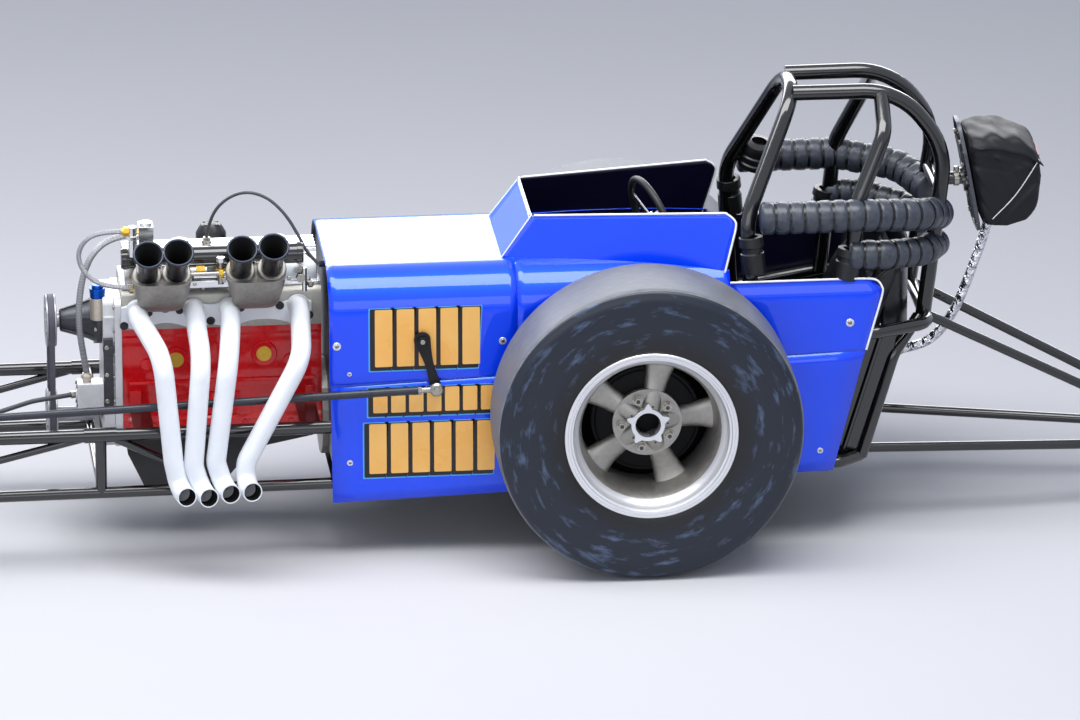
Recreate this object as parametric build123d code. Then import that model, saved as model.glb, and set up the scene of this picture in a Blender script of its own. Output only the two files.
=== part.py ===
from build123d import *
import math
import os

# A front-engined dragster: a long rail frame with the driver behind the rear axle.
# Millimetres. The model is drawn with the rear axle's line at x = 0 and the ground at z = 0,
# +X forward, +Y to the car's left, +Z up, and is moved at the end so that the origin is the
# middle of its footprint.

GAP = 0.3  # between pieces that are seated on each other but aren't one solid
SEAM_GAP = 0.5
RUNNING_GAP = 0.1  # radial, between a shaft and its bore
BEND_STEP = 46.0  # degrees: the most that a bent bar turns at one mitre
BAR_SIDES = 8  # round bars are drawn with this many sides
THIN_SIDES = 8
ROUND_SIDES = 14
BORE_SIDES = 10
RIM_SIDES = 24
TYRE_SIDES = 52
CORD_SHARE = 0.45  # of the shorter run beside a bend, taken up by its arc

# Wheels and tyres
WHEELBASE = 4000.0
REAR_TYRE_RADIUS = 372.0
REAR_TYRE_WIDTH = 225.0
REAR_TREAD_WIDTH = 190.0
REAR_SHOULDER_RADIUS = 346.0
REAR_BEAD_RADIUS = 190.0
REAR_RIM_LIP_RADIUS = 210.0
REAR_RIM_WALL = 7.0
REAR_DISH = 95.0
REAR_BARREL_RADIUS = 161.0  # where the rim narrows behind its lip
REAR_LIP_DEPTH = 34.0
REAR_HUB_PAD_RADIUS = 84.0
REAR_PAD_THICKNESS = 13.0
REAR_STAR_RADII = (54.0, 42.0)  # at the points of the star round the bore, and between them
REAR_STAR_HEIGHT = 17.0  # above the pad's face
REAR_HUB_BORE_RADIUS = 31.0
REAR_HUB_THICKNESS = 30.0
SPOKE_COUNT = 5
SPOKE_FIRST_ANGLE = -14.0
# Each section of a rear spoke: radius, width, face below the star's, depth.
REAR_SPOKE = ((34.0, 50.0, 4.0, 36.0), (105.0, 56.0, 27.0, 19.0),
              (REAR_BARREL_RADIUS + 2, 92.0, 24.0, 22.0))
DRUM_RADIUS = 132.0
DRUM_WIDTH = 56.0
AXLE_SHAFT_RADIUS = 20.0
AXLE_TUBE_RADIUS = 38.0

FRONT_TYRE_RADIUS = 295.0
FRONT_TYRE_WIDTH = 72.0
FRONT_TRACK = 1120.0
FRONT_TYRE_HEIGHT = 66.0  # from the rim to the tread
FRONT_RIM_RADIUS = FRONT_TYRE_RADIUS - FRONT_TYRE_HEIGHT
FRONT_RIM_WALL = 9.0
FRONT_RIM_WIDTH = 58.0
FRONT_HUB_RADIUS = 26.0
FRONT_HUB_WIDTH = 60.0
FRONT_DISH = 12.0
# Each section of a front spoke: radius, width, face below the hub's, depth.
FRONT_SPOKE = ((FRONT_HUB_RADIUS - 6, 30.0, 4.0, 14.0), (FRONT_RIM_RADIUS - 3, 22.0, 4.0, 14.0))
SPINDLE_RADIUS = 11.0

WHEELIE_WHEEL_RADIUS = 78.0
WHEELIE_WHEEL_WIDTH = 40.0
WHEELIE_WHEEL_Y = 110.0
WHEELIE_AXLE_X = -1433.0
WHEELIE_AXLE_Z = 139.0
WHEELIE_AXLE_RADIUS = 8.0
WHEELIE_BOSS_Y = 60.0
WHEELIE_BOSS_RADIUS = 20.0
WHEELIE_BOSS_WIDTH = 30.0
WHEELIE_TUBE_DIAMETER = 24.0
WHEELIE_UPPER_Y = 120.0
WHEELIE_LOWER_Y = 150.0

# The body's width, which the rails and the rear tyres follow
SHEET = 2.0
BODY_HALF_WIDTH = 263.5
TYRE_TO_BODY = 21.5
REAR_TYRE_INNER_Y = BODY_HALF_WIDTH + TYRE_TO_BODY

# Frame rails
UPPER_RAIL_DIAMETER = 32.0
LOWER_RAIL_DIAMETER = 28.0
RAIL_Y = BODY_HALF_WIDTH - SHEET - UPPER_RAIL_DIAMETER / 2 - SEAM_GAP
NOSE_RAIL_Y = 140.0
NOSE_X = WHEELBASE - 160.0
TAPER_X = 1700.0
KICK_X = 650.0
UPPER_RAIL_Z = 330.0
LOWER_RAIL_FRONT_Z = 180.0
LOWER_REAR_Z = 192.0
UPPER_REAR_Z = 524.0
NOSE_UPPER_Z = 318.0
NOSE_LOWER_Z = 208.0
UPPER_REAR_X = -560.0
LOWER_REAR_X = -470.0
LOOP_UPPER_X = -712.0
LOOP_LOWER_X = -556.0
BRACE_DIAMETER = 20.0
UPRIGHT_DIAMETER = 28.0
FIRST_STATION_X = 1309.0
STATION_COUNT = 5
NOSE_END = 20.0  # from the last station to the rails' front ends
UPPER_STRAIGHT = 30.0  # of the upper rail, ahead of its loop
LOOP_STRAIGHT = 22.0
# Each loop's corner in from the rail's line, and the radius of its bend.
UPPER_LOOP = (55.0, 55.0)
LOWER_LOOP = (50.0, 45.0)

# Roll cage
CAGE_DIAMETER = 38.0
CAGE_TOP_Z = 1086.0
HOOP_X = -390.0
HOOP_TOP_Y = 82.0
HOOP_FOOT_X = -281.0
BRACE_FOOT_X = -500.0
CAGE_LEAN_IN = 13.0  # from the rail's line to the foot's
BACK_FOOT_Y = 124.0
REAR_LEG_DIAMETER = 30.0
HOOP_SHOULDER = (19.0, 33.0, 812.0)  # ahead of the foot, in from the rail's line, z
HOOP_BENDS = (150.0, 62.0, 62.0, 150.0)
BACK_TUBE_TOP_X = -650.0
BACK_TUBE_KNEE = (-762.0, 20.0, 146.0)  # x, out from the top's y, below the cage's top
BACK_TUBE_BEND = 95.0
SIDE_BRACE_TOP = (-604.0, 8.0)  # x, below the cage's top
# The side brace's bends: x, in from the rail's line, below the cage's top.
SIDE_BRACE_KNEES = ((-601.0, 67.0, 76.0), (-534.0, 23.0, 226.0))
SIDE_BRACE_BENDS = (40.0, 90.0)
# The rear leg's points: x, in from the rail's line, z.
REAR_LEG = ((LOOP_UPPER_X + 18, 105.0, UPPER_REAR_Z), (-628.0, 49.0, 452.0),
            (LOOP_LOWER_X + 8, 40.0, LOWER_REAR_Z))
REAR_LEG_BEND = 60.0
LEG_CROSS_DIAMETER = 24.0
LEG_CROSS_IN = 43.0  # from the rail's line to the tube's end, inside the leg
LUG_LENGTH = 34.0
LUG_WIDTH = 18.0
# The foam rolls: the points of each, x from the hoop's foot for the last, with y and z, then the
# diameter and the radius of the bends.
SHOULDER_ROLL = ((HOOP_FOOT_X - 8, 236, 822), (-540, 238, 822), (-690, 190, 802), (-750, 94, 770))
ELBOW_ROLL = ((-505, 234, 722), (-600, 234, 718), (-704, 170, 702), (-744, 84, 692))
FOOT_SLEEVE = ((HOOP_FOOT_X + 3, 231, 690), (HOOP_FOOT_X + 7, 227, 768))
PADDING_ROLLS = ((SHOULDER_ROLL, 78, 110), (ELBOW_ROLL, 70, 80), (FOOT_SLEEVE, 60, 0))

# Body sheet
BODY_FRONT_X = 755.0
HOOD_Z = 718.0
HOOD_BEND = 106.0
COWL_X = 328.0
COWL_BACK_X = -400.0
COWL_FOOT_Y = 155.0
COWL_LEAN = 0.21
COWL_TAPER = 0.129
COWL_RAKE = 0.729
COWL_TOP_Z = 821.0
COWL_SKIRT = 160.0  # of the cowl's sheet below the hood, before it is trimmed
# The cowl's edge: x and z, from its front foot round to its rear foot.
COWL_EDGE = ((420.0, 600.0), (420.0, 815.0), (-208.0, 827.0), (-230.0, 804.0), (-196.0, 640.0))
SHELL_FOOT_Z = 100.0  # to which the shell's section runs down before it is trimmed
COCKPIT_X = -219.0  # where the sides step down beside the driver
SIDE_STEP_Z = 680.0
REAR_CORNER = ((-562.0, 668.0), (-588.0, 640.0))  # x and z of the sides' cut rear corner
SEAM_BACK = (-550.0, 485.0)  # x and z of the seam between the sides and the lower panels
SEAM_FRONT_Z = 436.0
PANEL_FOOT_BACK = (-472.0, 178.0)
PANEL_FOOT_FRONT_Z = 140.0
OPENING_IN = (15.5, 35.5)  # from the body's side to the opening's edge, behind the step and at it
OPENING_FRONT = (30.0, 5.0)  # behind the cowl's foot, in from its side
CUT_REACH = 300.0  # of what cuts a sheet, past its faces
FIREWALL_THICKNESS = 3.0
FIREWALL_X = BODY_FRONT_X - 12.0
FIREWALL_LOW_Z = 226.0
FIREWALL_WAIST_Z = 350.0
FIREWALL_NOTCH_GAP = 3.0
CABLE_FITTING_RADIUS = 8.0
FLOOR_SETBACK = 10.0
AXLE_HOLE_RADIUS = 66.0

# Engine, an upright inline four
CRANK_Z = 300.0
BLOCK_REAR_X = 760.0
BLOCK_FRONT_X = 1244.0
BLOCK_HALF_WIDTH = 95.0
BLOCK_BOTTOM_Z = 283.0
DECK_Z = 544.0
# The block's side below the deck: in from its full width, up from its bottom.
BLOCK_SIDE = ((0, 0), (0, 25), (9, 33), (9, 89), (3, 101), (3, 237), (0, 245))
EAR_SETBACK = 40.0
EAR_LENGTH = 50.0
EAR_HEIGHT = 16.0
# The oil pan's corners: back from the block's front or ahead of its rear, down from its bottom.
PAN_FRONT = ((6, 0), (10, 62), (53, 155))
PAN_REAR = ((250, 155), (170, 59), (12, 28), (12, 0))
PAN_HALF_WIDTH = 88.0
# The timing cover's edge: half width, and height from the crank's line or from the deck.
TIMING_COVER_FOOT = ((60, -68), (84, -50), (100, 0))
TIMING_COVER_HEAD = ((92, 62), (78, 76))
HEAD_HEIGHT = 96.0
HEAD_TOP_Z = DECK_Z + HEAD_HEIGHT
HEAD_CHAMFER = 10.0
HEAD_HALF_WIDTH = 100.0
ROCKER_COVER_HEIGHT = 85.0
COVER_TOP_Z = HEAD_TOP_Z + ROCKER_COVER_HEIGHT
ROCKER_FLANGE = (80.0, 8.0)  # half width, thickness
ROCKER_SIDE = ((62.0, 14.0), (46.0, 4.0))  # half width, below the top
ROCKER_SETBACK = 8.0
FIN_CENTRES = (36, 12, -12, -36)
FIN_HALF_WIDTH = 4.0
FIN_HEIGHT = 6.0
CAP_SETBACKS = (100.0, 336.0)  # of the filler caps, ahead of the block's rear
CAP_RADIUS = 24.0
CAP_HEIGHT = 26.0
PORT_RISE = 56.0  # from the deck to the middle of the ports
PORT_Z = DECK_Z + PORT_RISE
FLANGE_THICKNESS = 12.0
HEADER_FLANGE_Y = HEAD_HALF_WIDTH + FLANGE_THICKNESS
COVER_DEPTH = 46.0
INJECTOR_FOOT_HALF = 59.0  # half of a casting's length at the head
INJECTOR_HALF_LENGTH = 71.0  # and at its top
INJECTOR_RIM = 33.0  # from a ram tube's line to the casting's edge
HEADER_DIAMETER = 48.0
HEADER_WALL = 3.0
CASTING_CLEARANCE = 3.0  # above the header's pipes
CASTING_FOOT_Z = PORT_Z + HEADER_DIAMETER / 2 + CASTING_CLEARANCE
CASTING_FOOT_HEIGHT = 41.0
CASTING_ELBOW = (148.0, 3.0)  # y, above the foot
CASTING_ELBOW_DEPTH = 56.0
INLET_RADIUS = 9.0
BREATHER = (1024.0, 88.0, COVER_TOP_Z - 1)
BREATHER_RADIUS = 25.0
BREATHER_LENGTH = 442.0
BREATHER_LEG_Z = CASTING_FOOT_Z + CASTING_FOOT_HEIGHT + 7
BREATHER_LEG_WIDTH = 16.0
BREATHER_LEG_Y = (12.0, 22.0)  # out from the tube's line
LEG_OVERLAP = 12.0  # of a leg or tee with the tube
TEE_SETBACK = 28.0
TEE_RADIUS = 11.0
VALVE_SPAN = (52.0, 16.0)  # behind the pump hose's end
VALVE_HALF_WIDTH = 24.0
VALVE_HEIGHT = 55.0
VALVE_BOSS = (11.0, 22.0)  # radius, length
CABLE_STOP_RADIUS = 9.0
# The two ram tubes on each casting, by x, and the height of their mouths.
STACK_PAIRS = (((1187.0, 1115.0), 787.5), ((961.0, 885.0), 793.5))
STACK_MOUTH_Y = 240.0
STACK_TILT = 42.0  # out from upright
STACK_LENGTH = 116.0
STACK_NECK_LENGTH = 52.0
STACK_NECK_DIAMETER = 53.0
STACK_MOUTH_DIAMETER = 71.0
STACK_WALL = 2.5
STACK_FLOOR = 8.0
STACK_SIDES = 12
PULLEY_DIAMETER = 128.0
PULLEY_WIDTH = 26.0
PULLEY_X = 1412.0
PUMP_Z = 542.0
PUMP_LENGTH = 100.0
PUMP_FACE = (60.0, 24.0)  # radius, depth
PUMP_CONE = (46.0, 24.0)  # its radius at the face and at the pulley
PUMP_CONE_SINK = 4.0
PULLEY_NOSE_RADIUS = 18.0
FUEL_PUMP_HALF_WIDTH = 23.0
FUEL_PUMP_SPAN = (344.0, 408.0)  # z
FUEL_PUMP_AHEAD = 24.0  # of its neck
FUEL_PUMP_NECK_RADIUS = 11.0
MAGNETO_X = BLOCK_REAR_X + 250.0
MAGNETO_RADIUS = 30.0
MAGNETO_LENGTH = 190.0
MAGNETO_CAP = (38.0, 44.0, 112.0)  # radius, height, above the body's middle
BELL_RADIUS = 120.0
BELL_LENGTH = 140.0
# The gearbox's section: half width, height from the crank's line.
GEARBOX_SIDE = ((62, -85), (80, -60), (80, 72), (58, 100))
GEARBOX_REAR_X = 300.0
GEARBOX_SINK = 10.0  # into the bell housing
COUPLING = (34.0, 5.0)  # radius, into the gearbox
AXLE_NOSE_X = 124.0
BELT_WIDTH = 12.0
BELT_THICKNESS = 9.0
BELT_STEP = 20.0

# Steering
HUB_TO_KINGPIN = 90.0
KINGPIN_Y = FRONT_TRACK / 2 - HUB_TO_KINGPIN
KINGPIN_RADIUS = 10.0
AXLE_BOSS_RADIUS = 21.0
AXLE_BOSS_HEIGHT = 64.0
ARM_THICKNESS = 12.0
STEER_ARM = 84.0
DRAG_ARM = 115.0
PITMAN_THICKNESS = 8.0
PITMAN_CLEARANCE = 3.5  # outside the body's side
PITMAN_Y = BODY_HALF_WIDTH + PITMAN_CLEARANCE + PITMAN_THICKNESS / 2
PITMAN_PIVOT = (531.0, PITMAN_Y, 554.0)
PITMAN_END = (498.0, PITMAN_Y, 432.0)
PITMAN_EYES = (22.0, 16.0)  # radius at the shaft and at the link
PITMAN_HALF_WIDTHS = (17.0, 13.0)
PITMAN_SHAFT = (12.0, 60.0)  # radius, length
PITMAN_HOLE_RADIUS = 15.0  # in the body's side
LINK_DIAMETER = 20.0
ROD_END_THICKNESS = 22.0
TIE_ROD_DIAMETER = 18.0
ROD_END_RADIUS = 17.0
STEERING_WHEEL_CENTRE = (-60.0, 0.0, 742.0)
STEERING_WHEEL_RADIUS = 112.0
COLUMN_DIAMETER = 28.0
TIE_PIN_RADIUS = 6.0
PIN_GAP = 0.5

# Steering box: its half length, inner and outer y, and reach below and above the shaft
BOX_HALF_LENGTH = 46.0
BOX_SPAN_Y = (150.0, PITMAN_Y - 35)
BOX_SPAN_Z = (40.0, 52.0)
BOX_FOOT_HALF_LENGTH = 30.0
BOX_FOOT_THICKNESS = 10.0
COLUMN_FOOT = (-40.0, 170.0, 20.0)  # from the shaft in x, y, from the shaft in z
COLUMN_END_GAP = 90.0  # from the column's tube to the wheel
STEERING_RIM_RADIUS = 11.0
STEERING_RIM_SIDES = 18
STEERING_HUB = (26.0, 30.0)  # radius, length
STEERING_SPOKE = (24.0, 6.0)  # width, thickness
STEERING_SHAFT = (9.0, 76.0)  # radius, length

# Seat. Each outline is x and z, from the front lip round.
SEAT_HALF_WIDTH = 189.0
SEAT_SHEET = 4.0
SEAT_UNDER = ((-250, 240), (-480, 235), (-640, 560), (-662, 655))
SEAT_TOP = ((-634, 655), (-610, 560), (-465, 262), (-250, 266))
SEAT_WING = ((-250, 266), (-300, 318), (-470, 372), (-560, 540), (-620, 640))
SEAT_FOOT_X = (-450, -290)
SEAT_FOOT_TOP_Z = (240, 245)
SEAT_FOOT_INSET = 40.0
SEAT_FOOT_THICKNESS = 8.0
HARNESS_LINE = ((-633, 654), (-609, 560), (-520, 375))
HARNESS_THICKNESS = 4.4
HARNESS_LIFT = GAP + 0.4
HARNESS_SPAN_Y = (48.0, 96.0)

# Parachute
LAUNCHER_TOP = (-806.0, 982.0)
LAUNCHER_BOTTOM = (-859.0, 705.0)
TETHER_DIAMETER = 24.0
TETHER_LUG_X = -640.0
TETHER_LUG_Z = 388.0
LAUNCHER_CROSS = (-747.0, 112.0, 828.0)  # x, half length, z
LAUNCHER_CROSS_DIAMETER = 28.0
LAUNCHER_STUB_DIAMETER = 32.0
LAUNCHER_PLATE = (8.0, 70.0)  # thickness, half width
# The pack's rear outline, x and z from the top down, and where it meets the plate.
PACK_SPAN_Z = (943.0, 724.0)
PACK_REAR = ((-930, 950), (-978, 932), (-996, 860), (-990, 742), (-966, 724))
PACK_HALF_WIDTH = 95.0

# Front suspension and fuel tank
FRONT_AXLE_DIAMETER = 48.0
BRACKET_Y = 330.0
BRACKET_THICKNESS = 10.0
BRACKET_SPAN_X = (36.0, 26.0)  # behind and ahead of the axle
BRACKET_HALF_HEIGHT = 62.0
ROD_SPREAD = 50.0  # of the radius rods above and below the axle's line
ROD_PLATE = (20.0, 14.0)  # behind and ahead of the pivot
ROD_PLATE_SPAN_Z = (130.0, 60.0)  # below and above the axle's line
ROD_PLATE_SPAN_Y = (22.0, 10.0)  # in from the pivot
ROD_PIVOT_DROP = 30.0
TORSION_SETBACK = 90.0
TORSION_ARM_OUT = 100.0  # from the rail's line
TORSION_ARM_DIAMETER = 18.0
RADIUS_ROD_LENGTH = 670.0
TORSION_DIAMETER = 38.0
TANK_RADIUS = 120.0
TANK_LENGTH = 380.0
TANK_X = NOSE_X - 280.0
FUEL_LINE_DIAMETER = 12.0

# Routes of the free cords: x, y, z of each point
HOSE_ROUTE = ((1225.3, 140, 668), (1268, 137, 669), (1312, 128, 682), (1342, 118, 712),
              (1350, 110, 750), (1330, 106, 784), (1290, 105, 800), (1244.3, 108, 800))
PUMP_HOSE_ROUTE = ((1212.3, 0, 755), (1262, 14, 753), (1308, 40, 728), (1334, 62, 680),
                   (1346, 76, 620), (1348, 82, 556), (1340, 79, 492), (1330, 73, 430.3))
CABLE_ROUTE = ((1030, 0, 742), (1022, 2, 790), (990, 6, 836), (940, 16, 862), (886, 32, 852),
               (842, 50, 812), (812, 68, 762), (792, 82, 720), (765.3, 90, 694))
TETHER_ROUTE = ((-885, 0, 723.7), (-872, 0, 672), (-850, 0, 610), (-828, 0, 545), (-800, 0, 478),
                (-758, 0, 420), (-704, 0, 393), (TETHER_LUG_X - GAP, 0, TETHER_LUG_Z))
HOSE_DIAMETER = 12.0
PUMP_HOSE_DIAMETER = 16.0
CABLE_DIAMETER = 8.0

# The origin is the middle of the footprint, from the wheelie wheels' back to the front tyres'.
MIDDLE_X = (WHEELBASE + FRONT_TYRE_RADIUS + WHEELIE_AXLE_X - WHEELIE_WHEEL_RADIUS) / 2


def flip(point):
    """The same point on the car's other side."""
    x, y, z = point
    return (x, -y, z)


def other_side(shape):
    return mirror(shape, about=Plane.XZ)


def both_sides(shape):
    return [shape, other_side(shape)]


def bend_corners(before, corner, after, radius):
    """The mitred corners that stand for a round bend: each turns the bar by under BEND_STEP."""
    inward, outward = (corner - before).normalized(), (after - corner).normalized()
    turn = math.radians(inward.get_angle(outward))
    count = math.ceil(math.degrees(turn) / BEND_STEP)
    if radius == 0 or count < 2:
        return [corner]
    entry = corner - inward * radius * math.tan(turn / 2)
    normal = inward.cross(outward).normalized()
    centre = entry + normal.cross(inward) * radius
    reach = radius / math.cos(turn / count / 2)
    angles = [(k + 0.5) * math.degrees(turn) / count for k in range(count)]
    return [centre + (entry - centre).normalized().rotate(Axis((0, 0, 0), normal), a) * reach
            for a in angles]


def bar(points, diameter, bend=0.0, sides=BAR_SIDES):
    """A round bar through the points, whose bends are short mitred runs."""
    points = [Vector(*point) for point in points]
    bends = bend if isinstance(bend, (list, tuple)) else [bend] * (len(points) - 2)
    route = [points[0]]
    for before, corner, after, radius in zip(points, points[1:], points[2:], bends):
        route += bend_corners(before, corner, after, radius)
    route.append(points[-1])
    path = Polyline(*route)
    section = Plane(origin=path @ 0, z_dir=path % 0) * RegularPolygon(diameter / 2, sides)
    return sweep(section, path=path, transition=Transition.RIGHT)


def cope(piece, others):
    """The piece cut back to what it meets, without the loose ends beyond."""
    for other in others:
        piece = piece - other
    return max(piece.solids(), key=lambda solid: solid.volume)


def limp_radii(points):
    """The largest arc that each bend of a cord leaves room for."""
    points = [Vector(*point) for point in points]
    radii = []
    for before, corner, after in zip(points, points[1:], points[2:]):
        half_turn = math.radians((corner - before).get_angle(after - corner)) / 2
        shorter = min((corner - before).length, (after - corner).length)
        radii.append(CORD_SHARE * shorter / math.tan(half_turn))
    return radii


def cord(points, diameter):
    """A hose or cable through the points, with as large a bend at each as its runs allow."""
    radii = limp_radii(points)
    print("cord of", diameter, "mm, radii", [round(radius) for radius in radii])
    return bar(points, diameter, radii, THIN_SIDES)


def outline(points, corner=0.0):
    """A closed face through the points, with its corners rounded."""
    if corner:
        return make_face(FilletPolyline(*points, radius=corner, close=True))
    return make_face(Polyline(*points, close=True))


def side_plate(points, y_low, y_high, corner=0.0):
    """A plate whose outline is given in x and z, between two values of y."""
    face = Plane.XZ.offset(-y_high) * outline(points, corner)
    return extrude(face, y_high - y_low)


def cross_plate(points, x_low, x_high, corner=0.0):
    """A plate whose outline is given in y and z, between two values of x."""
    face = Plane.YZ.offset(x_low) * outline(points, corner)
    return extrude(face, x_high - x_low)


def block(low, high):
    """A box between two corners."""
    size = [b - a for a, b in zip(low, high)]
    middle = [(a + b) / 2 for a, b in zip(low, high)]
    return Pos(*middle) * Box(*size)


def facets(low, high, twisted=False):
    """A flat-faced body between two rings of as many points. Twisted sides are triangles."""
    rings = [[Vector(*point) for point in ring] for ring in (low, high)]
    faces = [Face(Wire.make_polygon(ring)) for ring in rings]
    count = len(low)
    for k in range(count):
        after = (k + 1) % count
        near, far = (rings[0][k], rings[0][after]), (rings[1][after], rings[1][k])
        sides = [(*near, far[0]), (near[0], *far)] if twisted else [(*near, *far)]
        faces += [Face(Wire.make_polygon(list(side))) for side in sides]
    return Part(Solid(Shell(faces)).wrapped)


TURNS = {"X": Rot(0, 90, 0), "Y": Rot(90, 0, 0), "Z": Rot(0, 0, 0)}


def rod(centre, radius, length, axis, sides=ROUND_SIDES):
    """A many-sided rod about its centre, along X, Y or Z."""
    shape = extrude(RegularPolygon(radius, sides), length / 2, both=True)
    return Pos(*centre) * TURNS[axis] * shape


def bore(centre, radius, length, axis, sides=BORE_SIDES):
    """What a many-sided hole takes out, whose flats lie at the radius."""
    shape = extrude(RegularPolygon(radius, sides, major_radius=False), length / 2, both=True)
    return Pos(*centre) * TURNS[axis] * shape


def pin(centre, radius, length, axis):
    """A true cylinder about its centre, for what turns or is turned on."""
    return Pos(*centre) * TURNS[axis] * Cylinder(radius, length)


def wheel_spin(profile, x, z, sides, flats=True):
    """A many-sided ring about a wheel's axle, from a closed profile of y and radius. Its flats
    lie at the radius, with one at the bottom, or else its corners do."""
    half_turn = math.pi / sides
    rings = []
    for y, radius in profile:
        reach = radius / math.cos(half_turn) if flats else radius
        rings.append([Vector(x + reach * math.sin(turn), y, z + reach * math.cos(turn))
                      for turn in (half_turn * (2 * k + 1) for k in range(sides))])
    faces = []
    for ring, after in zip(rings, rings[1:] + rings[:1]):
        for k in range(sides):
            other = (k + 1) % sides
            faces.append(Face(Wire.make_polygon([ring[k], ring[other], after[other], after[k]])))
    return Part(Solid(Shell(faces)).wrapped)


def rail_z(x, upper):
    """The height of a rail's centre line at x."""
    if upper:
        knots = ((UPPER_REAR_X + UPPER_STRAIGHT, UPPER_REAR_Z), (KICK_X, UPPER_RAIL_Z),
                 (TAPER_X, UPPER_RAIL_Z), (NOSE_X, NOSE_UPPER_Z))
    else:
        knots = ((LOWER_REAR_X, LOWER_REAR_Z), (TAPER_X, LOWER_RAIL_FRONT_Z), (NOSE_X, NOSE_LOWER_Z))
    for (xa, za), (xb, zb) in zip(knots, knots[1:]):
        if x <= xa:
            return za
        if x <= xb:
            return za + (zb - za) * (x - xa) / (xb - xa)
    return knots[-1][1]


def rail_y(x):
    """The distance of a rail's centre line from the middle at x."""
    share = max(0.0, (x - TAPER_X) / (NOSE_X - TAPER_X))
    return RAIL_Y + (NOSE_RAIL_Y - RAIL_Y) * share


def make_upper_rail(diameter=UPPER_RAIL_DIAMETER):
    points = [(UPPER_REAR_X, RAIL_Y, UPPER_REAR_Z),
              (UPPER_REAR_X + UPPER_STRAIGHT, RAIL_Y, UPPER_REAR_Z),
              (KICK_X, RAIL_Y, UPPER_RAIL_Z), (TAPER_X, RAIL_Y, UPPER_RAIL_Z),
              (NOSE_X, NOSE_RAIL_Y, NOSE_UPPER_Z)]
    return bar(points, diameter)


def make_lower_rail(diameter=LOWER_RAIL_DIAMETER):
    points = [(LOWER_REAR_X, RAIL_Y, LOWER_REAR_Z), (TAPER_X, RAIL_Y, LOWER_RAIL_FRONT_Z),
              (NOSE_X, NOSE_RAIL_Y, NOSE_LOWER_Z)]
    return bar(points, diameter)


def make_rear_loops(grow=0.0):
    """The two bends that close the rails behind the seat."""
    loops = []
    for start_x, back_x, z, diameter, (inward, bend) in (
            (UPPER_REAR_X, LOOP_UPPER_X, UPPER_REAR_Z, UPPER_RAIL_DIAMETER, UPPER_LOOP),
            (LOWER_REAR_X, LOOP_LOWER_X, LOWER_REAR_Z, LOWER_RAIL_DIAMETER, LOWER_LOOP)):
        side = [(start_x - GAP, RAIL_Y, z), (start_x - LOOP_STRAIGHT, RAIL_Y, z),
                (back_x, RAIL_Y - inward, z)]
        route = side + [flip(point) for point in reversed(side)]
        loops.append(bar(route, diameter + grow, [0, bend, bend, 0]))
    return loops


def grown_rails():
    """The four rails with the gap about them, to cut other pieces back to."""
    rails = (make_upper_rail(UPPER_RAIL_DIAMETER + 2 * GAP),
             make_lower_rail(LOWER_RAIL_DIAMETER + 2 * GAP))
    return [piece for rail in rails for piece in both_sides(rail)]


def make_frame_braces():
    """Uprights, diagonals and cross tubes between the rails, cut to the rails' round sides."""
    rails = grown_rails()
    last = NOSE_X - NOSE_END
    step = (last - FIRST_STATION_X) / (STATION_COUNT - 1)
    stations = [FIRST_STATION_X + step * k for k in range(STATION_COUNT)]
    pieces = []
    for x in stations:
        y, top, bottom = rail_y(x), rail_z(x, True), rail_z(x, False)
        high, low = UPPER_RAIL_DIAMETER / 2 + RUNNING_GAP, LOWER_RAIL_DIAMETER / 2 + RUNNING_GAP
        pieces += both_sides(bar([(x, y, bottom + low), (x, y, top - high)], UPRIGHT_DIAMETER))
        for z, clear in ((top, high), (bottom, low)):
            end = y - clear - GAP
            pieces.append(bar([(x, -end, z), (x, end, z)], BRACE_DIAMETER, sides=THIN_SIDES))
    upright_radius = UPRIGHT_DIAMETER / 2 + GAP
    for x, ahead in zip([FIRST_STATION_X - step / 2] + stations, stations):
        if x < FIRST_STATION_X:
            high, low = (ahead - upright_radius, True), (x, False)
        else:
            high, low = (x + upright_radius, True), (ahead - upright_radius, False)
        ends = [(at, rail_y(at), rail_z(at, upper)) for at, upper in (high, low)]
        pieces += both_sides(cope(bar(ends, BRACE_DIAMETER, sides=THIN_SIDES), rails))
    return pieces


def make_roll_hoop(grow=0.0):
    """The hoop in front of the driver's helmet, from rail to rail."""
    foot = (HOOP_FOOT_X, RAIL_Y - CAGE_LEAN_IN, rail_z(HOOP_FOOT_X, True))
    ahead, inward, shoulder_z = HOOP_SHOULDER
    shoulder = (HOOP_FOOT_X + ahead, RAIL_Y - inward, shoulder_z)
    top = (HOOP_X, HOOP_TOP_Y, CAGE_TOP_Z)
    points = [foot, shoulder, top, flip(top), flip(shoulder), flip(foot)]
    hoop = bar(points, CAGE_DIAMETER + grow, HOOP_BENDS)
    return hoop if grow else cope(hoop, grown_rails())


def make_cage_back_tube(grow=0.0):
    """From the hoop's top over the helmet and down behind the seat."""
    knee_x, outward, drop = BACK_TUBE_KNEE
    points = [(HOOP_X, HOOP_TOP_Y - 4, CAGE_TOP_Z), (BACK_TUBE_TOP_X, HOOP_TOP_Y, CAGE_TOP_Z),
              (knee_x, HOOP_TOP_Y + outward, CAGE_TOP_Z - drop),
              (LOOP_UPPER_X + 4, BACK_FOOT_Y, UPPER_REAR_Z)]
    tube = bar(points, CAGE_DIAMETER + grow, BACK_TUBE_BEND)
    return tube if grow else cope(tube, [make_roll_hoop(2 * GAP), *make_rear_loops(2 * GAP)])


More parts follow.
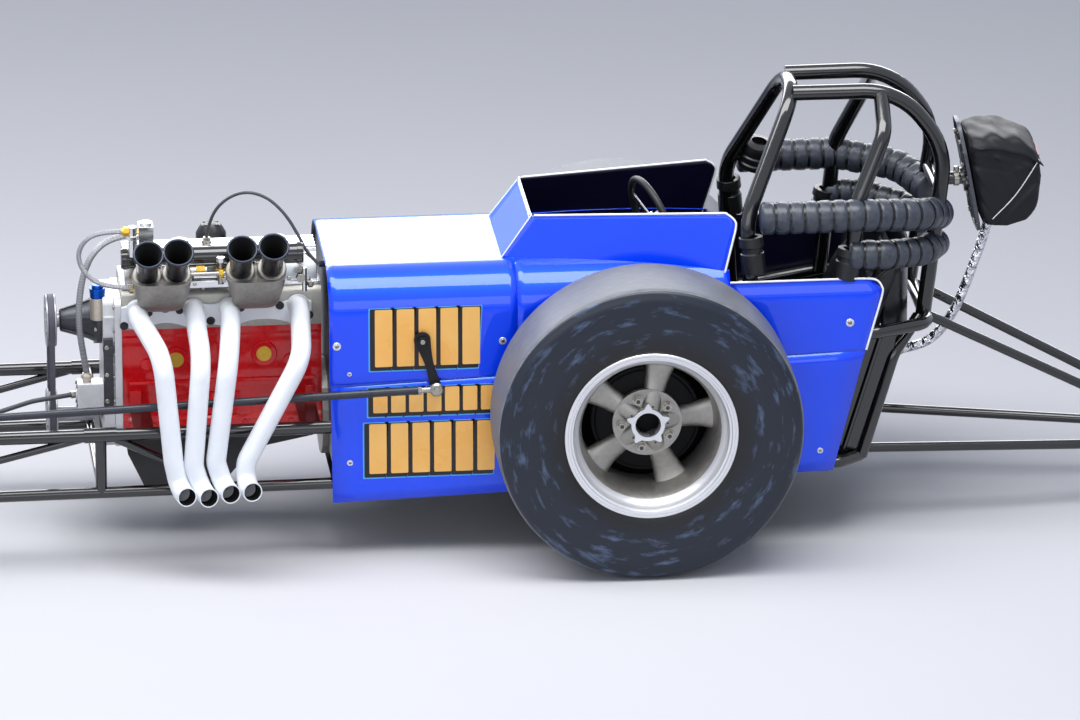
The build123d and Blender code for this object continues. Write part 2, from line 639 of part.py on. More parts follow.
def make_cage_side_brace(grow=0.0):
    """From the back tube's top out round the shoulder and down to the upper rail."""
    top_x, top_drop = SIDE_BRACE_TOP
    knees = [(x, RAIL_Y - inward, CAGE_TOP_Z - drop) for x, inward, drop in SIDE_BRACE_KNEES]
    points = [(top_x, HOOP_TOP_Y, CAGE_TOP_Z - top_drop), *knees,
              (BRACE_FOOT_X, RAIL_Y - CAGE_LEAN_IN, rail_z(BRACE_FOOT_X, True))]
    brace = bar(points, CAGE_DIAMETER + grow, SIDE_BRACE_BENDS)
    return brace if grow else cope(brace, [make_cage_back_tube(2 * GAP), *grown_rails()])


def make_rear_leg(grow=0.0):
    """From the upper loop down to the lower loop, beside the seat's back."""
    points = [(x, RAIL_Y - inward, z) for x, inward, z in REAR_LEG]
    leg = bar(points, REAR_LEG_DIAMETER + grow, REAR_LEG_BEND)
    return leg if grow else cope(leg, make_rear_loops(2 * GAP))


def make_rear_legs():
    """The two legs, and the cross tube whose lug takes the parachute's tether."""
    x, y, z = TETHER_LUG_X + LUG_LENGTH, RAIL_Y - LEG_CROSS_IN, TETHER_LUG_Z
    cross = bar([(x, -y, z), (x, y, z)], LEG_CROSS_DIAMETER)
    cross = cope(cross, both_sides(make_rear_leg(2 * GAP)))
    half, high = LUG_WIDTH / 2, LEG_CROSS_DIAMETER / 2
    cross += block((TETHER_LUG_X, -half, z - high), (x, half, z + high))
    return both_sides(make_rear_leg()) + [cross]


def make_padding():
    """Foam rolls about the cage at the driver's shoulders, and a sleeve at the foot of each leg."""
    tubes = [make_roll_hoop(2 * GAP)]
    for make in (make_cage_back_tube, make_cage_side_brace):
        tubes.append(make(2 * GAP))
    return [piece for points, diameter, bend in PADDING_ROLLS
            for piece in both_sides(cope(bar(points, diameter, bend, THIN_SIDES), tubes))]


def make_body_shell():
    """Hood and upper sides, one sheet bent over at the top corners, open above the cockpit."""
    half, z = BODY_HALF_WIDTH, HOOD_Z

    def section(inset):
        h, t, r = half - inset, z - inset, HOOD_BEND - inset
        pts = [(-h, SHELL_FOOT_Z), (-h, t), (h, t), (h, SHELL_FOOT_Z)]
        wire = FilletPolyline(*pts, radius=r)
        closing = Line((h, SHELL_FOOT_Z), (-h, SHELL_FOOT_Z))
        return make_face([*wire.edges(), closing])
    back = -CUT_REACH * 2
    outer = extrude(Plane.YZ.offset(back) * section(0), BODY_FRONT_X - back)
    inner = extrude(Plane.YZ.offset(back - 1) * section(SHEET), BODY_FRONT_X - back + 2)
    shell = outer - inner
    seam_x, seam_z = SEAM_BACK
    side = [(BODY_FRONT_X, z + 20), (COCKPIT_X, z + 20), (COCKPIT_X, SIDE_STEP_Z), *REAR_CORNER,
            (seam_x, seam_z + SEAM_GAP), (BODY_FRONT_X, SEAM_FRONT_Z + SEAM_GAP)]
    shell = shell & side_plate(side, -CUT_REACH, CUT_REACH)
    wide, waist = (half - inward for inward in OPENING_IN)
    front_x, front_y = COWL_X - OPENING_FRONT[0], COWL_FOOT_Y - OPENING_FRONT[1]
    opening = [(back, wide), (COCKPIT_X, wide), (COCKPIT_X, waist), (front_x, front_y)]
    opening += [(x, -y) for x, y in reversed(opening)]
    shell -= extrude(Plane.XY.offset(z - HOOD_BEND - 52) * outline(opening), CUT_REACH)
    hole = (PITMAN_PIVOT[0], half, PITMAN_PIVOT[2])
    return shell - rod(hole, PITMAN_HOLE_RADIUS, 20, "Y")


def make_lower_panel():
    seam_x, seam_z = SEAM_BACK
    side = [(BODY_FRONT_X - 2, SEAM_FRONT_Z), (seam_x + 2, seam_z), PANEL_FOOT_BACK,
            (BODY_FRONT_X - 6, PANEL_FOOT_FRONT_Z)]
    panel = side_plate(side, BODY_HALF_WIDTH - SHEET, BODY_HALF_WIDTH)
    return panel - rod((0, BODY_HALF_WIDTH, REAR_TYRE_RADIUS), AXLE_HOLE_RADIUS, 20, "Y")


def cowl_block(inset):
    """The raked and tapered block whose walls are the cowl's, from below the hood to its top."""
    def ring(z):
        rise = z - HOOD_Z
        front = COWL_X - COWL_RAKE * rise - inset * math.hypot(1, COWL_RAKE)
        back = COWL_BACK_X
        widths = [COWL_FOOT_Y + COWL_TAPER * (COWL_X - x) - COWL_LEAN * rise
                  - inset * math.hypot(1, COWL_LEAN) for x in (front, back)]
        return [(front, widths[0], z), (back, widths[1], z), (back, -widths[1], z),
                (front, -widths[0], z)]
    return facets(ring(HOOD_Z - COWL_SKIRT), ring(COWL_TOP_Z + 60))


def make_cowl():
    """The raised, open-topped surround in front of and beside the driver."""
    wall = cowl_block(0) - cowl_block(SHEET)
    half, z, r = BODY_HALF_WIDTH + GAP, HOOD_Z + GAP, HOOD_BEND
    low = SHELL_FOOT_Z
    under = make_face([*FilletPolyline((-half, low), (-half, z), (half, z), (half, low),
                                       radius=r).edges(), Line((half, low), (-half, low))])
    wall -= extrude(Plane.YZ.offset(-2 * CUT_REACH) * under, 4 * CUT_REACH)
    return wall & side_plate(COWL_EDGE, -CUT_REACH, CUT_REACH)


def make_firewall():
    half, low, high = BODY_HALF_WIDTH - SHEET - GAP, FIREWALL_LOW_Z, HOOD_Z - SHEET - GAP
    waist, notch = FIREWALL_WAIST_Z, RAIL_Y - UPPER_RAIL_DIAMETER / 2 - FIREWALL_NOTCH_GAP
    points = [(-notch, low), (-notch, waist), (-half, waist), (-half, high), (half, high),
              (half, waist), (notch, waist), (notch, low)]
    bend = HOOD_BEND - SHEET
    face = make_face(FilletPolyline(*points, radius=[0, 0, 0, bend, bend, 0, 0, 0], close=True))
    sheet = extrude(Plane.YZ.offset(FIREWALL_X) * face, FIREWALL_THICKNESS)
    sheet -= bore((FIREWALL_X, 0, CRANK_Z), BELL_RADIUS + GAP, 60, "X")
    end_x, y, z = CABLE_ROUTE[-1]
    front = FIREWALL_X + FIREWALL_THICKNESS
    fitting = (front + end_x - GAP) / 2
    return sheet + rod((fitting, y, z), CABLE_FITTING_RADIUS, end_x - GAP - front, "X", THIN_SIDES)


def make_floor_pan():
    low = LOWER_RAIL_DIAMETER / 2 + GAP + SHEET
    front, back = BODY_FRONT_X - FLOOR_SETBACK, LOWER_REAR_X + FLOOR_SETBACK
    zf, zb = rail_z(front, False) - low, rail_z(back, False) - low
    side = [(front, zf), (front, zf + SHEET), (back, zb + SHEET), (back, zb)]
    half = BODY_HALF_WIDTH - SHEET - GAP
    return side_plate(side, -half, half)


def mirrored(side):
    """The other half of a section whose points are y and z, in the order that closes it."""
    return [(-y, z) for y, z in reversed(side)]


def floor_top(x):
    return rail_z(x, False) - LOWER_RAIL_DIAMETER / 2 - GAP


def make_engine_block():
    """Skirted block with two mounting ears each side that reach the upper rails."""
    side = [(BLOCK_HALF_WIDTH - inset, BLOCK_BOTTOM_Z + rise) for inset, rise in BLOCK_SIDE]
    side.append((BLOCK_HALF_WIDTH, DECK_Z))
    casting = cross_plate(side + mirrored(side), BLOCK_REAR_X, BLOCK_FRONT_X)
    half, high = EAR_LENGTH / 2, EAR_HEIGHT / 2
    for x in (BLOCK_REAR_X + EAR_SETBACK, BLOCK_FRONT_X - EAR_SETBACK):
        z = rail_z(x, True)
        casting += block((x - half, -RAIL_Y, z - high), (x + half, RAIL_Y, z + high))
    return cope(casting, grown_rails())


def make_oil_pan():
    side = [(BLOCK_FRONT_X - back, BLOCK_BOTTOM_Z - drop) for back, drop in PAN_FRONT]
    side += [(BLOCK_REAR_X + ahead, BLOCK_BOTTOM_Z - drop) for ahead, drop in PAN_REAR]
    return side_plate(side, -PAN_HALF_WIDTH, PAN_HALF_WIDTH)


def make_timing_cover():
    side = [(half, CRANK_Z + rise) for half, rise in TIMING_COVER_FOOT]
    side += [(half, DECK_Z + rise) for half, rise in TIMING_COVER_HEAD]
    return cross_plate(side + mirrored(side), BLOCK_FRONT_X, BLOCK_FRONT_X + COVER_DEPTH)


def make_head():
    h = HEAD_HALF_WIDTH
    side = [(h, DECK_Z), (h, HEAD_TOP_Z - HEAD_CHAMFER), (h - HEAD_CHAMFER, HEAD_TOP_Z)]
    return cross_plate(side + mirrored(side), BLOCK_REAR_X, BLOCK_FRONT_X)


def make_rocker_cover():
    """Cast cover with long cooling fins and two filler caps."""
    half, thickness = ROCKER_FLANGE
    foot_z, w = HEAD_TOP_Z + thickness, FIN_HALF_WIDTH
    side = [(half, HEAD_TOP_Z), (half, foot_z), (half - 10, foot_z)]
    side += [(y, COVER_TOP_Z - drop) for y, drop in ROCKER_SIDE]
    top, root = COVER_TOP_Z, COVER_TOP_Z - FIN_HEIGHT
    fins = [(y + dy, z) for y in FIN_CENTRES
            for dy, z in ((w, root), (w, top), (-w, top), (-w, root))]
    cover = cross_plate(side + fins + mirrored(side), BLOCK_REAR_X + ROCKER_SETBACK,
                        BLOCK_FRONT_X - ROCKER_SETBACK)
    for ahead in CAP_SETBACKS:
        cap = (BLOCK_REAR_X + ahead, 0, COVER_TOP_Z)
        cover += rod(cap, CAP_RADIUS, CAP_HEIGHT, "Z", BORE_SIDES)
    return cover


# Each header pipe's port, x and height from PORT_Z, then the points that it passes: x, y, z.
HEADER_PIPES = (
    ((1208, 0), (1163, 336, 553), (1141, 358, 297), (1127, 360, 224), (1113, 416, 226)),
    ((1072, -2), (1069, 336, 549), (1093, 358, 285), (1074, 360, 220), (1060, 416, 222)),
    ((985, -2), (1003, 336, 547), (1039, 358, 293), (1021, 360, 228), (1007, 416, 230)),
    ((818, 0), (827, 326, 539), (966, 358, 290), (968, 360, 230), (955, 416, 233)),
)
HEADER_BENDS = (60.0, 75.0, 90.0, 48.0)  # of each pipe's centre line, from the port down
HEADER_MOUTH_DEPTH = 30.0
HEADER_RUN_Y = 175.0  # to which each pipe runs straight out from its port
FLANGE_LOW_Z = PORT_Z - 52.0
FLANGE_HIGH_Z = PORT_Z + 13.0
FLANGE_LOBE = 20.0  # half of a lobe's length along the head
FLANGE_END = 38.0  # from the last port's middle to the flange's end
# The flange's edges between the ports and at its front and rear ends: up from its low edge, down
# from its high one.
FLANGE_WAIST = (14.0, 13.0)
FLANGE_FRONT = (4.0, 13.0)
FLANGE_REAR = (8.0, 9.0)


def make_header():
    """Four pipes from a waved flange, out over the rail and down to a mouth turned outwards."""
    ports = [x for (x, _), *_ in HEADER_PIPES]
    line = [(ports[0] + FLANGE_END, *FLANGE_FRONT)]
    for x, after in zip(ports, ports[1:] + [None]):
        line += [(x + FLANGE_LOBE, 0, 0), (x - FLANGE_LOBE, 0, 0)]
        if after is not None:
            line.append(((x + after) / 2, *FLANGE_WAIST))
    line.append((ports[-1] - FLANGE_END, *FLANGE_REAR))
    edge = [(x, FLANGE_LOW_Z + up) for x, up, _ in line]
    edge += [(x, FLANGE_HIGH_Z - down) for x, _, down in reversed(line)]
    header = side_plate(edge, HEAD_HALF_WIDTH + GAP, HEADER_FLANGE_Y)
    for (port_x, rise), *points in HEADER_PIPES:
        start = (port_x, HEADER_FLANGE_Y - FLANGE_THICKNESS / 2, PORT_Z + rise)
        out = (port_x, HEADER_RUN_Y, PORT_Z + rise)
        header += bar([start, out, *points], HEADER_DIAMETER, list(HEADER_BENDS))
        before, tip = Vector(*points[-2]), Vector(*points[-1])
        way = (before - tip).normalized()
        hole = bar([tuple(tip - way), tuple(tip + way * HEADER_MOUTH_DEPTH)],
                   HEADER_DIAMETER - 2 * HEADER_WALL)
        header -= hole
    return header


def stack_plane(x, mouth_z):
    """The plane that a ram tube stands on, across its own line."""
    mouth = Vector(x, STACK_MOUTH_Y, mouth_z)
    tilt = math.radians(STACK_TILT)
    way = Vector(0, math.sin(tilt), math.cos(tilt))
    return Plane(origin=mouth - way * STACK_LENGTH, z_dir=way, x_dir=(1, 0, 0))


def make_injector_bodies():
    """A casting to each pair of ports: an elbow, narrow at the head and flared out under its two
    ram tubes, with a fuel inlet ahead of the front one."""
    pieces, y = [], HEAD_HALF_WIDTH + GAP
    for (x_front, x_back), mouth_z in STACK_PAIRS:
        x = (x_front + x_back) / 2
        seat = stack_plane(x, mouth_z)
        low, high = ((seat * Pos(0, side * INJECTOR_RIM, 0)).position for side in (-1, 1))
        if low.Y < high.Y:
            low, high = high, low
        lean = Vector(0, low.Y - high.Y, high.Z - low.Z).normalized()
        foot_z, depth = CASTING_FOOT_Z, CASTING_ELBOW_DEPTH
        elbow_y, elbow_z = CASTING_ELBOW[0], foot_z + CASTING_ELBOW[1]
        sections = (
            (INJECTOR_FOOT_HALF, (y, foot_z), (y, foot_z + CASTING_FOOT_HEIGHT)),
            (INJECTOR_FOOT_HALF, (elbow_y, elbow_z),
             (elbow_y - depth * lean.Y, elbow_z + depth * lean.Z)),
            (INJECTOR_HALF_LENGTH, (low.Y, low.Z), (high.Y, high.Z)),
        )
        rings = [[(x - half, *foot), (x + half, *foot), (x + half, *head), (x - half, *head)]
                 for half, foot, head in sections]
        pieces.append(facets(rings[0], rings[1]) + facets(rings[1], rings[2]))
    end_x, inlet_y, z = HOSE_ROUTE[0]
    start = sum(STACK_PAIRS[0][0]) / 2 + INJECTOR_FOOT_HALF
    inlet = ((start + end_x - GAP) / 2, inlet_y, z)
    pieces[0] += rod(inlet, INLET_RADIUS, end_x - GAP - start, "X", THIN_SIDES)
    return pieces


def make_fuel_fittings():
    """Breather tube beside the cover, barrel valve on it, and the throttle cable's stop."""
    x, y, z = BREATHER
    log = rod((x, y, z), BREATHER_RADIUS, BREATHER_LENGTH, "X")
    for (x_front, x_back), _ in STACK_PAIRS:
        leg_x, half = (x_front + x_back) / 2, BREATHER_LEG_WIDTH / 2
        near, far = (y + out for out in BREATHER_LEG_Y)
        log += block((leg_x - half, near, BREATHER_LEG_Z), (leg_x + half, far, z - LEG_OVERLAP))
    end_x, tee_y, end_z = HOSE_ROUTE[-1]
    tee_x, tee_top = end_x - TEE_SETBACK, end_z + LEG_OVERLAP
    log += rod((tee_x, tee_y, (z + tee_top) / 2), TEE_RADIUS, tee_top - z, "Z", THIN_SIDES)
    arm = ((tee_x + end_x - GAP) / 2, tee_y, end_z)
    log += rod(arm, INLET_RADIUS, end_x - GAP - tee_x, "X", THIN_SIDES)
    start_x, start_y, start_z = PUMP_HOSE_ROUTE[0]
    back, front = (start_x - behind for behind in VALVE_SPAN)
    half, foot_z = VALVE_HALF_WIDTH, COVER_TOP_Z + GAP
    valve = block((back, start_y - half, foot_z), (front, start_y + half, COVER_TOP_Z + VALVE_HEIGHT))
    radius, length = VALVE_BOSS
    boss = (start_x - GAP - length / 2, start_y, start_z)
    valve += rod(boss, radius, length, "X", THIN_SIDES)
    stop_x, stop_y, stop_z = CABLE_ROUTE[0]
    middle = (stop_x, stop_y, (foot_z + stop_z - GAP) / 2)
    stop = rod(middle, CABLE_STOP_RADIUS, stop_z - GAP - foot_z, "Z", THIN_SIDES)
    return [log, valve, stop]


def stack_ring(radius, reach):
    """The corners of a ram tube's section at a height on its line."""
    turns = [math.radians(k * 360 / STACK_SIDES) for k in range(STACK_SIDES)]
    return [(radius * math.cos(turn), radius * math.sin(turn), reach) for turn in turns]


def make_stacks():
    """Four ram tubes that lean out from the castings, each a neck under a flared bell."""
    neck, bell = STACK_NECK_DIAMETER / 2, STACK_MOUTH_DIAMETER / 2
    outer = facets(stack_ring(neck, GAP), stack_ring(neck, STACK_NECK_LENGTH))
    outer += facets(stack_ring(neck, STACK_NECK_LENGTH), stack_ring(bell, STACK_LENGTH))
    neck, bell = neck - STACK_WALL, bell - STACK_WALL
    hollow = facets(stack_ring(neck, STACK_FLOOR), stack_ring(neck, STACK_NECK_LENGTH))
    hollow += facets(stack_ring(neck, STACK_NECK_LENGTH), stack_ring(bell, STACK_LENGTH + GAP))
    tube = outer - hollow
    return [stack_plane(x, mouth_z) * tube for pair, mouth_z in STACK_PAIRS for x in pair]


def make_water_pump():
    x = BLOCK_FRONT_X + COVER_DEPTH + GAP
    radius, depth = PUMP_FACE
    face = rod((x + depth / 2, 0, PUMP_Z), radius, depth, "X")
    rings = []
    for at, radius in zip((x + depth - PUMP_CONE_SINK, x + PUMP_LENGTH), PUMP_CONE):
        rings.append([(at, radius * math.cos(turn), PUMP_Z + radius * math.sin(turn))
                      for turn in (2 * math.pi * k / BORE_SIDES for k in range(BORE_SIDES))])
    return face + facets(*rings)


def make_pulleys():
    """Crank and pump pulleys, each two cheeks beside the belt's seat, on a nose."""
    pieces = []
    cheek = (PULLEY_WIDTH - BELT_WIDTH) / 2 - GAP
    cover_front = BLOCK_FRONT_X + COVER_DEPTH
    for z, back in ((PUMP_Z, cover_front + PUMP_LENGTH + 2 * GAP), (CRANK_Z, cover_front + GAP)):
        r = PULLEY_DIAMETER / 2
        pulley = rod((PULLEY_X, 0, z), r - BELT_THICKNESS, PULLEY_WIDTH - 1, "X")
        for side in (1, -1):
            pulley += rod((PULLEY_X + side * (PULLEY_WIDTH - cheek) / 2, 0, z), r, cheek, "X")
        nose = ((PULLEY_X + back) / 2, 0, z)
        pulley += rod(nose, PULLEY_NOSE_RADIUS, PULLEY_X - back, "X", THIN_SIDES)
        pieces.append(pulley)
    return pieces


def make_belt():
    """One loop round both pulleys, drawn with a corner each BELT_STEP."""
    inner = (PULLEY_DIAMETER / 2 - BELT_THICKNESS + GAP) / math.cos(math.radians(BELT_STEP / 2))
    corners = [(z, first + BELT_STEP * (k + 0.5)) for z, first in ((PUMP_Z, 0), (CRANK_Z, 180))
               for k in range(int(180 / BELT_STEP))]
    rings = [[(radius * math.cos(math.radians(angle)), z + radius * math.sin(math.radians(angle)))
              for z, angle in corners] for radius in (inner + BELT_THICKNESS, inner)]
    outer, inside = (make_face(Polyline(*ring, close=True)) for ring in rings)
    return extrude(Plane.YZ.offset(PULLEY_X - BELT_WIDTH / 2) * (outer - inside), BELT_WIDTH)


def make_fuel_pump():
    x, y, z = PUMP_HOSE_ROUTE[-1]
    back = BLOCK_FRONT_X + COVER_DEPTH + GAP
    half, (low, high) = FUEL_PUMP_HALF_WIDTH, FUEL_PUMP_SPAN
    pump = block((back, y - half, low), (x + FUEL_PUMP_AHEAD, y + half, high))
    neck = (x, y, (high + z - GAP) / 2)
    return pump + rod(neck, FUEL_PUMP_NECK_RADIUS, z - GAP - high, "Z", THIN_SIDES)


def make_magneto():
    """Upright magneto on the head's far side, with its cap."""
    y = -HEAD_HALF_WIDTH - GAP - MAGNETO_RADIUS * math.cos(math.pi / BORE_SIDES)
    body = rod((MAGNETO_X, y, PORT_Z), MAGNETO_RADIUS, MAGNETO_LENGTH, "Z", BORE_SIDES)
    radius, height, rise = MAGNETO_CAP
    return body + rod((MAGNETO_X, y, PORT_Z + rise), radius, height, "Z", BORE_SIDES)


def make_gearbox():
    """Bell housing, short gearbox and coupling to the axle's nose, on the crank's line."""
    bell = BLOCK_REAR_X - GAP
    drive = rod((bell - BELL_LENGTH / 2, 0, CRANK_Z), BELL_RADIUS, BELL_LENGTH, "X")
    side = [(half, CRANK_Z + rise) for half, rise in GEARBOX_SIDE]
    drive += cross_plate(side + mirrored(side), GEARBOX_REAR_X, bell - BELL_LENGTH + GEARBOX_SINK)
    radius, sink = COUPLING
    back, front = AXLE_NOSE_X + GAP, GEARBOX_REAR_X + sink
    return drive + rod(((back + front) / 2, 0, CRANK_Z), radius, front - back, "X")


def make_rear_axle():
    """Centre section, tubes and end flanges, with a bore for each shaft."""
    end = REAR_TYRE_INNER_Y - 10
    z = REAR_TYRE_RADIUS
    axle = rod((0, 0, z), AXLE_TUBE_RADIUS, 2 * end, "Y")
    side = [(-126, z - 40), (-126, z + 40), (-60, z + 112), (60, z + 112), (AXLE_NOSE_X, z + 40),
            (AXLE_NOSE_X, z - 112), (-60, z - 112)]
    axle += side_plate(side, -82, 82)
    for hand in (1, -1):
        axle += rod((0, hand * (end - 5), z), 58, 10, "Y")
        axle -= bore((0, hand * (end - 40), z), AXLE_SHAFT_RADIUS + RUNNING_GAP, 90, "Y")
    return axle


def make_axle_plate():
    """The plate between the two rails that holds the axle's tube."""
    half = 66.0
    up = UPPER_RAIL_DIAMETER / 2 + GAP
    low = LOWER_RAIL_DIAMETER / 2 + GAP
    side = [(-half, rail_z(-half, False) + low), (half, rail_z(half, False) + low),
            (half, rail_z(half, True) - up), (-half, rail_z(-half, True) - up)]
    plate = side_plate(side, RAIL_Y - 4, RAIL_Y + 4)
    return plate - rod((0, RAIL_Y, REAR_TYRE_RADIUS), AXLE_TUBE_RADIUS + GAP, 40, "Y")


def make_rear_tyre():
    """Slick: flat tread, sloping shoulders and upright sides."""
    middle = REAR_TYRE_INNER_Y + REAR_TYRE_WIDTH / 2
    bead, half_tread = REAR_BEAD_RADIUS + GAP, REAR_TREAD_WIDTH / 2
    half = [(REAR_TYRE_WIDTH / 2, bead), (REAR_TYRE_WIDTH / 2, REAR_SHOULDER_RADIUS),
            (half_tread, REAR_TYRE_RADIUS)]
    profile = [(middle + y, r) for y, r in half] + [(middle - y, r) for y, r in reversed(half)]
    return wheel_spin(profile, 0, REAR_TYRE_RADIUS, TYRE_SIDES)


def make_spokes(sections, top_y, centre_z):
    """Cast spokes about a wheel's axle, each a run of rectangles from the hub out to the rim."""
    rings = []
    for reach, width, sink, depth in sections:
        x, y_out, y_in = width / 2, top_y - sink, top_y - sink - depth
        rings.append([(-x, y_in, reach), (x, y_in, reach), (x * 0.7, y_out, reach),
                      (-x * 0.7, y_out, reach)])
    spoke = facets(rings[0], rings[1], twisted=True)
    for inner, outer in zip(rings[1:], rings[2:]):
        spoke += facets(inner, outer, twisted=True)
    return [Pos(0, 0, centre_z) * Rot(0, SPOKE_FIRST_ANGLE + turn * 360 / SPOKE_COUNT, 0) * spoke
            for turn in range(SPOKE_COUNT)]


def make_rear_wheel():
    """Cast wheel: lip, barrel and deep-set pad, with a star and five flared spokes on the pad."""
    outer, inner = REAR_TYRE_INNER_Y + REAR_TYRE_WIDTH - 4, REAR_TYRE_INNER_Y + 4
    seat, wall, barrel = REAR_BEAD_RADIUS, REAR_RIM_WALL, REAR_BARREL_RADIUS
    lip = outer - REAR_LIP_DEPTH
    profile = [(outer, seat), (inner, seat), (inner, barrel), (lip - 26, barrel), (lip, seat - wall),
               (outer, seat - wall)]
    z = REAR_TYRE_RADIUS
    wheel = wheel_spin(profile, 0, z, RIM_SIDES, flats=False)
    face = outer - REAR_DISH
    wheel += rod((0, face - REAR_PAD_THICKNESS / 2, z), REAR_HUB_PAD_RADIUS, REAR_PAD_THICKNESS, "Y")
    point, waist = REAR_STAR_RADII
    star = []
    for k in range(2 * SPOKE_COUNT):
        turn = math.radians(SPOKE_FIRST_ANGLE + k * 180 / SPOKE_COUNT)
        radius = waist if k % 2 else point
        star.append((radius * math.sin(turn), z + radius * math.cos(turn)))
    top = face + REAR_STAR_HEIGHT
    wheel += side_plate(star, face - REAR_PAD_THICKNESS, top)
    wheel += make_spokes(REAR_SPOKE, top, z)
    back = face - REAR_HUB_THICKNESS
    wheel += rod((0, (face + back) / 2, z), point, REAR_HUB_THICKNESS, "Y")
    return wheel - bore((0, face, z), REAR_HUB_BORE_RADIUS, 4 * REAR_HUB_THICKNESS, "Y")


def make_rear_hub():
    """Brake drum on the axle's shaft, inside the wheel."""
    outer = REAR_TYRE_INNER_Y + REAR_TYRE_WIDTH - 4
    face = outer - REAR_DISH - REAR_HUB_THICKNESS - GAP
    start = REAR_TYRE_INNER_Y - 10 - 80
    hub = pin((0, (start + face) / 2, REAR_TYRE_RADIUS), AXLE_SHAFT_RADIUS, face - start, "Y")
    return hub + rod((0, face - DRUM_WIDTH / 2, REAR_TYRE_RADIUS), DRUM_RADIUS, DRUM_WIDTH, "Y")


def make_front_tyre():
    middle, half = FRONT_TRACK / 2, FRONT_TYRE_WIDTH / 2
    bead = FRONT_RIM_RADIUS + GAP
    profile = [(middle - half, bead), (middle - half, FRONT_TYRE_RADIUS),
               (middle + half, FRONT_TYRE_RADIUS), (middle + half, bead)]
    return wheel_spin(profile, WHEELBASE, FRONT_TYRE_RADIUS, TYRE_SIDES)


def make_front_wheel():
    """Narrow wheel: a rim, five thin spokes and a hub that runs on the spindle."""
    middle, outer = FRONT_TRACK / 2, (FRONT_TRACK + FRONT_RIM_WIDTH) / 2
    seat, half = FRONT_RIM_RADIUS, FRONT_RIM_WIDTH / 2
    profile = [(middle + half, seat), (middle - half, seat), (middle - half, seat - FRONT_RIM_WALL),
               (middle + half, seat - FRONT_RIM_WALL)]
    z = FRONT_TYRE_RADIUS
    wheel = wheel_spin(profile, 0, z, RIM_SIDES, flats=False)
    face = outer - FRONT_DISH
    wheel += rod((0, face - FRONT_HUB_WIDTH / 2, z), FRONT_HUB_RADIUS, FRONT_HUB_WIDTH, "Y")
    wheel += make_spokes(FRONT_SPOKE, face, z)
    wheel -= pin((0, face, z), SPINDLE_RADIUS + RUNNING_GAP, 4 * FRONT_HUB_WIDTH, "Y")
    return Pos(WHEELBASE, 0, 0) * wheel


def ear_height():
    """From the axle's line to the yoke's inner faces."""
    return AXLE_BOSS_HEIGHT / 2 + GAP


def tie_arm_top():
    return FRONT_TYRE_RADIUS - ear_height()


def drag_arm_top():
    return FRONT_TYRE_RADIUS + ear_height() + ARM_THICKNESS


def make_knuckle(hand):
    """Spindle, yoke and kingpin, with an arm back to the tie rod; the left has the drag arm too."""
    z, ear, arm = FRONT_TYRE_RADIUS, ear_height(), ARM_THICKNESS
    outer = FRONT_TRACK / 2 + FRONT_RIM_WIDTH / 2 - FRONT_DISH
    yoke_y = KINGPIN_Y + AXLE_BOSS_RADIUS + 6
    knuckle = pin((WHEELBASE, KINGPIN_Y, z), KINGPIN_RADIUS, 2 * (ear + arm), "Z")
    profile = [(KINGPIN_Y - 20, z + ear), (yoke_y, z + ear), (yoke_y, z - ear), (KINGPIN_Y - 20, z - ear),
               (KINGPIN_Y - 20, z - ear - arm), (yoke_y + arm, z - ear - arm),
               (yoke_y + arm, z + ear + arm), (KINGPIN_Y - 20, z + ear + arm)]
    knuckle += cross_plate(profile, WHEELBASE - 20, WHEELBASE + 20)
    knuckle += pin((WHEELBASE, (yoke_y + 6 + outer) / 2, z), SPINDLE_RADIUS, outer - yoke_y - 6, "Y")
    reach, low = WHEELBASE - STEER_ARM, tie_arm_top() - arm
    knuckle += block((reach - 14, KINGPIN_Y - 12, low), (WHEELBASE - 10, KINGPIN_Y + 12, low + arm))
    stem = arm + ROD_END_THICKNESS + 5
    knuckle += pin((reach, KINGPIN_Y, low + stem / 2), TIE_PIN_RADIUS, stem, "Z")
    if hand == "left":
        low, y = drag_arm_top() - arm, KINGPIN_Y - DRAG_ARM
        knuckle += block((WHEELBASE - 14, y - 14, low), (WHEELBASE + 14, KINGPIN_Y, low + arm))
        knuckle += pin((WHEELBASE, y, low + stem / 2), TIE_PIN_RADIUS, stem, "Z")
    return knuckle if hand == "left" else other_side(knuckle)


def rod_end(centre, axis):
    """The solid eye of a rod, before its hole."""
    return rod(centre, ROD_END_RADIUS, ROD_END_THICKNESS, axis, BORE_SIDES)


def make_tie_rod():
    z = tie_arm_top() + GAP + ROD_END_THICKNESS / 2
    x, y = WHEELBASE - STEER_ARM, KINGPIN_Y
    link = bar([(x, -y + 14, z), (x, y - 14, z)], TIE_ROD_DIAMETER)
    for side in (1, -1):
        link += rod_end((x, side * y, z), "Z")
        link -= bore((x, side * y, z), TIE_PIN_RADIUS + PIN_GAP, 40, "Z")
    return link


def make_drag_link():
    """From the pitman arm forward to the left knuckle's arm."""
    front_z = drag_arm_top() + GAP + ROD_END_THICKNESS / 2
    front = (WHEELBASE, KINGPIN_Y - DRAG_ARM, front_z)
    back = (PITMAN_END[0], PITMAN_END[1] + (PITMAN_THICKNESS + LINK_DIAMETER) / 2 + GAP, PITMAN_END[2])
    way = (Vector(*front) - Vector(*back)).normalized()
    link = bar([Vector(*back) + way * 10, Vector(*front) - way * 12], LINK_DIAMETER)
    link += rod_end(front, "Z") + rod(back, PITMAN_EYES[1], LINK_DIAMETER, "Y", BORE_SIDES)
    return link - bore(front, TIE_PIN_RADIUS + PIN_GAP, 40, "Z")


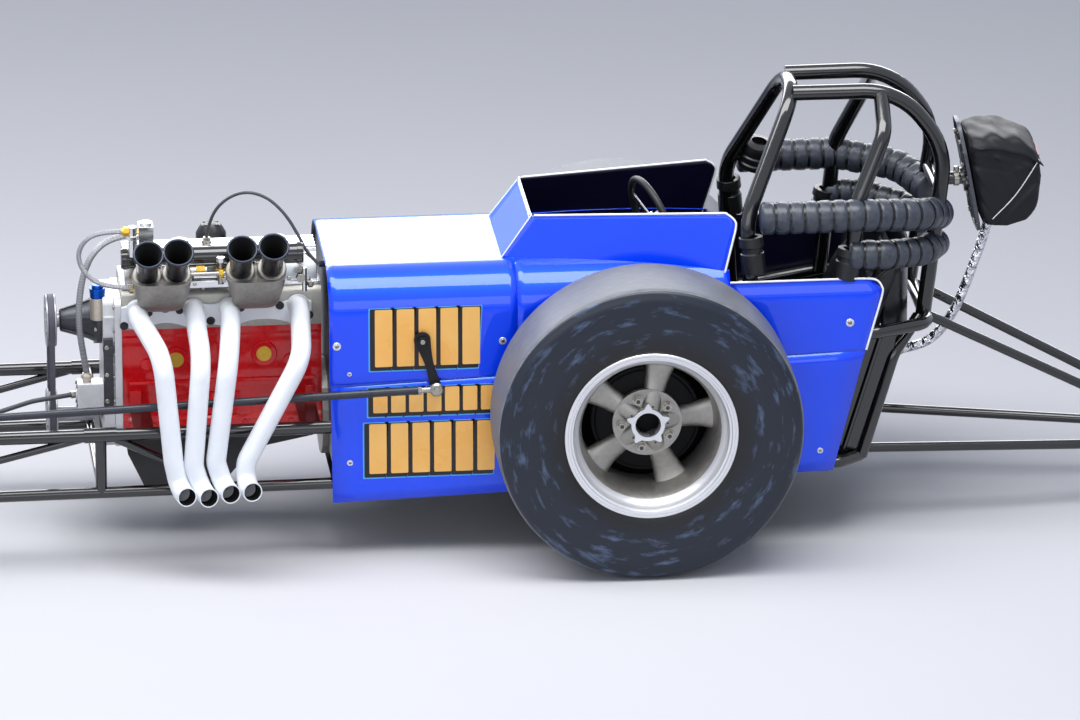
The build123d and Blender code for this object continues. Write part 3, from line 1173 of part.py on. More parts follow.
def make_pitman_arm():
    """Flat arm on the steering box's shaft, outside the body."""
    (xa, y, za), (xb, _, zb) = PITMAN_PIVOT, PITMAN_END
    half = PITMAN_THICKNESS / 2
    eye, end_eye = PITMAN_EYES
    arm = rod((xa, y, za), eye, PITMAN_THICKNESS, "Y") + rod((xb, y, zb), end_eye, PITMAN_THICKNESS, "Y")
    wide, narrow = PITMAN_HALF_WIDTHS
    arm += side_plate([(xa - wide, za - 2), (xa + wide, za - 2), (xb + narrow, zb), (xb - narrow, zb)],
                      y - half, y + half)
    radius, length = PITMAN_SHAFT
    return arm + pin((xa, y - length / 2, za), radius, length, "Y")


def make_steering_box():
    """Box inside the body's side, with the column's tube back to the wheel."""
    x, _, z = PITMAN_PIVOT
    half, (inner, outer), (below, above) = BOX_HALF_LENGTH, BOX_SPAN_Y, BOX_SPAN_Z
    box = block((x - half, inner, z - below), (x + half, outer, z + above))
    half = BOX_FOOT_HALF_LENGTH
    box += block((x - half, outer - BOX_FOOT_THICKNESS, rail_z(x, True)), (x + half, outer, z - below))
    box = cope(box, grown_rails()) - bore((x, outer - 16, z), PITMAN_SHAFT[0] + RUNNING_GAP, 90, "Y")
    top, foot = column_ends()
    end = foot + (top - foot).normalized() * ((top - foot).length - COLUMN_END_GAP)
    return box + bar([tuple(foot), tuple(end)], COLUMN_DIAMETER)


def column_ends():
    """The column's line, from the steering wheel's hub to the box."""
    top = Vector(*STEERING_WHEEL_CENTRE)
    dx, y, dz = COLUMN_FOOT
    foot = Vector(PITMAN_PIVOT[0] + dx, y, PITMAN_PIVOT[2] + dz)
    return top, foot


def make_steering_wheel():
    """Rim, three spokes and a hub on a short shaft that turns in the column."""
    top, foot = column_ends()
    plane = Plane(origin=top, z_dir=(top - foot).normalized(), x_dir=(0, 1, 0))
    r = STEERING_WHEEL_RADIUS
    half, sides = STEERING_RIM_RADIUS, STEERING_RIM_SIDES
    outer, inner = RegularPolygon(r + half, sides), RegularPolygon(r - half, sides)
    wheel = extrude(outer - inner, half - 2, both=True)
    radius, length = STEERING_HUB
    wheel += Pos(0, 0, -8) * extrude(RegularPolygon(radius, THIN_SIDES), length / 2, both=True)
    for angle in (90, 210, 330):
        wheel += Rot(0, 0, angle) * Pos(r / 2, 0, 0) * Box(r, *STEERING_SPOKE)
    radius, length = STEERING_SHAFT
    wheel += Pos(0, 0, -14 - length / 2) * Cylinder(radius, length)
    return plane * wheel


def make_front_axle(grow=0.0):
    """Tube between two upright bosses, with a bracket each side for the radius rods."""
    z = FRONT_TYRE_RADIUS
    axle = bar([(WHEELBASE, -KINGPIN_Y + 10, z), (WHEELBASE, KINGPIN_Y - 10, z)],
               FRONT_AXLE_DIAMETER + grow)
    for side in (1, -1):
        axle += rod((WHEELBASE, side * KINGPIN_Y, z), AXLE_BOSS_RADIUS, AXLE_BOSS_HEIGHT, "Z")
        back, front, high = *BRACKET_SPAN_X, BRACKET_HALF_HEIGHT
        half = (BRACKET_THICKNESS + grow) / 2
        axle += block((WHEELBASE - back - grow / 2, side * BRACKET_Y - half, z - high),
                      (WHEELBASE + front, side * BRACKET_Y + half, z + high))
        axle -= bore((WHEELBASE, side * KINGPIN_Y, z), KINGPIN_RADIUS + RUNNING_GAP, 90, "Z")
    return axle


def make_radius_rod():
    """Hairpin from the axle's bracket back to a plate between the two rails."""
    z, x_back = FRONT_TYRE_RADIUS, WHEELBASE - RADIUS_ROD_LENGTH
    y_back = rail_y(x_back) + UPPER_RAIL_DIAMETER / 2
    pivot = (x_back, y_back, z - ROD_PIVOT_DROP)
    ends = [(WHEELBASE - 30, BRACKET_Y, z + side * ROD_SPREAD) for side in (1, -1)]
    rods = bar([ends[0], pivot], BRACE_DIAMETER, sides=THIN_SIDES)
    rods += bar([ends[1], pivot], BRACE_DIAMETER, sides=THIN_SIDES)
    (back, front), (inner, outer), (below, above) = ROD_PLATE, ROD_PLATE_SPAN_Y, ROD_PLATE_SPAN_Z
    rods += block((x_back - back, y_back - inner, z - below), (x_back + front, y_back - outer, z + above))
    return cope(rods, [make_front_axle(2 * GAP), *grown_rails()])


def make_torsion_bars():
    """Cross tube on the nose, with an arm forward to the axle on each side."""
    x = NOSE_X - TORSION_SETBACK
    z = NOSE_UPPER_Z + UPPER_RAIL_DIAMETER / 2 + TORSION_DIAMETER / 2
    y = NOSE_RAIL_Y + TORSION_ARM_OUT
    bars = bar([(x, -y - 10, z), (x, y + 10, z)], TORSION_DIAMETER)
    front = WHEELBASE - 4
    for side in (1, -1):
        arm = [(x, side * y, z), (front, side * y, z + 14), (front, side * y, FRONT_TYRE_RADIUS)]
        bars += bar(arm, TORSION_ARM_DIAMETER, 0, THIN_SIDES)
    return cope(bars, [make_front_axle(2 * GAP), *grown_rails()])


def make_fuel_tank():
    """Round tank across the rails, with its line back along the left upper rail to the pump."""
    low = rail_z(TANK_X, True) + UPPER_RAIL_DIAMETER / 2
    tank = rod((TANK_X, 0, low + TANK_RADIUS - 5), TANK_RADIUS, TANK_LENGTH, "Y")
    tank = cope(tank, grown_rails())
    pump_x, pump_y, _ = PUMP_HOSE_ROUTE[-1]
    start = pump_x + FUEL_PUMP_AHEAD + 4 * GAP
    above = BRACE_DIAMETER / 2 + FUEL_LINE_DIAMETER / 2 + 2
    held = [(x, rail_y(x) - 15, rail_z(x, True) + above) for x in (TAPER_X, TANK_X - 250)]
    end = TANK_X - TANK_RADIUS + 2
    route = [(start, pump_y, 376), (start + 110, pump_y + 30, 372), *held,
             (end - 90, 60, low + TANK_RADIUS - 12), (end - GAP, 60, low + TANK_RADIUS - 5)]
    line = bar(route, FUEL_LINE_DIAMETER, [120, 60, 120, 60], THIN_SIDES)
    return [tank, cope(line, [tank, *grown_rails()])]


def make_seat():
    """Bent sheet bucket with raised sides, on two feet."""
    half = SEAT_HALF_WIDTH
    seat = side_plate([*SEAT_UNDER, *SEAT_TOP], -half, half)
    wing = [*SEAT_WING, *SEAT_TOP[:-1]]
    (back, front), (back_z, front_z) = SEAT_FOOT_X, SEAT_FOOT_TOP_Z
    foot = [(back, floor_top(back) + GAP), (front, floor_top(front) + GAP), (front, front_z),
            (back, back_z)]
    outer = half - SEAT_FOOT_INSET
    for hand in (1, -1):
        y = sorted((hand * half, hand * (half - SEAT_SHEET)))
        seat += side_plate(wing, *y)
        y = sorted((hand * outer, hand * (outer - SEAT_FOOT_THICKNESS)))
        seat += side_plate(foot, *y)
    return seat


def make_harness():
    """Two shoulder straps that lie on the seat's back."""
    strap = [(x + HARNESS_LIFT, z) for x, z in HARNESS_LINE]
    strap += [(x + HARNESS_THICKNESS, z) for x, z in reversed(HARNESS_LINE)]
    return both_sides(side_plate(strap, *HARNESS_SPAN_Y))


def launcher_back(z):
    """The x of the launcher plate's rear face at a height."""
    (top_x, top_z), (low_x, low_z) = LAUNCHER_TOP, LAUNCHER_BOTTOM
    return low_x + (top_x - low_x) * (z - low_z) / (top_z - low_z)


def make_parachute_mount():
    """Cross tube between the cage's back tubes, a stub and the tilted plate that it carries."""
    x, y, z = LAUNCHER_CROSS
    cross = bar([(x, -y, z), (x, y, z)], LAUNCHER_CROSS_DIAMETER)
    mount = cope(cross, both_sides(make_cage_back_tube(2 * GAP)))
    mount += bar([(x, 0, z), (launcher_back(z) + 2, 0, z)], LAUNCHER_STUB_DIAMETER)
    (top_x, top_z), (low_x, low_z) = LAUNCHER_TOP, LAUNCHER_BOTTOM
    thick, half = LAUNCHER_PLATE
    side = [(top_x, top_z), (top_x + thick, top_z), (low_x + thick, low_z), (low_x, low_z)]
    return mount + side_plate(side, -half, half)


def make_parachute_pack():
    """Nylon pack strapped against the launcher plate."""
    high, low = PACK_SPAN_Z
    side = [(launcher_back(high) - 2 * GAP, high), *PACK_REAR, (launcher_back(low) - 2 * GAP, low)]
    return side_plate(side, -PACK_HALF_WIDTH, PACK_HALF_WIDTH)


def make_wheelie_bar():
    """Upper and lower tubes each side that meet in a boss for the wheelie wheels' axle."""
    axle = (WHEELIE_AXLE_X, WHEELIE_BOSS_Y, WHEELIE_AXLE_Z)
    half = bar([(LOOP_UPPER_X, WHEELIE_UPPER_Y, UPPER_REAR_Z), axle], WHEELIE_TUBE_DIAMETER)
    half += bar([(LOOP_LOWER_X, WHEELIE_LOWER_Y, LOWER_REAR_Z), axle], WHEELIE_TUBE_DIAMETER)
    half += rod(axle, WHEELIE_BOSS_RADIUS, WHEELIE_BOSS_WIDTH, "Y", BORE_SIDES)
    half -= bore(axle, WHEELIE_AXLE_RADIUS + RUNNING_GAP, 60, "Y")
    half = cope(half, make_rear_loops(2 * GAP))
    x = WHEELIE_AXLE_X + 150
    share = (x - WHEELIE_AXLE_X) / (LOOP_LOWER_X - WHEELIE_AXLE_X)
    y = WHEELIE_BOSS_Y + share * (WHEELIE_LOWER_Y - WHEELIE_BOSS_Y)
    z = WHEELIE_AXLE_Z + share * (LOWER_REAR_Z - WHEELIE_AXLE_Z)
    other = other_side(half)
    return half + other + bar([(x, -y, z), (x, y, z)], BRACE_DIAMETER, sides=THIN_SIDES)


def make_wheelie_wheels():
    z = WHEELIE_AXLE_Z
    axle = pin((WHEELIE_AXLE_X, 0, z), WHEELIE_AXLE_RADIUS, 2 * WHEELIE_WHEEL_Y + 30, "Y")
    for side in (1, -1):
        axle += rod((WHEELIE_AXLE_X, side * WHEELIE_WHEEL_Y, z), WHEELIE_WHEEL_RADIUS,
                    WHEELIE_WHEEL_WIDTH, "Y")
        inner = WHEELIE_BOSS_Y + WHEELIE_BOSS_WIDTH / 2 + GAP
        outer = WHEELIE_WHEEL_Y - WHEELIE_WHEEL_WIDTH / 2
        axle += rod((WHEELIE_AXLE_X, side * (inner + outer) / 2, z), 14, outer - inner, "Y", THIN_SIDES)
    return axle


NODES = {
    "frame_rails": lambda: both_sides(make_upper_rail()) + both_sides(make_lower_rail()),
    "rear_loops": make_rear_loops,
    "frame_braces": make_frame_braces,
    "roll_hoop": make_roll_hoop,
    "cage_rear_tubes": lambda: both_sides(make_cage_back_tube()) + both_sides(make_cage_side_brace()),
    "cage_padding": make_padding,
    "rear_legs": make_rear_legs,
    "body_shell": make_body_shell,
    "lower_side_panels": lambda: both_sides(make_lower_panel()),
    "cockpit_cowl": make_cowl,
    "firewall": make_firewall,
    "floor_pan": make_floor_pan,
    "engine_block": make_engine_block,
    "oil_pan": make_oil_pan,
    "timing_cover": make_timing_cover,
    "cylinder_head": make_head,
    "rocker_cover": make_rocker_cover,
    "exhaust_header": make_header,
    "injector_bodies": make_injector_bodies,
    "injector_stacks": make_stacks,
    "fuel_fittings": make_fuel_fittings,
    "injector_hose": lambda: cord(HOSE_ROUTE, HOSE_DIAMETER),
    "pump_hose": lambda: cord(PUMP_HOSE_ROUTE, PUMP_HOSE_DIAMETER),
    "throttle_cable": lambda: cord(CABLE_ROUTE, CABLE_DIAMETER),
    "water_pump": make_water_pump,
    "belt_pulleys": make_pulleys,
    "drive_belt": make_belt,
    "fuel_pump": make_fuel_pump,
    "magneto": make_magneto,
    "gearbox": make_gearbox,
    "rear_axle": make_rear_axle,
    "axle_plates": lambda: both_sides(make_axle_plate()),
    "rear_tyre_left": make_rear_tyre,
    "rear_tyre_right": lambda: other_side(make_rear_tyre()),
    "rear_wheel_left": make_rear_wheel,
    "rear_wheel_right": lambda: other_side(make_rear_wheel()),
    "rear_hub_left": make_rear_hub,
    "rear_hub_right": lambda: other_side(make_rear_hub()),
    "front_axle": make_front_axle,
    "front_tyre_left": make_front_tyre,
    "front_tyre_right": lambda: other_side(make_front_tyre()),
    "front_wheel_left": make_front_wheel,
    "front_wheel_right": lambda: other_side(make_front_wheel()),
    "knuckle_left": lambda: make_knuckle("left"),
    "knuckle_right": lambda: make_knuckle("right"),
    "tie_rod": make_tie_rod,
    "drag_link": make_drag_link,
    "pitman_arm": make_pitman_arm,
    "steering_box": make_steering_box,
    "steering_wheel": make_steering_wheel,
    "front_links": lambda: both_sides(make_radius_rod()) + [make_torsion_bars()],
    "fuel_tank": make_fuel_tank,
    "seat": make_seat,
    "harness": make_harness,
    "parachute_mount": make_parachute_mount,
    "parachute_pack": make_parachute_pack,
    "parachute_tether": lambda: cord(TETHER_ROUTE, TETHER_DIAMETER),
    "wheelie_bar": make_wheelie_bar,
    "wheelie_wheels": make_wheelie_wheels,
}


def main():
    os.makedirs("parts", exist_ok=True)
    for name, make in NODES.items():
        made = make()
        pieces = made if isinstance(made, list) else [made]
        shift = Location((-MIDDLE_X, 0, 0))
        solids = [solid.moved(shift) for piece in pieces for solid in piece.solids()]
        whole = solids[0] if len(solids) == 1 else Compound(solids)
        export_step(whole, f"parts/{name}.step")


main()
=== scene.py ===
import math

import bmesh
import bpy
import numpy as np
from mathutils import Matrix, Vector


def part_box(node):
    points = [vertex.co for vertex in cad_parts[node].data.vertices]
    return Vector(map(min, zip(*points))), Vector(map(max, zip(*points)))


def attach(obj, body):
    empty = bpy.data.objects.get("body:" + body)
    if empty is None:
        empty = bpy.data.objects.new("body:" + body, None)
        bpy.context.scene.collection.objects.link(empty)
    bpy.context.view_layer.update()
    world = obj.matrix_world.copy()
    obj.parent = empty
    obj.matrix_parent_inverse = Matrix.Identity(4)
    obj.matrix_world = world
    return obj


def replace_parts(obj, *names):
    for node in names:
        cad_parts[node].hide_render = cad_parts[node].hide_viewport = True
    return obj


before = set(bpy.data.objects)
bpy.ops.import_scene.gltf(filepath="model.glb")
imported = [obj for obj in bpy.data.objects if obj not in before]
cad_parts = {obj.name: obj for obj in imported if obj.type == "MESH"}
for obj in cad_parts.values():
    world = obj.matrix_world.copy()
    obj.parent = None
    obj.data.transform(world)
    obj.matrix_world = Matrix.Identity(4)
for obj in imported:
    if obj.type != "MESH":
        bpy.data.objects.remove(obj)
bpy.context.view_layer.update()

# The frame's tubes. Drawn steel tube, coped and welded, with black enamel baked on and wiped
# often, so it is glossy with a faint orange peel. Points are metres from the rear axle's line.
AXLE_X = float(sum(corner[0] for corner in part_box("rear_tyre_left")) / 2)
TUBE_SIDES = 20
ARC_STEP = math.radians(7)


def linear(hex_value):
    """An sRGB hex colour as the linear numbers that a shader takes."""
    srgb = np.array([int(hex_value[k:k + 2], 16) / 255 for k in (1, 3, 5)])
    low, high = srgb / 12.92, ((srgb + 0.055) / 1.055) ** 2.4
    return (*np.where(srgb <= 0.04045, low, high), 1.0)


def add_node(tree, kind, inputs=None, **settings):
    """Adds one shader node. An input's value is a number, a colour or the socket to link."""
    new = tree.nodes.new("ShaderNode" + kind)
    for name, value in settings.items():
        setattr(new, name, value)
    for name, value in (inputs or {}).items():
        if isinstance(value, bpy.types.NodeSocket):
            tree.links.new(value, new.inputs[name])
        else:
            new.inputs[name].default_value = value
    return new


def empty_tree(owner):
    """The node tree of a material or of the sky, with nothing in it yet."""
    owner.use_nodes = True
    owner.node_tree.nodes.clear()
    return owner.node_tree


def blend(tree, share, *shades):
    """The colour between two, each a hex value or a socket, by the share that a socket gives."""
    first, second = (linear(shade) if isinstance(shade, str) else shade for shade in shades)
    mix = add_node(tree, "MixRGB", {"Fac": share, "Color1": first, "Color2": second})
    return mix.outputs["Color"]


def end_in_shader(tree, inputs):
    """Ends a material's tree in one principled shader with these inputs."""
    shader = add_node(tree, "BsdfPrincipled", inputs)
    add_node(tree, "OutputMaterial", {"Surface": shader.outputs["BSDF"]})


def finish(name, shades, metallic=0.0, rough=(0.3, 0.4), grain=0.02, bump=0.0, stretch=(1, 1, 1), **extra):
    """A surface whose colour and roughness wander between two values over a grain in metres,
    with a bump of the given height in metres at the same grain."""
    material = bpy.data.materials.new(name)
    tree = empty_tree(material)
    place = add_node(tree, "TexCoord").outputs["Object"]
    place = add_node(tree, "Mapping", {"Vector": place, "Scale": stretch}).outputs["Vector"]
    noise = add_node(tree, "TexNoise", {"Vector": place, "Scale": 1 / grain, "Detail": 4.0})
    noise = noise.outputs["Fac"]
    colour = blend(tree, noise, *shades)
    rougher = add_node(tree, "MapRange", {"Value": noise, "From Min": 0.3, "From Max": 0.7,
                                          "To Min": rough[0], "To Max": rough[1]})
    inputs = {"Base Color": colour, "Metallic": metallic, "Roughness": rougher.outputs["Result"]}
    if bump:
        raised = add_node(tree, "Bump", {"Height": noise, "Distance": bump})
        inputs["Normal"] = raised.outputs["Normal"]
    end_in_shader(tree, inputs | extra)
    return material


def car(points):
    """Points given from the rear axle's line, in the frame's own place."""
    return np.asarray(points, float) + (AXLE_X, 0, 0)


def skin(grid, around=True, along=False, ends=False):
    """Vertices and faces over a grid of points: rows go along the shape, columns go round it."""
    rows, cols = grid.shape[:2]
    index = np.arange(rows * cols).reshape(rows, cols)
    if around:
        index = np.concatenate([index, index[:, :1]], 1)
    if along:
        index = np.concatenate([index, index[:1]], 0)
    quads = np.stack([index[:-1, :-1], index[:-1, 1:], index[1:, 1:], index[1:, :-1]], -1)
    faces = quads.reshape(-1, 4).tolist()
    if ends:
        faces += [index[0, :cols][::-1].tolist(), index[-1, :cols].tolist()]
    return grid.reshape(-1, 3), faces


def build(name, parts, materials, body="root", replaces=(), bevel=0.0, sharp=35, sheet=False):
    """One object from parts of (vertices, faces) or (vertices, faces, material's number)."""
    vertices, faces, shades, start = [], [], [], 0
    for points, polygons, *shade in parts:
        vertices.append(points)
        faces += [[corner + start for corner in polygon] for polygon in polygons]
        shades += [shade[0] if shade else 0] * len(polygons)
        start += len(points)
    mesh = bpy.data.meshes.new(name)
    mesh.from_pydata(np.concatenate(vertices).tolist(), [], faces)
    mesh.polygons.foreach_set("material_index", shades)
    for material in (materials if isinstance(materials, (list, tuple)) else [materials]):
        mesh.materials.append(material)
    tidy = bmesh.new()
    tidy.from_mesh(mesh)
    bmesh.ops.remove_doubles(tidy, verts=tidy.verts, dist=1e-6)
    if not sheet:
        bmesh.ops.recalc_face_normals(tidy, faces=tidy.faces)
    tidy.to_mesh(mesh)
    tidy.free()
    mesh.polygons.foreach_set("use_smooth", [True] * len(mesh.polygons))
    mesh.set_sharp_from_angle(angle=math.radians(sharp))
    made = bpy.data.objects.new(name, mesh)
    bpy.context.scene.collection.objects.link(made)
    if bevel:
        rounded = made.modifiers.new("edges", "BEVEL")
        rounded.width, rounded.segments, rounded.limit_method = bevel, 2, "ANGLE"
        rounded.angle_limit, rounded.harden_normals = math.radians(30), True
    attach(made, body)
    if replaces:
        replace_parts(made, *([replaces] if isinstance(replaces, str) else replaces))
    return made


def unit(way):
    """The direction, with a length of one."""
    return way / np.linalg.norm(way)


def bent(points, radii=0.0):
    """A path through the points, whose corners are arcs of the given radii."""
    points = np.asarray(points, float)
    radii = np.broadcast_to(radii, max(len(points) - 2, 0))
    path = [points[:1]]
    for before, corner, after, radius in zip(points, points[1:], points[2:], radii):
        a, b = unit(before - corner), unit(after - corner)
        half = math.acos(np.clip(-a @ b, -1, 1)) / 2
        if radius == 0 or half < 1e-3:
            path.append(corner[None])
            continue
        centre = corner + unit(a + b) * radius / math.cos(half)
        out, side = unit(corner - centre), unit(b - a)
        turn = np.linspace(-half, half, max(3, int(2 * half / ARC_STEP) + 2))[:, None]
        path.append(centre + radius * (np.cos(turn) * out + np.sin(turn) * side))
    return np.concatenate(path + [points[-1:]])


def headings(path):
    """The path's direction at each of its points."""
    ahead = np.gradient(path, axis=0)
    return ahead / np.linalg.norm(ahead, axis=1, keepdims=True)


def frames(path):
    """Two directions square to the path at each point, carried along it without twist."""
    ahead = headings(path)
    side = np.cross(ahead[0], (0, 0, 1) if abs(ahead[0][2]) < 0.9 else (0, 1, 0))
    sides = []
    for way in ahead:
        side = unit(side - way * (side @ way))
        sides.append(side)
    sides = np.array(sides)
    return sides, np.cross(ahead, sides)


def whole_turn(count, first=0.0):
    """Angles spread evenly round a circle."""
    return first + np.linspace(0, 2 * math.pi, count, endpoint=False)


def tube(points, radius, radii=0.0, sides=TUBE_SIDES, ends=True):
    """A round tube: a circle of the radius, or of one radius for each path point, carried along."""
    path = car(bent(points, radii))
    across, up = frames(path)
    turn = whole_turn(sides)
    radius = np.broadcast_to(radius, len(path))[:, None, None]
    ring = np.cos(turn)[:, None] * across[:, None] + np.sin(turn)[:, None] * up[:, None]
    return skin(path[:, None] + radius * ring, ends=ends)


def both(points):
    """The points of a left-hand piece, and of its twin on the right."""
    points = np.asarray(points, float)
    return points, points * (1, -1, 1)


BLACK_ENAMEL = finish("black_enamel", ("#050506", "#0b0b0d"), rough=(0.12, 0.22), grain=0.006, bump=0.00002,
                      **{"Coat Weight": 0.8, "Coat Roughness": 0.05})
RAIL_Y, RAIL, LOWER = 0.245, 0.016, 0.014
UPPER_REAR_Z, LOWER_REAR_Z = 0.524, 0.192
UPPER_LOOP_X, LOWER_LOOP_X = -0.712, -0.556
UPPER_LINE = ((-0.56, RAIL_Y, UPPER_REAR_Z), (-0.53, RAIL_Y, UPPER_REAR_Z), (0.65, RAIL_Y, 0.33),
              (1.7, RAIL_Y, 0.33), (3.84, 0.14, 0.318))
LOWER_LINE = ((-0.47, RAIL_Y, LOWER_REAR_Z), (1.7, RAIL_Y, 0.18), (3.84, 0.14, 0.208))


def on_rail(line, x):
    """The point of a rail's line at x."""
    line = np.array(line)
    return np.array([x, np.interp(x, line[:, 0], line[:, 1]), np.interp(x, line[:, 0], line[:, 2])])


rails = [tube(side, radius) for line, radius in ((UPPER_LINE, RAIL), (LOWER_LINE, LOWER))
         for side in both(line)]
sleeve = [on_rail(UPPER_LINE, x) for x in (1.27, 1.349)]
rails += [tube(side, RAIL + 0.0025) for side in both(sleeve)]
build("frame_tubes", rails, BLACK_ENAMEL, replaces="frame_rails")

loops = []
for (start_x, _, z), back_x, radius, corner_y, bend in (
        (UPPER_LINE[0], UPPER_LOOP_X, RAIL, 0.19, 0.055),
        (LOWER_LINE[0], LOWER_LOOP_X, LOWER, 0.195, 0.045)):
    side = [(start_x, RAIL_Y, z), (start_x - 0.022, RAIL_Y, z), (back_x, corner_y, z)]
    route = side + [(x, -y, z) for x, y, z in reversed(side)]
    loops.append(tube(route, radius, [0.03, bend, bend, 0.03]))
build("rear_loop_tubes", loops, BLACK_ENAMEL, replaces="rear_loops")

stations = np.linspace(1.309, 3.82, 5)
braces = []
for x in stations:
    high, low = on_rail(UPPER_LINE, x), on_rail(LOWER_LINE, x)
    braces += [tube(side, 0.014) for side in both([high, low])]
    braces += [tube([end, end * (1, -1, 1)], 0.01) for end in (high, low)]
step = stations[1] - stations[0]
for k, x in enumerate([stations[0] - step / 2, *stations[:-1]]):
    ahead = stations[k]
    ends = ((on_rail(UPPER_LINE, ahead - 0.015), on_rail(LOWER_LINE, x)) if k == 0
            else (on_rail(UPPER_LINE, x + 0.015), on_rail(LOWER_LINE, ahead - 0.015)))
    braces += [tube(side, 0.01) for side in both(ends)]
build("frame_brace_tubes", braces, BLACK_ENAMEL, replaces="frame_braces")

CAGE = 0.019
foot_z = float(on_rail(UPPER_LINE, -0.281)[2])
hoop = [(-0.281, 0.232, foot_z), (-0.262, 0.212, 0.812), (-0.39, 0.082, 1.086)]
hoop += [(x, -y, z) for x, y, z in reversed(hoop)]
build("roll_hoop_tube", [tube(hoop, CAGE, [0.15, 0.1, 0.1, 0.15])], BLACK_ENAMEL, replaces="roll_hoop")
back_tube = [(-0.39, 0.078, 1.086), (-0.65, 0.082, 1.086), (-0.762, 0.102, 0.94),
             (-0.708, 0.124, UPPER_REAR_Z)]
side_brace = [(-0.604, 0.082, 1.078), (-0.601, 0.178, 1.01), (-0.534, 0.222, 0.86),
              (-0.5, 0.232, float(on_rail(UPPER_LINE, -0.5)[2]))]
rear_tubes = [tube(side, CAGE, [0.18, 0.18]) for side in both(back_tube)]
rear_tubes += [tube(side, CAGE, [0.07, 0.13]) for side in both(side_brace)]
build("cage_rear_tube_set", rear_tubes, BLACK_ENAMEL, replaces="cage_rear_tubes")


def prism(ring, y_low, y_high, centre=(0, 0, 0)):
    """A plate between two values of y, whose ring is of (x, z) points."""
    ring = np.asarray(ring, float)
    layers = [np.stack([ring[:, 0], np.full(len(ring), y), ring[:, 1]], -1) for y in (y_low, y_high)]
    return skin(car(np.array(layers) + centre), ends=True)


leg = [(-0.694, 0.14, UPPER_REAR_Z), (-0.628, 0.196, 0.452), (-0.548, 0.205, LOWER_REAR_Z)]
legs = [tube(side, 0.015, 0.06) for side in both(leg)]
CROSS_X, CROSS_Z = -0.606, 0.388
legs.append(tube([(CROSS_X, -0.198, CROSS_Z), (CROSS_X, 0.198, CROSS_Z)], 0.012))
plate_edge = [(-0.48, 0.51), (-0.632, 0.5), (-0.622, 0.44), (-0.546, 0.19), (-0.44, 0.188)]
legs += [prism(plate_edge, low + 0.002, low) for low in (-0.201, 0.199)]
legs += [tube(side, 0.006) for side in both([(-0.592, 0.2045, 0.495), (-0.502, 0.2045, 0.2)])]
legs.append(tube([(CROSS_X, 0, CROSS_Z), (CROSS_X - 0.034, 0, CROSS_Z)], 0.012))
build("rear_leg_tubes", legs, BLACK_ENAMEL, replaces="rear_legs")
WHEELIE_HUB = np.array((-1.433, 0.06, 0.139))
wheelie = []
for start in ((UPPER_LOOP_X, 0.12, UPPER_REAR_Z), (LOWER_LOOP_X, 0.15, LOWER_REAR_Z)):
    wheelie += [tube(side, 0.012) for side in both([start, WHEELIE_HUB])]
wheelie.append(tube([(-1.283, -0.075, 0.148), (-1.283, 0.075, 0.148)], 0.01))
sleeve = [WHEELIE_HUB + (0, 0.015, 0), WHEELIE_HUB - (0, 0.015, 0)]
wheelie += [tube(side, 0.02) for side in both(sleeve)]
build("wheelie_bar_tubes", wheelie, BLACK_ENAMEL, replaces="wheelie_bar")

# The body. Aluminium sheet bent over at the top corners and painted in a deep royal blue under
# clear lacquer, so it mirrors the sky. A strip of white edging covers the cut edges.
BLUE_PAINT = finish("blue_lacquer", ("#0026f0", "#003cff"), rough=(0.4, 0.46), grain=0.25,
                    **{"Specular Tint": linear("#3fc4ff"), "Specular IOR Level": 0.9, "Sheen Weight": 0.9,
                       "Sheen Roughness": 0.3, "Sheen Tint": linear("#5fd0ff"), "Coat Weight": 1.0,
                       "Coat Roughness": 0.02})
# Painted shade: the sheets' inner faces and the firewall take a near-black navy for the dark inside the
# body.
NAVY_SHADE_PAINT = finish("navy_painted_shade", ("#030217", "#07072c"), rough=(0.3, 0.4), grain=0.2)
WHITE_EDGING = finish("white_edging", ("#f2f4f8", "#ffffff"), rough=(0.25, 0.35), grain=0.01)
SHEET, HALF, HOOD_Z, BEND = 0.002, 0.2635, 0.718, 0.106
FRONT_X, OPENING_X, COCKPIT_X, TAIL_X = 0.755, 0.298, -0.219, -0.55
SEAM_FRONT_Z, SEAM_TAIL_Z, SILL_Z = 0.4365, 0.4855, 0.667
BEND_RUN = BEND * math.pi / 2


def wrap(x, run):
    """The point of the body's skin at x, whose run is measured up the side, round the bend and in
    over the hood from the height where the bend starts."""
    x, run = np.broadcast_arrays(np.asarray(x, float), np.asarray(run, float))
    angle = np.clip(run, 0, BEND_RUN) / BEND
    y = HALF - BEND + BEND * np.cos(angle) - np.maximum(run - BEND_RUN, 0)
    z = HOOD_Z - BEND + BEND * np.sin(angle) + np.minimum(run, 0)
    return np.stack([x, y, z], -1)


def run_to(y):
    """How far up the skin a distance from the middle lies."""
    flat, angle = HALF - BEND, np.arccos(np.clip((y - (HALF - BEND)) / BEND, 0, 1))
    return np.where(y < flat, BEND_RUN + flat - y, angle * BEND)


def patch(rows_x, low, high, columns):
    """A stretch of skin between two runs, given at each x."""
    share = np.linspace(0, 1, columns)
    run = low[:, None] + (high - low)[:, None] * share
    return wrap(np.broadcast_to(rows_x[:, None], run.shape), run)


def mirrored(parts):
    """Each part, and its twin on the right."""
    return [side for points, faces, *rest in parts
            for side in ((points, faces, *rest),
                         (points * (1, -1, 1), [face[::-1] for face in faces], *rest))]


def seam_z(x):
    """The height of the seam between the upper and lower sheets."""
    return np.interp(x, [TAIL_X, FRONT_X], [SEAM_TAIL_Z, SEAM_FRONT_Z])


def thicken(made, thickness, offset=-1, inside=0, rim=0):
    """Gives a sheet its thickness. Inside and rim say how many places on in the list of
    materials the inner face's and the cut edge's ones stand."""
    thick = made.modifiers.new("sheet", "SOLIDIFY")
    thick.thickness, thick.offset = thickness, offset
    thick.material_offset, thick.material_offset_rim = inside, rim


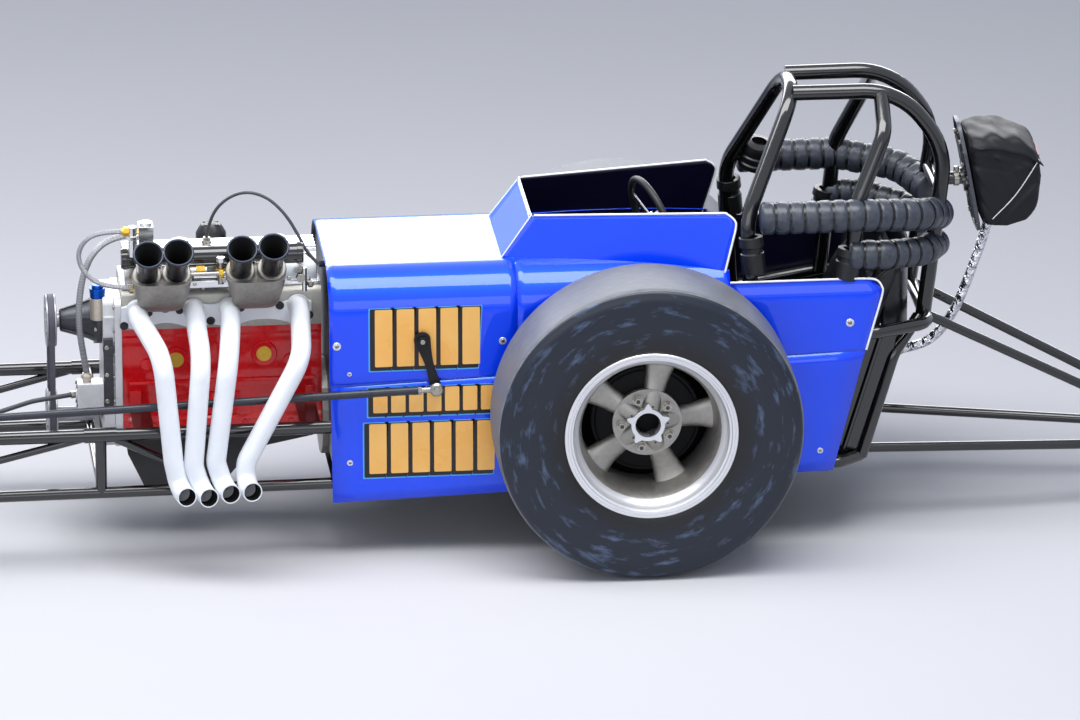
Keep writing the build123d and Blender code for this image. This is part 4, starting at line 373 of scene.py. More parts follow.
front = np.linspace(OPENING_X, FRONT_X, 24)
beside = np.linspace(COCKPIT_X, OPENING_X, 30)
opening = 0.15 + (OPENING_X - beside) / (OPENING_X - COCKPIT_X) * 0.078
foot = HOOD_Z - BEND
hood = patch(front, seam_z(front) - foot, np.full(len(front), BEND_RUN + HALF - BEND), 64)
shoulder = patch(beside, seam_z(beside) - foot, run_to(opening), 48)
tail_edge = np.array([(TAIL_X, SEAM_TAIL_Z), (-0.588, 0.64), (-0.562, 0.666)])
climb = np.linspace(0, 1, 40)[None, :]
tail_x, tail_z = (np.interp(climb, [0, 0.86, 1], tail_edge[:, k]) for k in (0, 1))
lead_z = seam_z(COCKPIT_X) + climb * (SILL_Z - seam_z(COCKPIT_X))
back = np.linspace(0, 1, 16)[:, None]
tail_z = tail_z + back * (lead_z - tail_z)
rise = np.where(tail_z < foot, tail_z - foot, BEND * np.arcsin(np.clip((tail_z - foot) / BEND, 0, 1)))
tail = wrap(tail_x + back * (COCKPIT_X - tail_x), rise)
upper = mirrored([skin(car(surface), around=False) for surface in (hood, shoulder, tail)])
thicken(build("body_sheet", upper, [BLUE_PAINT, NAVY_SHADE_PAINT], replaces="body_shell", sheet=True), SHEET,
        inside=1)

# Each edge of the lower sheet is the (x, z) of its front end and of its rear end.
low_edge = np.array([(0.749, 0.14), (-0.472, 0.178)])
high_edge = np.array([(0.753, 0.4355), (-0.548, 0.4845)])
aft = np.linspace(0, 1, 20)[:, None]
along_low, along_high = (edge[0] + aft * (edge[1] - edge[0]) for edge in (low_edge, high_edge))
share = np.linspace(0, 1, 12)[None, :, None]
panel = along_low[:, None] + share * (along_high - along_low)[:, None]
panel = np.stack([panel[..., 0], np.full(panel.shape[:2], HALF), panel[..., 1]], -1)
thicken(build("lower_side_sheets", mirrored([skin(car(panel[::-1]), around=False)]),
              [BLUE_PAINT, NAVY_SHADE_PAINT], replaces="lower_side_panels", sheet=True), SHEET, inside=1)

# The slicks. Moulded black rubber: a flat tread scrubbed pale by the track and painted paler still as the
# light from above, a sharp shoulder, and sides that bulge a little and tuck in under the wheel's lip.
TYRE_R, TYRE_MIDDLE = 0.372, 0.3975
REAR_HUB = (0, 0, TYRE_R)
HANDS = (("left", 1), ("right", -1))
ROUND = 160  # steps round a tyre or a rim


def lathe(profile, centre, steps=128, closed=False):
    """A profile of (y, radius) turned round an axle along Y."""
    profile = np.asarray(profile, float)
    turn = whole_turn(steps)
    y = np.broadcast_to(profile[:, None, 0], (len(profile), steps))
    x, z = profile[:, None, 1] * np.sin(turn), profile[:, None, 1] * np.cos(turn)
    return skin(car(np.stack([x, y, z], -1) + centre), along=closed)


def smooth_path(points, count=8):
    """A rounded line through the points: Catmull and Rom's cubic between each two."""
    points = np.asarray(points, float)
    padded = np.concatenate([2 * points[:1] - points[1:2], points, 2 * points[-1:] - points[-2:-1]])
    t = np.linspace(0, 1, count, endpoint=False)[:, None]
    runs = []
    for a, b, c, d in zip(padded, padded[1:], padded[2:], padded[3:]):
        runs.append(0.5 * (2 * b + (c - a) * t + (2 * a - 5 * b + 4 * c - d) * t ** 2
                           + (3 * b - a - 3 * c + d) * t ** 3))
    return np.concatenate(runs + [points[-1:]])


def rim_shaded_scuffed_sidewall():
    """Black rubber with painted shade, darker towards the rim, and pale scuffs that lie along the circle
    away
    from the rim: their noise is read at the point's direction from the axle and its radius, p / |p| and
    |p|."""
    material = bpy.data.materials.new("rim_shaded_scuffed_sidewall_rubber")
    tree = empty_tree(material)
    place = add_node(tree, "TexCoord").outputs["Object"]
    place = add_node(tree, "VectorMath", {0: place, 1: (AXLE_X, 0, TYRE_R)}, operation="SUBTRACT")
    place = add_node(tree, "VectorMath", {0: place.outputs["Vector"], 1: (1, 0, 1)},
                     operation="MULTIPLY").outputs["Vector"]
    radius = add_node(tree, "VectorMath", {0: place}, operation="LENGTH").outputs["Value"]
    way = add_node(tree, "VectorMath", {0: place}, operation="NORMALIZE").outputs["Vector"]
    higher = add_node(tree, "CombineXYZ", {"Y": radius}).outputs["Vector"]
    higher = add_node(tree, "VectorMath", {0: higher, "Scale": 11.0}, operation="SCALE")
    polar = add_node(tree, "VectorMath", {0: way, 1: higher.outputs["Vector"]}, operation="ADD")
    smears = add_node(tree, "TexNoise",
                      {"Vector": polar.outputs["Vector"], "Scale": 4.2, "Detail": 6.0, "Roughness": 0.6})
    scuff = add_node(tree, "MapRange", {"Value": smears.outputs["Fac"], "From Min": 0.55, "From Max": 0.85})
    # The share rises away from the rim: it sets both the painted shade and where scuffs may lie.
    rim_shade_and_wear = add_node(tree, "MapRange", {"Value": radius, "From Min": 0.205, "From Max": 0.285},
                    interpolation_type="SMOOTHSTEP")
    amount = add_node(tree, "Math", {0: scuff.outputs["Result"], 1: rim_shade_and_wear.outputs["Result"]},
                      operation="MULTIPLY")
    # Painted shade: the rubber darkens towards the rim, where the sidewall curves in.
    base = blend(tree, rim_shade_and_wear.outputs["Result"], "#020203", "#101a2a")
    colour = blend(tree, amount.outputs["Value"], base, "#6b80a6")
    end_in_shader(tree, {"Base Color": colour, "Roughness": 0.38})
    return material


SIDEWALL = rim_shaded_scuffed_sidewall()
# The tread is paler than the sides: partly scrubbed rubber, partly painted light from above.
TREAD = finish("scrubbed_tread_with_painted_light", ("#34363d", "#8b8e97"), rough=(0.45, 0.65), grain=0.03, bump=0.0003,
               stretch=(1, 8, 1))
side = smooth_path([(0.088, 0.1905), (0.101, 0.205), (0.108, 0.23), (0.1125, 0.285), (0.1115, 0.325),
                    (0.1095, 0.347), (0.104, 0.361), (0.0985, 0.3665)])
crown = smooth_path([(0.0985, 0.3665), (0.092, 0.37), (0.08, 0.3712), (0.045, 0.372), (0.0, 0.372)])
inner = np.array([(-0.088, 0.1905), (0.088, 0.1905)])
for name, hand in HANDS:
    parts = []
    for half, line, shade in ((1, side, 0), (1, crown, 1), (-1, side, 0), (-1, crown, 1), (1, inner, 0)):
        placed = np.stack([hand * (TYRE_MIDDLE + half * line[:, 0]), line[:, 1]], -1)
        parts.append((*lathe(placed, REAR_HUB, ROUND), shade))
    build("slick_" + name, parts, [SIDEWALL, TREAD], "rear_" + name, "rear_tyre_" + name)

# The rear wheels. Cast aluminium: the spokes are left as they came from the sand, and the lip and
# the star round the bore are turned bright. Five nuts hold each wheel to its hub.
CAST_ALUMINIUM = finish("sand_cast_aluminium", ("#8d8a85", "#b5b2ac"), 0.8, (0.38, 0.52), 0.012, 0.0003)
TURNED_ALUMINIUM = finish("turned_aluminium", ("#dcdde1", "#ececef"), 0.55, (0.3, 0.34), 0.2)
NUT_STEEL = finish("plated_steel", ("#8e8b84", "#b9b6ad"), 1.0, (0.2, 0.32), 0.004)
RIM_OUT = 0.506
LIP_ROWS = 14  # of the rim's outline, turned bright
SPOKES, FIRST_SPOKE = 5, math.radians(-14)
BORE, SCREW_CIRCLE, NUT_CIRCLE = 0.031, 0.0475, 0.0625


def spin(parts, turn, centre):
    """The parts turned about an axle along Y through the centre."""
    c, s = math.cos(turn), math.sin(turn)
    matrix = np.array([(c, 0, -s), (0, 1, 0), (s, 0, c)])
    return [((points - centre) @ matrix + centre, faces, *rest) for points, faces, *rest in parts]


def spoke_shape(reach, half_width, face, depth, centre, flat=0.75, across=25):
    """A spoke along Z: at each radius a rounded bar, a super-ellipse, of its own width and face."""
    turn = whole_turn(across)
    c, s = np.cos(turn), np.sin(turn)
    c, s = np.sign(c) * np.abs(c) ** flat, np.sign(s) * np.abs(s) ** 0.9
    x = half_width[:, None] * c
    y = face[:, None] - depth[:, None] / 2 + depth[:, None] / 2 * s
    z = np.broadcast_to(reach[:, None], x.shape)
    return skin(car(np.stack([x, y, z], -1) + centre), ends=True)


def disc_ring(radius, sides):
    """The corners of a regular polygon, or of an outline whose radius varies, as (x, z) points."""
    turn = whole_turn(sides)
    return np.stack([radius * np.sin(turn), radius * np.cos(turn)], -1)


def holed(outer, inner, y_low, y_high, centre=(0, 0, 0)):
    """A plate with a hole, whose two rings have as many (x, z) points."""
    rings = [(outer, y_low), (outer, y_high), (inner, y_high), (inner, y_low)]
    layers = [np.stack([ring[:, 0], np.full(len(ring), y), ring[:, 1]], -1) for ring, y in rings]
    return skin(car(np.array(layers) + centre), along=True)


rim_line = np.array([
    (0.4975, 0.2095), (0.5045, 0.21), (RIM_OUT, 0.2085), (RIM_OUT, 0.204), (0.504, 0.2032),
    (0.504, 0.202), (0.5055, 0.2012), (0.505, 0.1965), (0.502, 0.195), (0.4985, 0.194),
    (0.4975, 0.19), (0.493, 0.1885), (0.486, 0.186), (0.48, 0.181), (0.47, 0.173),
    (0.455, 0.166), (0.43, 0.162), (0.4, 0.1605), (0.33, 0.1605), (0.305, 0.17),
    (0.292, 0.185), (0.289, 0.206), (0.2935, 0.207), (0.2975, 0.189), (0.309, 0.176),
    (0.333, 0.165), (0.43, 0.166), (0.457, 0.17), (0.476, 0.18), (0.483, 0.189),
    (0.493, 0.1905), (0.4945, 0.206)])
reach = np.linspace(0.03, 0.172, 24)
share = (reach - reach[0]) / (reach[-1] - reach[0])
spoke = spoke_shape(reach, 0.0235 + 0.019 * share ** 2 + 0.006 * share ** 9,
                    0.4235 - 0.03 * np.sin(share * math.pi * 0.62) + 0.012 * share ** 6,
                    0.04 - 0.006 * share, REAR_HUB)
ROSE_SIDES = 100
star_point = np.clip(np.cos(whole_turn(ROSE_SIDES) * SPOKES), 0, 1) ** 3
star = disc_ring(0.0405 + 0.0135 * star_point, ROSE_SIDES)
bore = disc_ring(BORE, ROSE_SIDES)
axle = car(REAR_HUB)
screw = prism(disc_ring(0.0028, 12) + (0, SCREW_CIRCLE), 0.4265, 0.4278, REAR_HUB)
nut = [(*prism(ring + (0, NUT_CIRCLE), y_low, y_high, REAR_HUB), shade)
       for ring, y_low, y_high, shade in ((disc_ring(0.0125, 24), 0.404, 0.409, 2),
                                          (disc_ring(0.0098, 6), 0.408, 0.421, 2),
                                          (disc_ring(0.005, 16), 0.4205, 0.4215, 3))]
for name, hand in HANDS:
    points, faces = lathe(rim_line, REAR_HUB, ROUND, closed=True)
    # Behind the bright lip the barrel takes the darker cast finish, partly as painted shade inside the rim.
    parts = [(points, faces[:LIP_ROWS * ROUND], 1), (points, faces[LIP_ROWS * ROUND:], 0),
             holed(disc_ring(0.084, ROSE_SIDES), bore, 0.392, 0.405, REAR_HUB),
             (*holed(star, bore, 0.4, 0.4275, REAR_HUB), 1)]
    for step in whole_turn(SPOKES, FIRST_SPOKE):
        parts += spin([spoke, (*screw, 3)], step, axle)
        parts += spin(nut, step + math.pi / SPOKES, axle)
    parts = [(points * (1, hand, 1), *rest) for points, *rest in parts]
    build("cast_wheel_" + name, parts, [CAST_ALUMINIUM, TURNED_ALUMINIUM, NUT_STEEL, BLACK_ENAMEL],
          "rear_" + name, "rear_wheel_" + name, sharp=40)

# The engine block. Cast iron, painted a gloss red over the rough sand-cast skin. Two brass core
# plugs are pressed into its side, and two ears each side bolt it to the upper rails.
RED_ENAMEL = finish("red_enamel_on_iron", ("#c8000b", "#f00813"), rough=(0.2, 0.34), grain=0.03,
                    bump=0.0009, **{"Specular IOR Level": 0.25, "Coat Weight": 0.6, "Coat Roughness": 0.06})
BRASS = finish("brass", ("#c99a2c", "#f0c95c"), 0.8, (0.3, 0.42), 0.004)
BLOCK_X = (0.76, 1.244)


def bar_along_x(section, x_low, x_high):
    """A plate or bar along X, whose section is a ring of (y, z) points."""
    ring = np.asarray(section, float)
    layers = [np.stack([np.full(len(ring), x), ring[:, 0], ring[:, 1]], -1) for x in (x_low, x_high)]
    return skin(car(np.array(layers)), ends=True)


def box_part(low, high):
    """A box between two corners."""
    (xa, ya, za), (xb, yb, zb) = low, high
    return bar_along_x([(ya, za), (yb, za), (yb, zb), (ya, zb)], xa, xb)


def ends_of(place):
    """The two ends of a straight piece. Its place is a pair of points, or one point of which one
    number is a pair: the values at both ends."""
    if len(place) == 2:
        return place
    return [[number[end] if isinstance(number, tuple) else number for number in place] for end in (0, 1)]


def stub(place, radius, radius_end=None, sides=24):
    """A straight round piece, whose radius may change from one end to the other."""
    return tube(ends_of(place), [radius, radius if radius_end is None else radius_end], sides=sides)


def hexagon(place, radius):
    """A bolt's head or a nut."""
    return stub(place, radius, sides=6)


def in_slot(number, pieces):
    """The pieces, each with the number of its material."""
    return [(*piece, number) for piece in pieces]


def whole(half):
    """A ring or a row of points from its left half, each of y and a height or a radius."""
    return half + [(-y, up) for y, up in reversed(half)]


half = [(0.095, 0.283), (0.095, 0.308), (0.086, 0.316), (0.084, 0.372), (0.09, 0.384), (0.09, 0.52),
        (0.095, 0.528), (0.095, 0.5435)]
parts = [bar_along_x(whole(half), *BLOCK_X)]
relief = [box_part((x - 0.008, 0.088, 0.384), (x + 0.008, 0.0945, 0.528)) for x in (1.006, 1.052)]
relief += [box_part((0.775, 0.084, 0.4), (1.228, 0.0935, 0.408)),
           box_part((0.775, 0.084, 0.33), (0.8, 0.0935, 0.384)),
           box_part((1.2, 0.084, 0.33), (1.228, 0.0935, 0.384)),
           box_part((0.96, 0.084, 0.316), (1.085, 0.09, 0.372))]
CORE_PLUGS = ((1.114, 0.462), (0.9, 0.47))
relief += [stub((x, (0.086, 0.0945), z), 0.034, 0.03, 32) for x, z in CORE_PLUGS]
relief += [stub((x, (0.086, 0.0945), 0.452), 0.016, 0.014, 24) for x in (0.838, 0.975, 1.185)]
parts += mirrored(relief)
for x, z in CORE_PLUGS:
    parts += in_slot(1, mirrored([stub((x, (0.094, 0.0962), z), 0.0195, 0.0185),
                                  stub((x, (0.096, 0.097), z), 0.006, 0.005)]))
for x in (0.8, 1.204):
    for side in (1, -1):
        low, high = sorted((side * 0.085, side * 0.229))
        parts.append((*box_part((x - 0.025, low, 0.322), (x + 0.025, high, 0.338)), 2))
PAN_BOLTS = np.linspace(0.78, 1.226, 9)
parts += mirrored([hexagon((x, (0.094, 0.1), 0.2955), 0.0075) for x in PAN_BOLTS])
build("red_block", parts, [RED_ENAMEL, BRASS, BLACK_ENAMEL], replaces="engine_block", bevel=0.003)

# The oil pan. Folded and welded steel sheet in satin black, deep at the front, hung under the
# block from a row of small bolts.
SATIN_BLACK = finish("satin_black_steel", ("#0b0b0d", "#151518"), rough=(0.3, 0.45), grain=0.01,
                     bump=0.0001)


def rounded(points, radius, steps=6):
    """A closed outline of points whose corners are arcs of the radius."""
    points = np.asarray(points, float)
    out = []
    for before, corner, after in zip(np.roll(points, 1, 0), points, np.roll(points, -1, 0)):
        a, b = before - corner, after - corner
        longest = 0.45 * min(np.linalg.norm(a), np.linalg.norm(b))
        a, b = unit(a), unit(b)
        cut = min(radius / math.tan(math.acos(np.clip(a @ b, -1, 1)) / 2), longest)
        t = np.linspace(0, 1, steps)[:, None]
        out.append((1 - t) ** 2 * (corner + a * cut) + 2 * t * (1 - t) * corner
                   + t ** 2 * (corner + b * cut))
    return np.concatenate(out)


pan = rounded([(0.772, 0.283), (1.238, 0.283), (1.234, 0.221), (1.191, 0.128), (1.01, 0.128), (0.93, 0.224),
               (0.772, 0.255)], 0.022)
parts = [prism(pan, -0.088, 0.088), box_part((0.766, -0.0945, 0.2795), (1.24, 0.0945, 0.283))]
parts += mirrored([stub((x, 0.0905, (0.2745, 0.28)), 0.0055, sides=6) for x in PAN_BOLTS])
parts.append(stub((1.1, 0, (0.122, 0.129)), 0.014, sides=6))
build("black_oil_pan", parts, SATIN_BLACK, replaces="oil_pan", bevel=0.006)

# The timing cover and what is bolted to the engine's front. Cast aluminium, some of it painted
# silver, with ribs, a row of bolts and an adjuster.
SILVER_CASTING = finish("silver_painted_casting", ("#c9cacc", "#e6e6e8"), 0.35, (0.3, 0.45), 0.01, 0.0002)
DARK_CASTING = finish("dark_grey_casting", ("#3a3b3f", "#5a5b60"), 0.7, (0.35, 0.5), 0.01, 0.0002)
cover = rounded([(-0.06, 0.232), (0.06, 0.232), (0.084, 0.25), (0.1, 0.3), (0.092, 0.606), (0.078, 0.62),
                 (-0.078, 0.62), (-0.092, 0.606), (-0.1, 0.3), (-0.084, 0.25)], 0.012)
parts = [bar_along_x(cover, 1.2443, 1.262), bar_along_x(cover * (0.86, 1), 1.262, 1.2895)]
for z in (0.33, 0.39, 0.45, 0.51, 0.57):
    parts.append(box_part((1.262, -0.088, z), (1.2885, 0.088, z + 0.006)))
    for y in (0.0895, -0.0895):
        parts.append((*hexagon(((1.262, 1.2665), y, z + 0.03), 0.006), 2))
parts += in_slot(1, [box_part((1.266, 0.079, 0.345), (1.2895, 0.0925, 0.52)),
                     box_part((1.264, 0.06, 0.48), (1.2895, 0.095, 0.5))])
parts += [(*stub((1.282, (0.0925, 0.0985), z), 0.0065, sides=6), 2) for z in (0.362, 0.43, 0.5)]
parts.append(stub(((1.2445, 1.2898), 0, 0.3), 0.05, 0.044, 40))
build("timing_case", parts, [SILVER_CASTING, DARK_CASTING, NUT_STEEL], replaces="timing_cover",
      bevel=0.0015)

# The cylinder head and its cover. Both are cast aluminium: the head dull, the cover polished on
# the tops of its long fins, with two black filler caps.
head_half = [(0.0995, 0.5445), (0.0995, 0.624), (0.0955, 0.632), (0.086, 0.6398)]
parts = [bar_along_x(whole(head_half), *BLOCK_X)]
parts += [box_part((x - 0.006, -0.1, 0.547), (x + 0.006, 0.1, 0.566)) for x in np.linspace(0.775, 1.229, 8)]
parts += [(*stub((x, 0.086, (0.6395, 0.6475)), 0.008, sides=6), 1) for x in np.linspace(0.785, 1.22, 6)]
parts.append(stub((0.9, (-0.099, -0.099396), 0.59), 0.02))
build("alloy_head", parts, [CAST_ALUMINIUM, NUT_STEEL], replaces="cylinder_head", bevel=0.0015)
POLISHED = finish("polished_aluminium", ("#cfd0d2", "#f2f2f3"), 0.95, (0.1, 0.24), 0.03, 0.0001)
foot_line = [(-0.08, 0.64), (0.08, 0.64), (0.08, 0.648), (0.07, 0.648), (0.064, 0.7), (0.058, 0.714),
             (0.046, 0.7195)]
fins = [(y + side * 0.0045, z) for y in (0.036, 0.012, -0.012, -0.036)
        for side, z in ((1, 0.7195), (0.8, 0.725), (-0.8, 0.725), (-1, 0.7195))]
section = foot_line + fins + [(-y, z) for y, z in reversed(foot_line[2:])]
parts = [bar_along_x(section, 0.768, 1.236)]
parts.append(bar_along_x([(0.081, 0.6402), (0.081, 0.6485), (-0.081, 0.6485), (-0.081, 0.6402)], 0.7605,
                         1.2435))
for x in (0.86, 1.096):
    parts += [stub((x, 0, (0.716, 0.727)), 0.027, 0.026, 40),
              (*stub((x, 0, (0.727, 0.7375)), 0.024, 0.022, 40), 1)]
parts += [(*stub((x, y, (0.648, 0.6545)), 0.0065, sides=6), 2) for x in np.linspace(0.79, 1.214, 5)
          for y in (0.0755, -0.0755)]
build("finned_rocker_cover", parts, [POLISHED, BLACK_ENAMEL, NUT_STEEL], replaces="rocker_cover",
      bevel=0.0012)

# The exhaust. Four mandrel-bent mild steel pipes of 48 mm, welded to a thick flange and coated in
# smooth white ceramic. Each ends in an open mouth turned out from the car.
WHITE_CERAMIC = finish("white_ceramic_coat", ("#dfe3ea", "#eff2f6"), rough=(0.28, 0.42), grain=0.05,
                       bump=0.0001)
# Matte near-black for the insides of bores: soot in the exhaust, and painted shade down every bore.
SOOT_AND_DEPTH_SHADE = finish("soot_and_painted_depth_shade", ("#050505", "#0a0a0a"), rough=(0.9, 0.95), grain=0.01)
PIPES = (
    ((1.208, 0.6), (1.163, 0.336, 0.553), (1.141, 0.358, 0.297), (1.127, 0.36, 0.224),
     (1.113, 0.416, 0.226)),
    ((1.072, 0.598), (1.069, 0.336, 0.549), (1.093, 0.358, 0.285), (1.074, 0.36, 0.22),
     (1.06, 0.416, 0.222)),
    ((0.985, 0.598), (1.003, 0.336, 0.547), (1.039, 0.358, 0.293), (1.021, 0.36, 0.228),
     (1.007, 0.416, 0.23)),
    ((0.818, 0.6), (0.827, 0.326, 0.539), (0.966, 0.358, 0.29), (0.968, 0.36, 0.23),
     (0.955, 0.416, 0.233)),
)
PIPE_R = 0.024
MOUTH_SIDES = 32


def pipe_with_mouth(points, radii, radius, wall, depth):
    """A tube whose far end is open: the wall turns in at the mouth and runs back inside."""
    path = bent(points, radii)
    way = unit(path[-1] - path[-2])
    inner = path[-1] - way * depth
    outside = tube(points, radius, radii, MOUTH_SIDES, ends=False)
    line = np.array([path[-1], path[-1], inner, inner])
    across = unit(np.cross(way, (0, 0, 1.0)))
    above = np.cross(across, way)
    turn = whole_turn(MOUTH_SIDES)
    ring = np.cos(turn)[:, None] * across + np.sin(turn)[:, None] * above
    size = np.array([radius, radius - wall, radius - wall, 0.0005])[:, None, None]
    return outside, skin(car(line[:, None] + size * ring))


parts = []
for (x, z), *rest in PIPES:
    outside, inside = pipe_with_mouth([(x, 0.106, z), (x, 0.175, z), *rest], [0.06, 0.075, 0.055, 0.04],
                                      PIPE_R, 0.003, 0.06)
    # Inside the mouth the pipe is matte near-black: partly soot, partly painted shade down the bore.
    parts += [outside, (inside[0], inside[1][:MOUTH_SIDES]), (inside[0], inside[1][MOUTH_SIDES:], 1),
              stub((x, (0.1118, 0.118), z), 0.0275, 0.0248, 32)]
edge_x = np.linspace(0.785, 1.246, 90)
wave = sum(0.016 * np.exp(-((edge_x - port_x) / 0.04) ** 2) for (port_x, _), *_ in PIPES)
top = np.stack([edge_x, 0.599 + 0.9 * wave - 0.01 * np.exp(-((edge_x - 1.14) / 0.02) ** 2)], -1)
bottom = np.stack([edge_x, 0.566 - wave], -1)
parts.append(prism(np.concatenate([bottom, top[::-1]]), 0.1003, 0.112))
for x, z in ((1.24, 0.56), (1.181, 0.592), (1.105, 0.596), (1.03, 0.566), (0.957, 0.597), (0.862, 0.599),
             (0.791, 0.572)):
    parts += [(*hexagon((x, (0.1115, 0.1195), z), 0.0085), 2), (*stub((x, (0.1115, 0.1135), z), 0.0105), 2)]
build("white_header", parts, [WHITE_CERAMIC, SOOT_AND_DEPTH_SHADE, SATIN_BLACK], replaces="exhaust_header", bevel=0.0008)

# The injector castings and their ram tubes. Each casting serves two ports and is left as cast, with
# a machined rim round each neck. The tubes are spun aluminium anodised black, with a rolled bell.
INJECTOR_CASTING = finish("sand_cast_injector_body", ("#78746e", "#a6a29c"), 0.6, (0.42, 0.58), 0.01,
                          0.0004)
BLACK_ANODISED = finish("black_anodised_aluminium", ("#0a0c11", "#161a22"), 0.5, (0.14, 0.24), 0.02)
# The rolled rim is painted a paler bluish grey than the tube.
BELL_RIM = finish("pale_bell_rim", ("#10141c", "#3a4252"), 0.5, (0.25, 0.4), 0.01)
AXIS = np.array([0.0, 0.669, 0.743])
MOUTHS = ((1.187, 0.24, 0.786), (1.115, 0.24, 0.789), (0.961, 0.24, 0.792), (0.885, 0.24, 0.795))
STACK = 0.116
NECK_R = 0.0265


def around_axis(foot, way, profile, sides=48, flat=None):
    """A profile of (distance along the way, radius) turned about it. Where flat is given, the
    shape is cut off square at that distance to one side, as beside a neighbour."""
    profile = np.asarray(profile, float)
    way = unit(np.asarray(way, float))
    side = unit(np.cross(way, (0, 0, 1.0) if abs(way[2]) < 0.9 else (0, 1.0, 0)))
    above = np.cross(side, way)
    turn = whole_turn(sides)
    c, s = profile[:, None, 1] * np.cos(turn), profile[:, None, 1] * np.sin(turn)
    grid = (np.asarray(foot, float) + profile[:, None, :1] * way + c[..., None] * side
            + s[..., None] * above)
    if flat is not None:
        sign, limit = flat
        grid[..., 0] = np.where(sign * (grid[..., 0] - foot[0]) > limit, foot[0] + sign * limit,
                                grid[..., 0])
    return skin(car(grid))


bell_t = np.linspace(0, 1, 16)
bell = [(0.0, NECK_R), (0.045, NECK_R)]
bell += [(0.045 + 0.066 * t, NECK_R + 0.009 * t ** 1.3) for t in bell_t[1:]]
rim_turn = np.linspace(-0.6, math.pi, 10)
rim_curve = [(STACK - 0.0034 + 0.0034 * math.sin(a), 0.0348 + 0.0034 * math.cos(a)) for a in rim_turn]
inside = [(STACK - 0.0045, 0.0316), (STACK - 0.018, 0.0286), (STACK - 0.045, 0.0248), (0.012, 0.024),
          (0.012, 0.0002)]
stack_parts, cast_parts = [], []
for k, mouth in enumerate(MOUTHS):
    foot_at = np.array(mouth) - STACK * AXIS
    flat = (-1 if k % 2 == 0 else 1, 0.0354 if k < 2 else 0.0376)
    # Each bore's inside and the floor that closes it are matte near-black, painted shade where the bore
    # runs on.
    stack_parts += [around_axis(foot_at, AXIS, bell, flat=flat),
                    (*around_axis(foot_at, AXIS, rim_curve, flat=flat), 1),
                    (*around_axis(foot_at, AXIS, inside, flat=flat), 2)]
    cast_parts.append(around_axis(foot_at, AXIS, [(-0.02, 0.0345), (0.004, 0.036), (0.01, 0.035),
                                                  (0.012, 0.0325), (0.012, 0.0268)]))
build("ram_tubes", stack_parts, [BLACK_ANODISED, BELL_RIM, SOOT_AND_DEPTH_SHADE], replaces="injector_stacks")
# Each casting's rows, from the head outwards: y, z, half its length, half its thickness.
CASTING_ROWS = ((0.1005, 0.612, 0.048, 0.006), (0.128, 0.627, 0.056, 0.014), (0.148, 0.648, 0.06, 0.024),
                (0.16, 0.676, 0.067, 0.03), (0.165, 0.7, 0.072, 0.034))
rows = smooth_path(CASTING_ROWS, 6)
turn = whole_turn(40)
c = np.sign(np.cos(turn)) * np.abs(np.cos(turn)) ** 0.45
s = np.sign(np.sin(turn)) * np.abs(np.sin(turn)) ** 0.6
ahead = headings(rows[:, :2])
thick = (0.016 + rows[:, 3, None] * 0.75) * s
for middle in (1.151, 0.923):
    grid = np.stack([middle + rows[:, 2, None] * c, rows[:, 0, None] + ahead[:, 1, None] * thick,
                     rows[:, 1, None] - ahead[:, 0, None] * thick], -1)
    cast_parts.append(skin(car(grid), ends=True))
    cast_parts.append(bar_along_x([(0.1003, 0.603), (0.1003, 0.668), (0.11, 0.668), (0.11, 0.603)],
                                  middle - 0.06, middle + 0.06))
    bolt = np.array([middle - 0.012, 0.152, 0.634])
    cast_parts += [(*stub((bolt - (0, 0.012, 0.004), bolt + (0, 0.016, 0.006)), 0.0048, sides=12), 1),
                   (*stub((bolt + (0, 0.002, 0.001), bolt + (0, 0.009, 0.0035)), 0.0085, sides=6), 1),
                   stub((bolt - (0, 0.006, 0.002), bolt + (0, 0.003, 0.001)), 0.014)]
for mouth_a, mouth_b in (MOUTHS[:2], MOUTHS[2:]):
    spot = (np.array(mouth_a) + mouth_b) / 2 - STACK * AXIS
    cast_parts += in_slot(1, [hexagon((spot + (dx, 0.02, -0.014), spot + (dx * 1.12, 0.02, -0.014)), 0.006)
                              for dx in (0.074, -0.074)])
cast_parts.append((*stub(((1.205, 1.225), 0.14, 0.668), 0.009, sides=6), 2))
cast_parts.append((*stub(((1.214, 1.2205), 0.14, 0.668), 0.0105, sides=6), 1))
build("injector_castings", cast_parts, [INJECTOR_CASTING, NUT_STEEL, BRASS], replaces="injector_bodies",
      bevel=0.0008)

# The black breather tube behind the ram tubes, and the fuel and linkage pieces between them:
# a pale cast rail, brass valves, and the tee, valve and stop that the hoses and cable end in.
parts = [stub(((0.803, 1.245), 0.088, 0.724), 0.025, sides=40)]
parts += [stub(((x, x + 0.012), 0.088, 0.724), 0.0268, sides=40) for x in (0.806, 1.229)]
parts += [(*box_part((0.985, 0.098, 0.655), (1.085, 0.124, 0.672)), 1),
          (*box_part((0.99, 0.098, 0.676), (1.07, 0.112, 0.69)), 1),
          (*tube([(0.965, 0.15, 0.7), (1.11, 0.15, 0.7)], 0.005), 3),
          (*hexagon(((1.001, 1.012), 0.15, 0.7), 0.01), 2),
          (*stub((1.006, 0.135, (0.668, 0.735)), 0.0075, sides=16), 3),
          (*hexagon((1.006, 0.135, (0.69, 0.706)), 0.012), 2),
          (*hexagon((1.006, 0.135, (0.724, 0.736)), 0.011), 1),
          (*hexagon(((1.045, 1.066), 0.14, 0.708), 0.01), 2),
          (*stub(((1.04, 1.08), 0.14, 0.708), 0.006, sides=16), 1),
          (*hexagon((0.812, (0.12, 0.136), 0.675), 0.012), 3),
          (*stub((0.803, 0.128, (0.64, 0.7)), 0.006, sides=16), 1)]
parts += [(*stub(((x, 0.118, z), (x, 0.12, z + 0.05)), 0.008, sides=16), 1)
          for x, z in ((1.143, 0.668), (0.917, 0.668))]
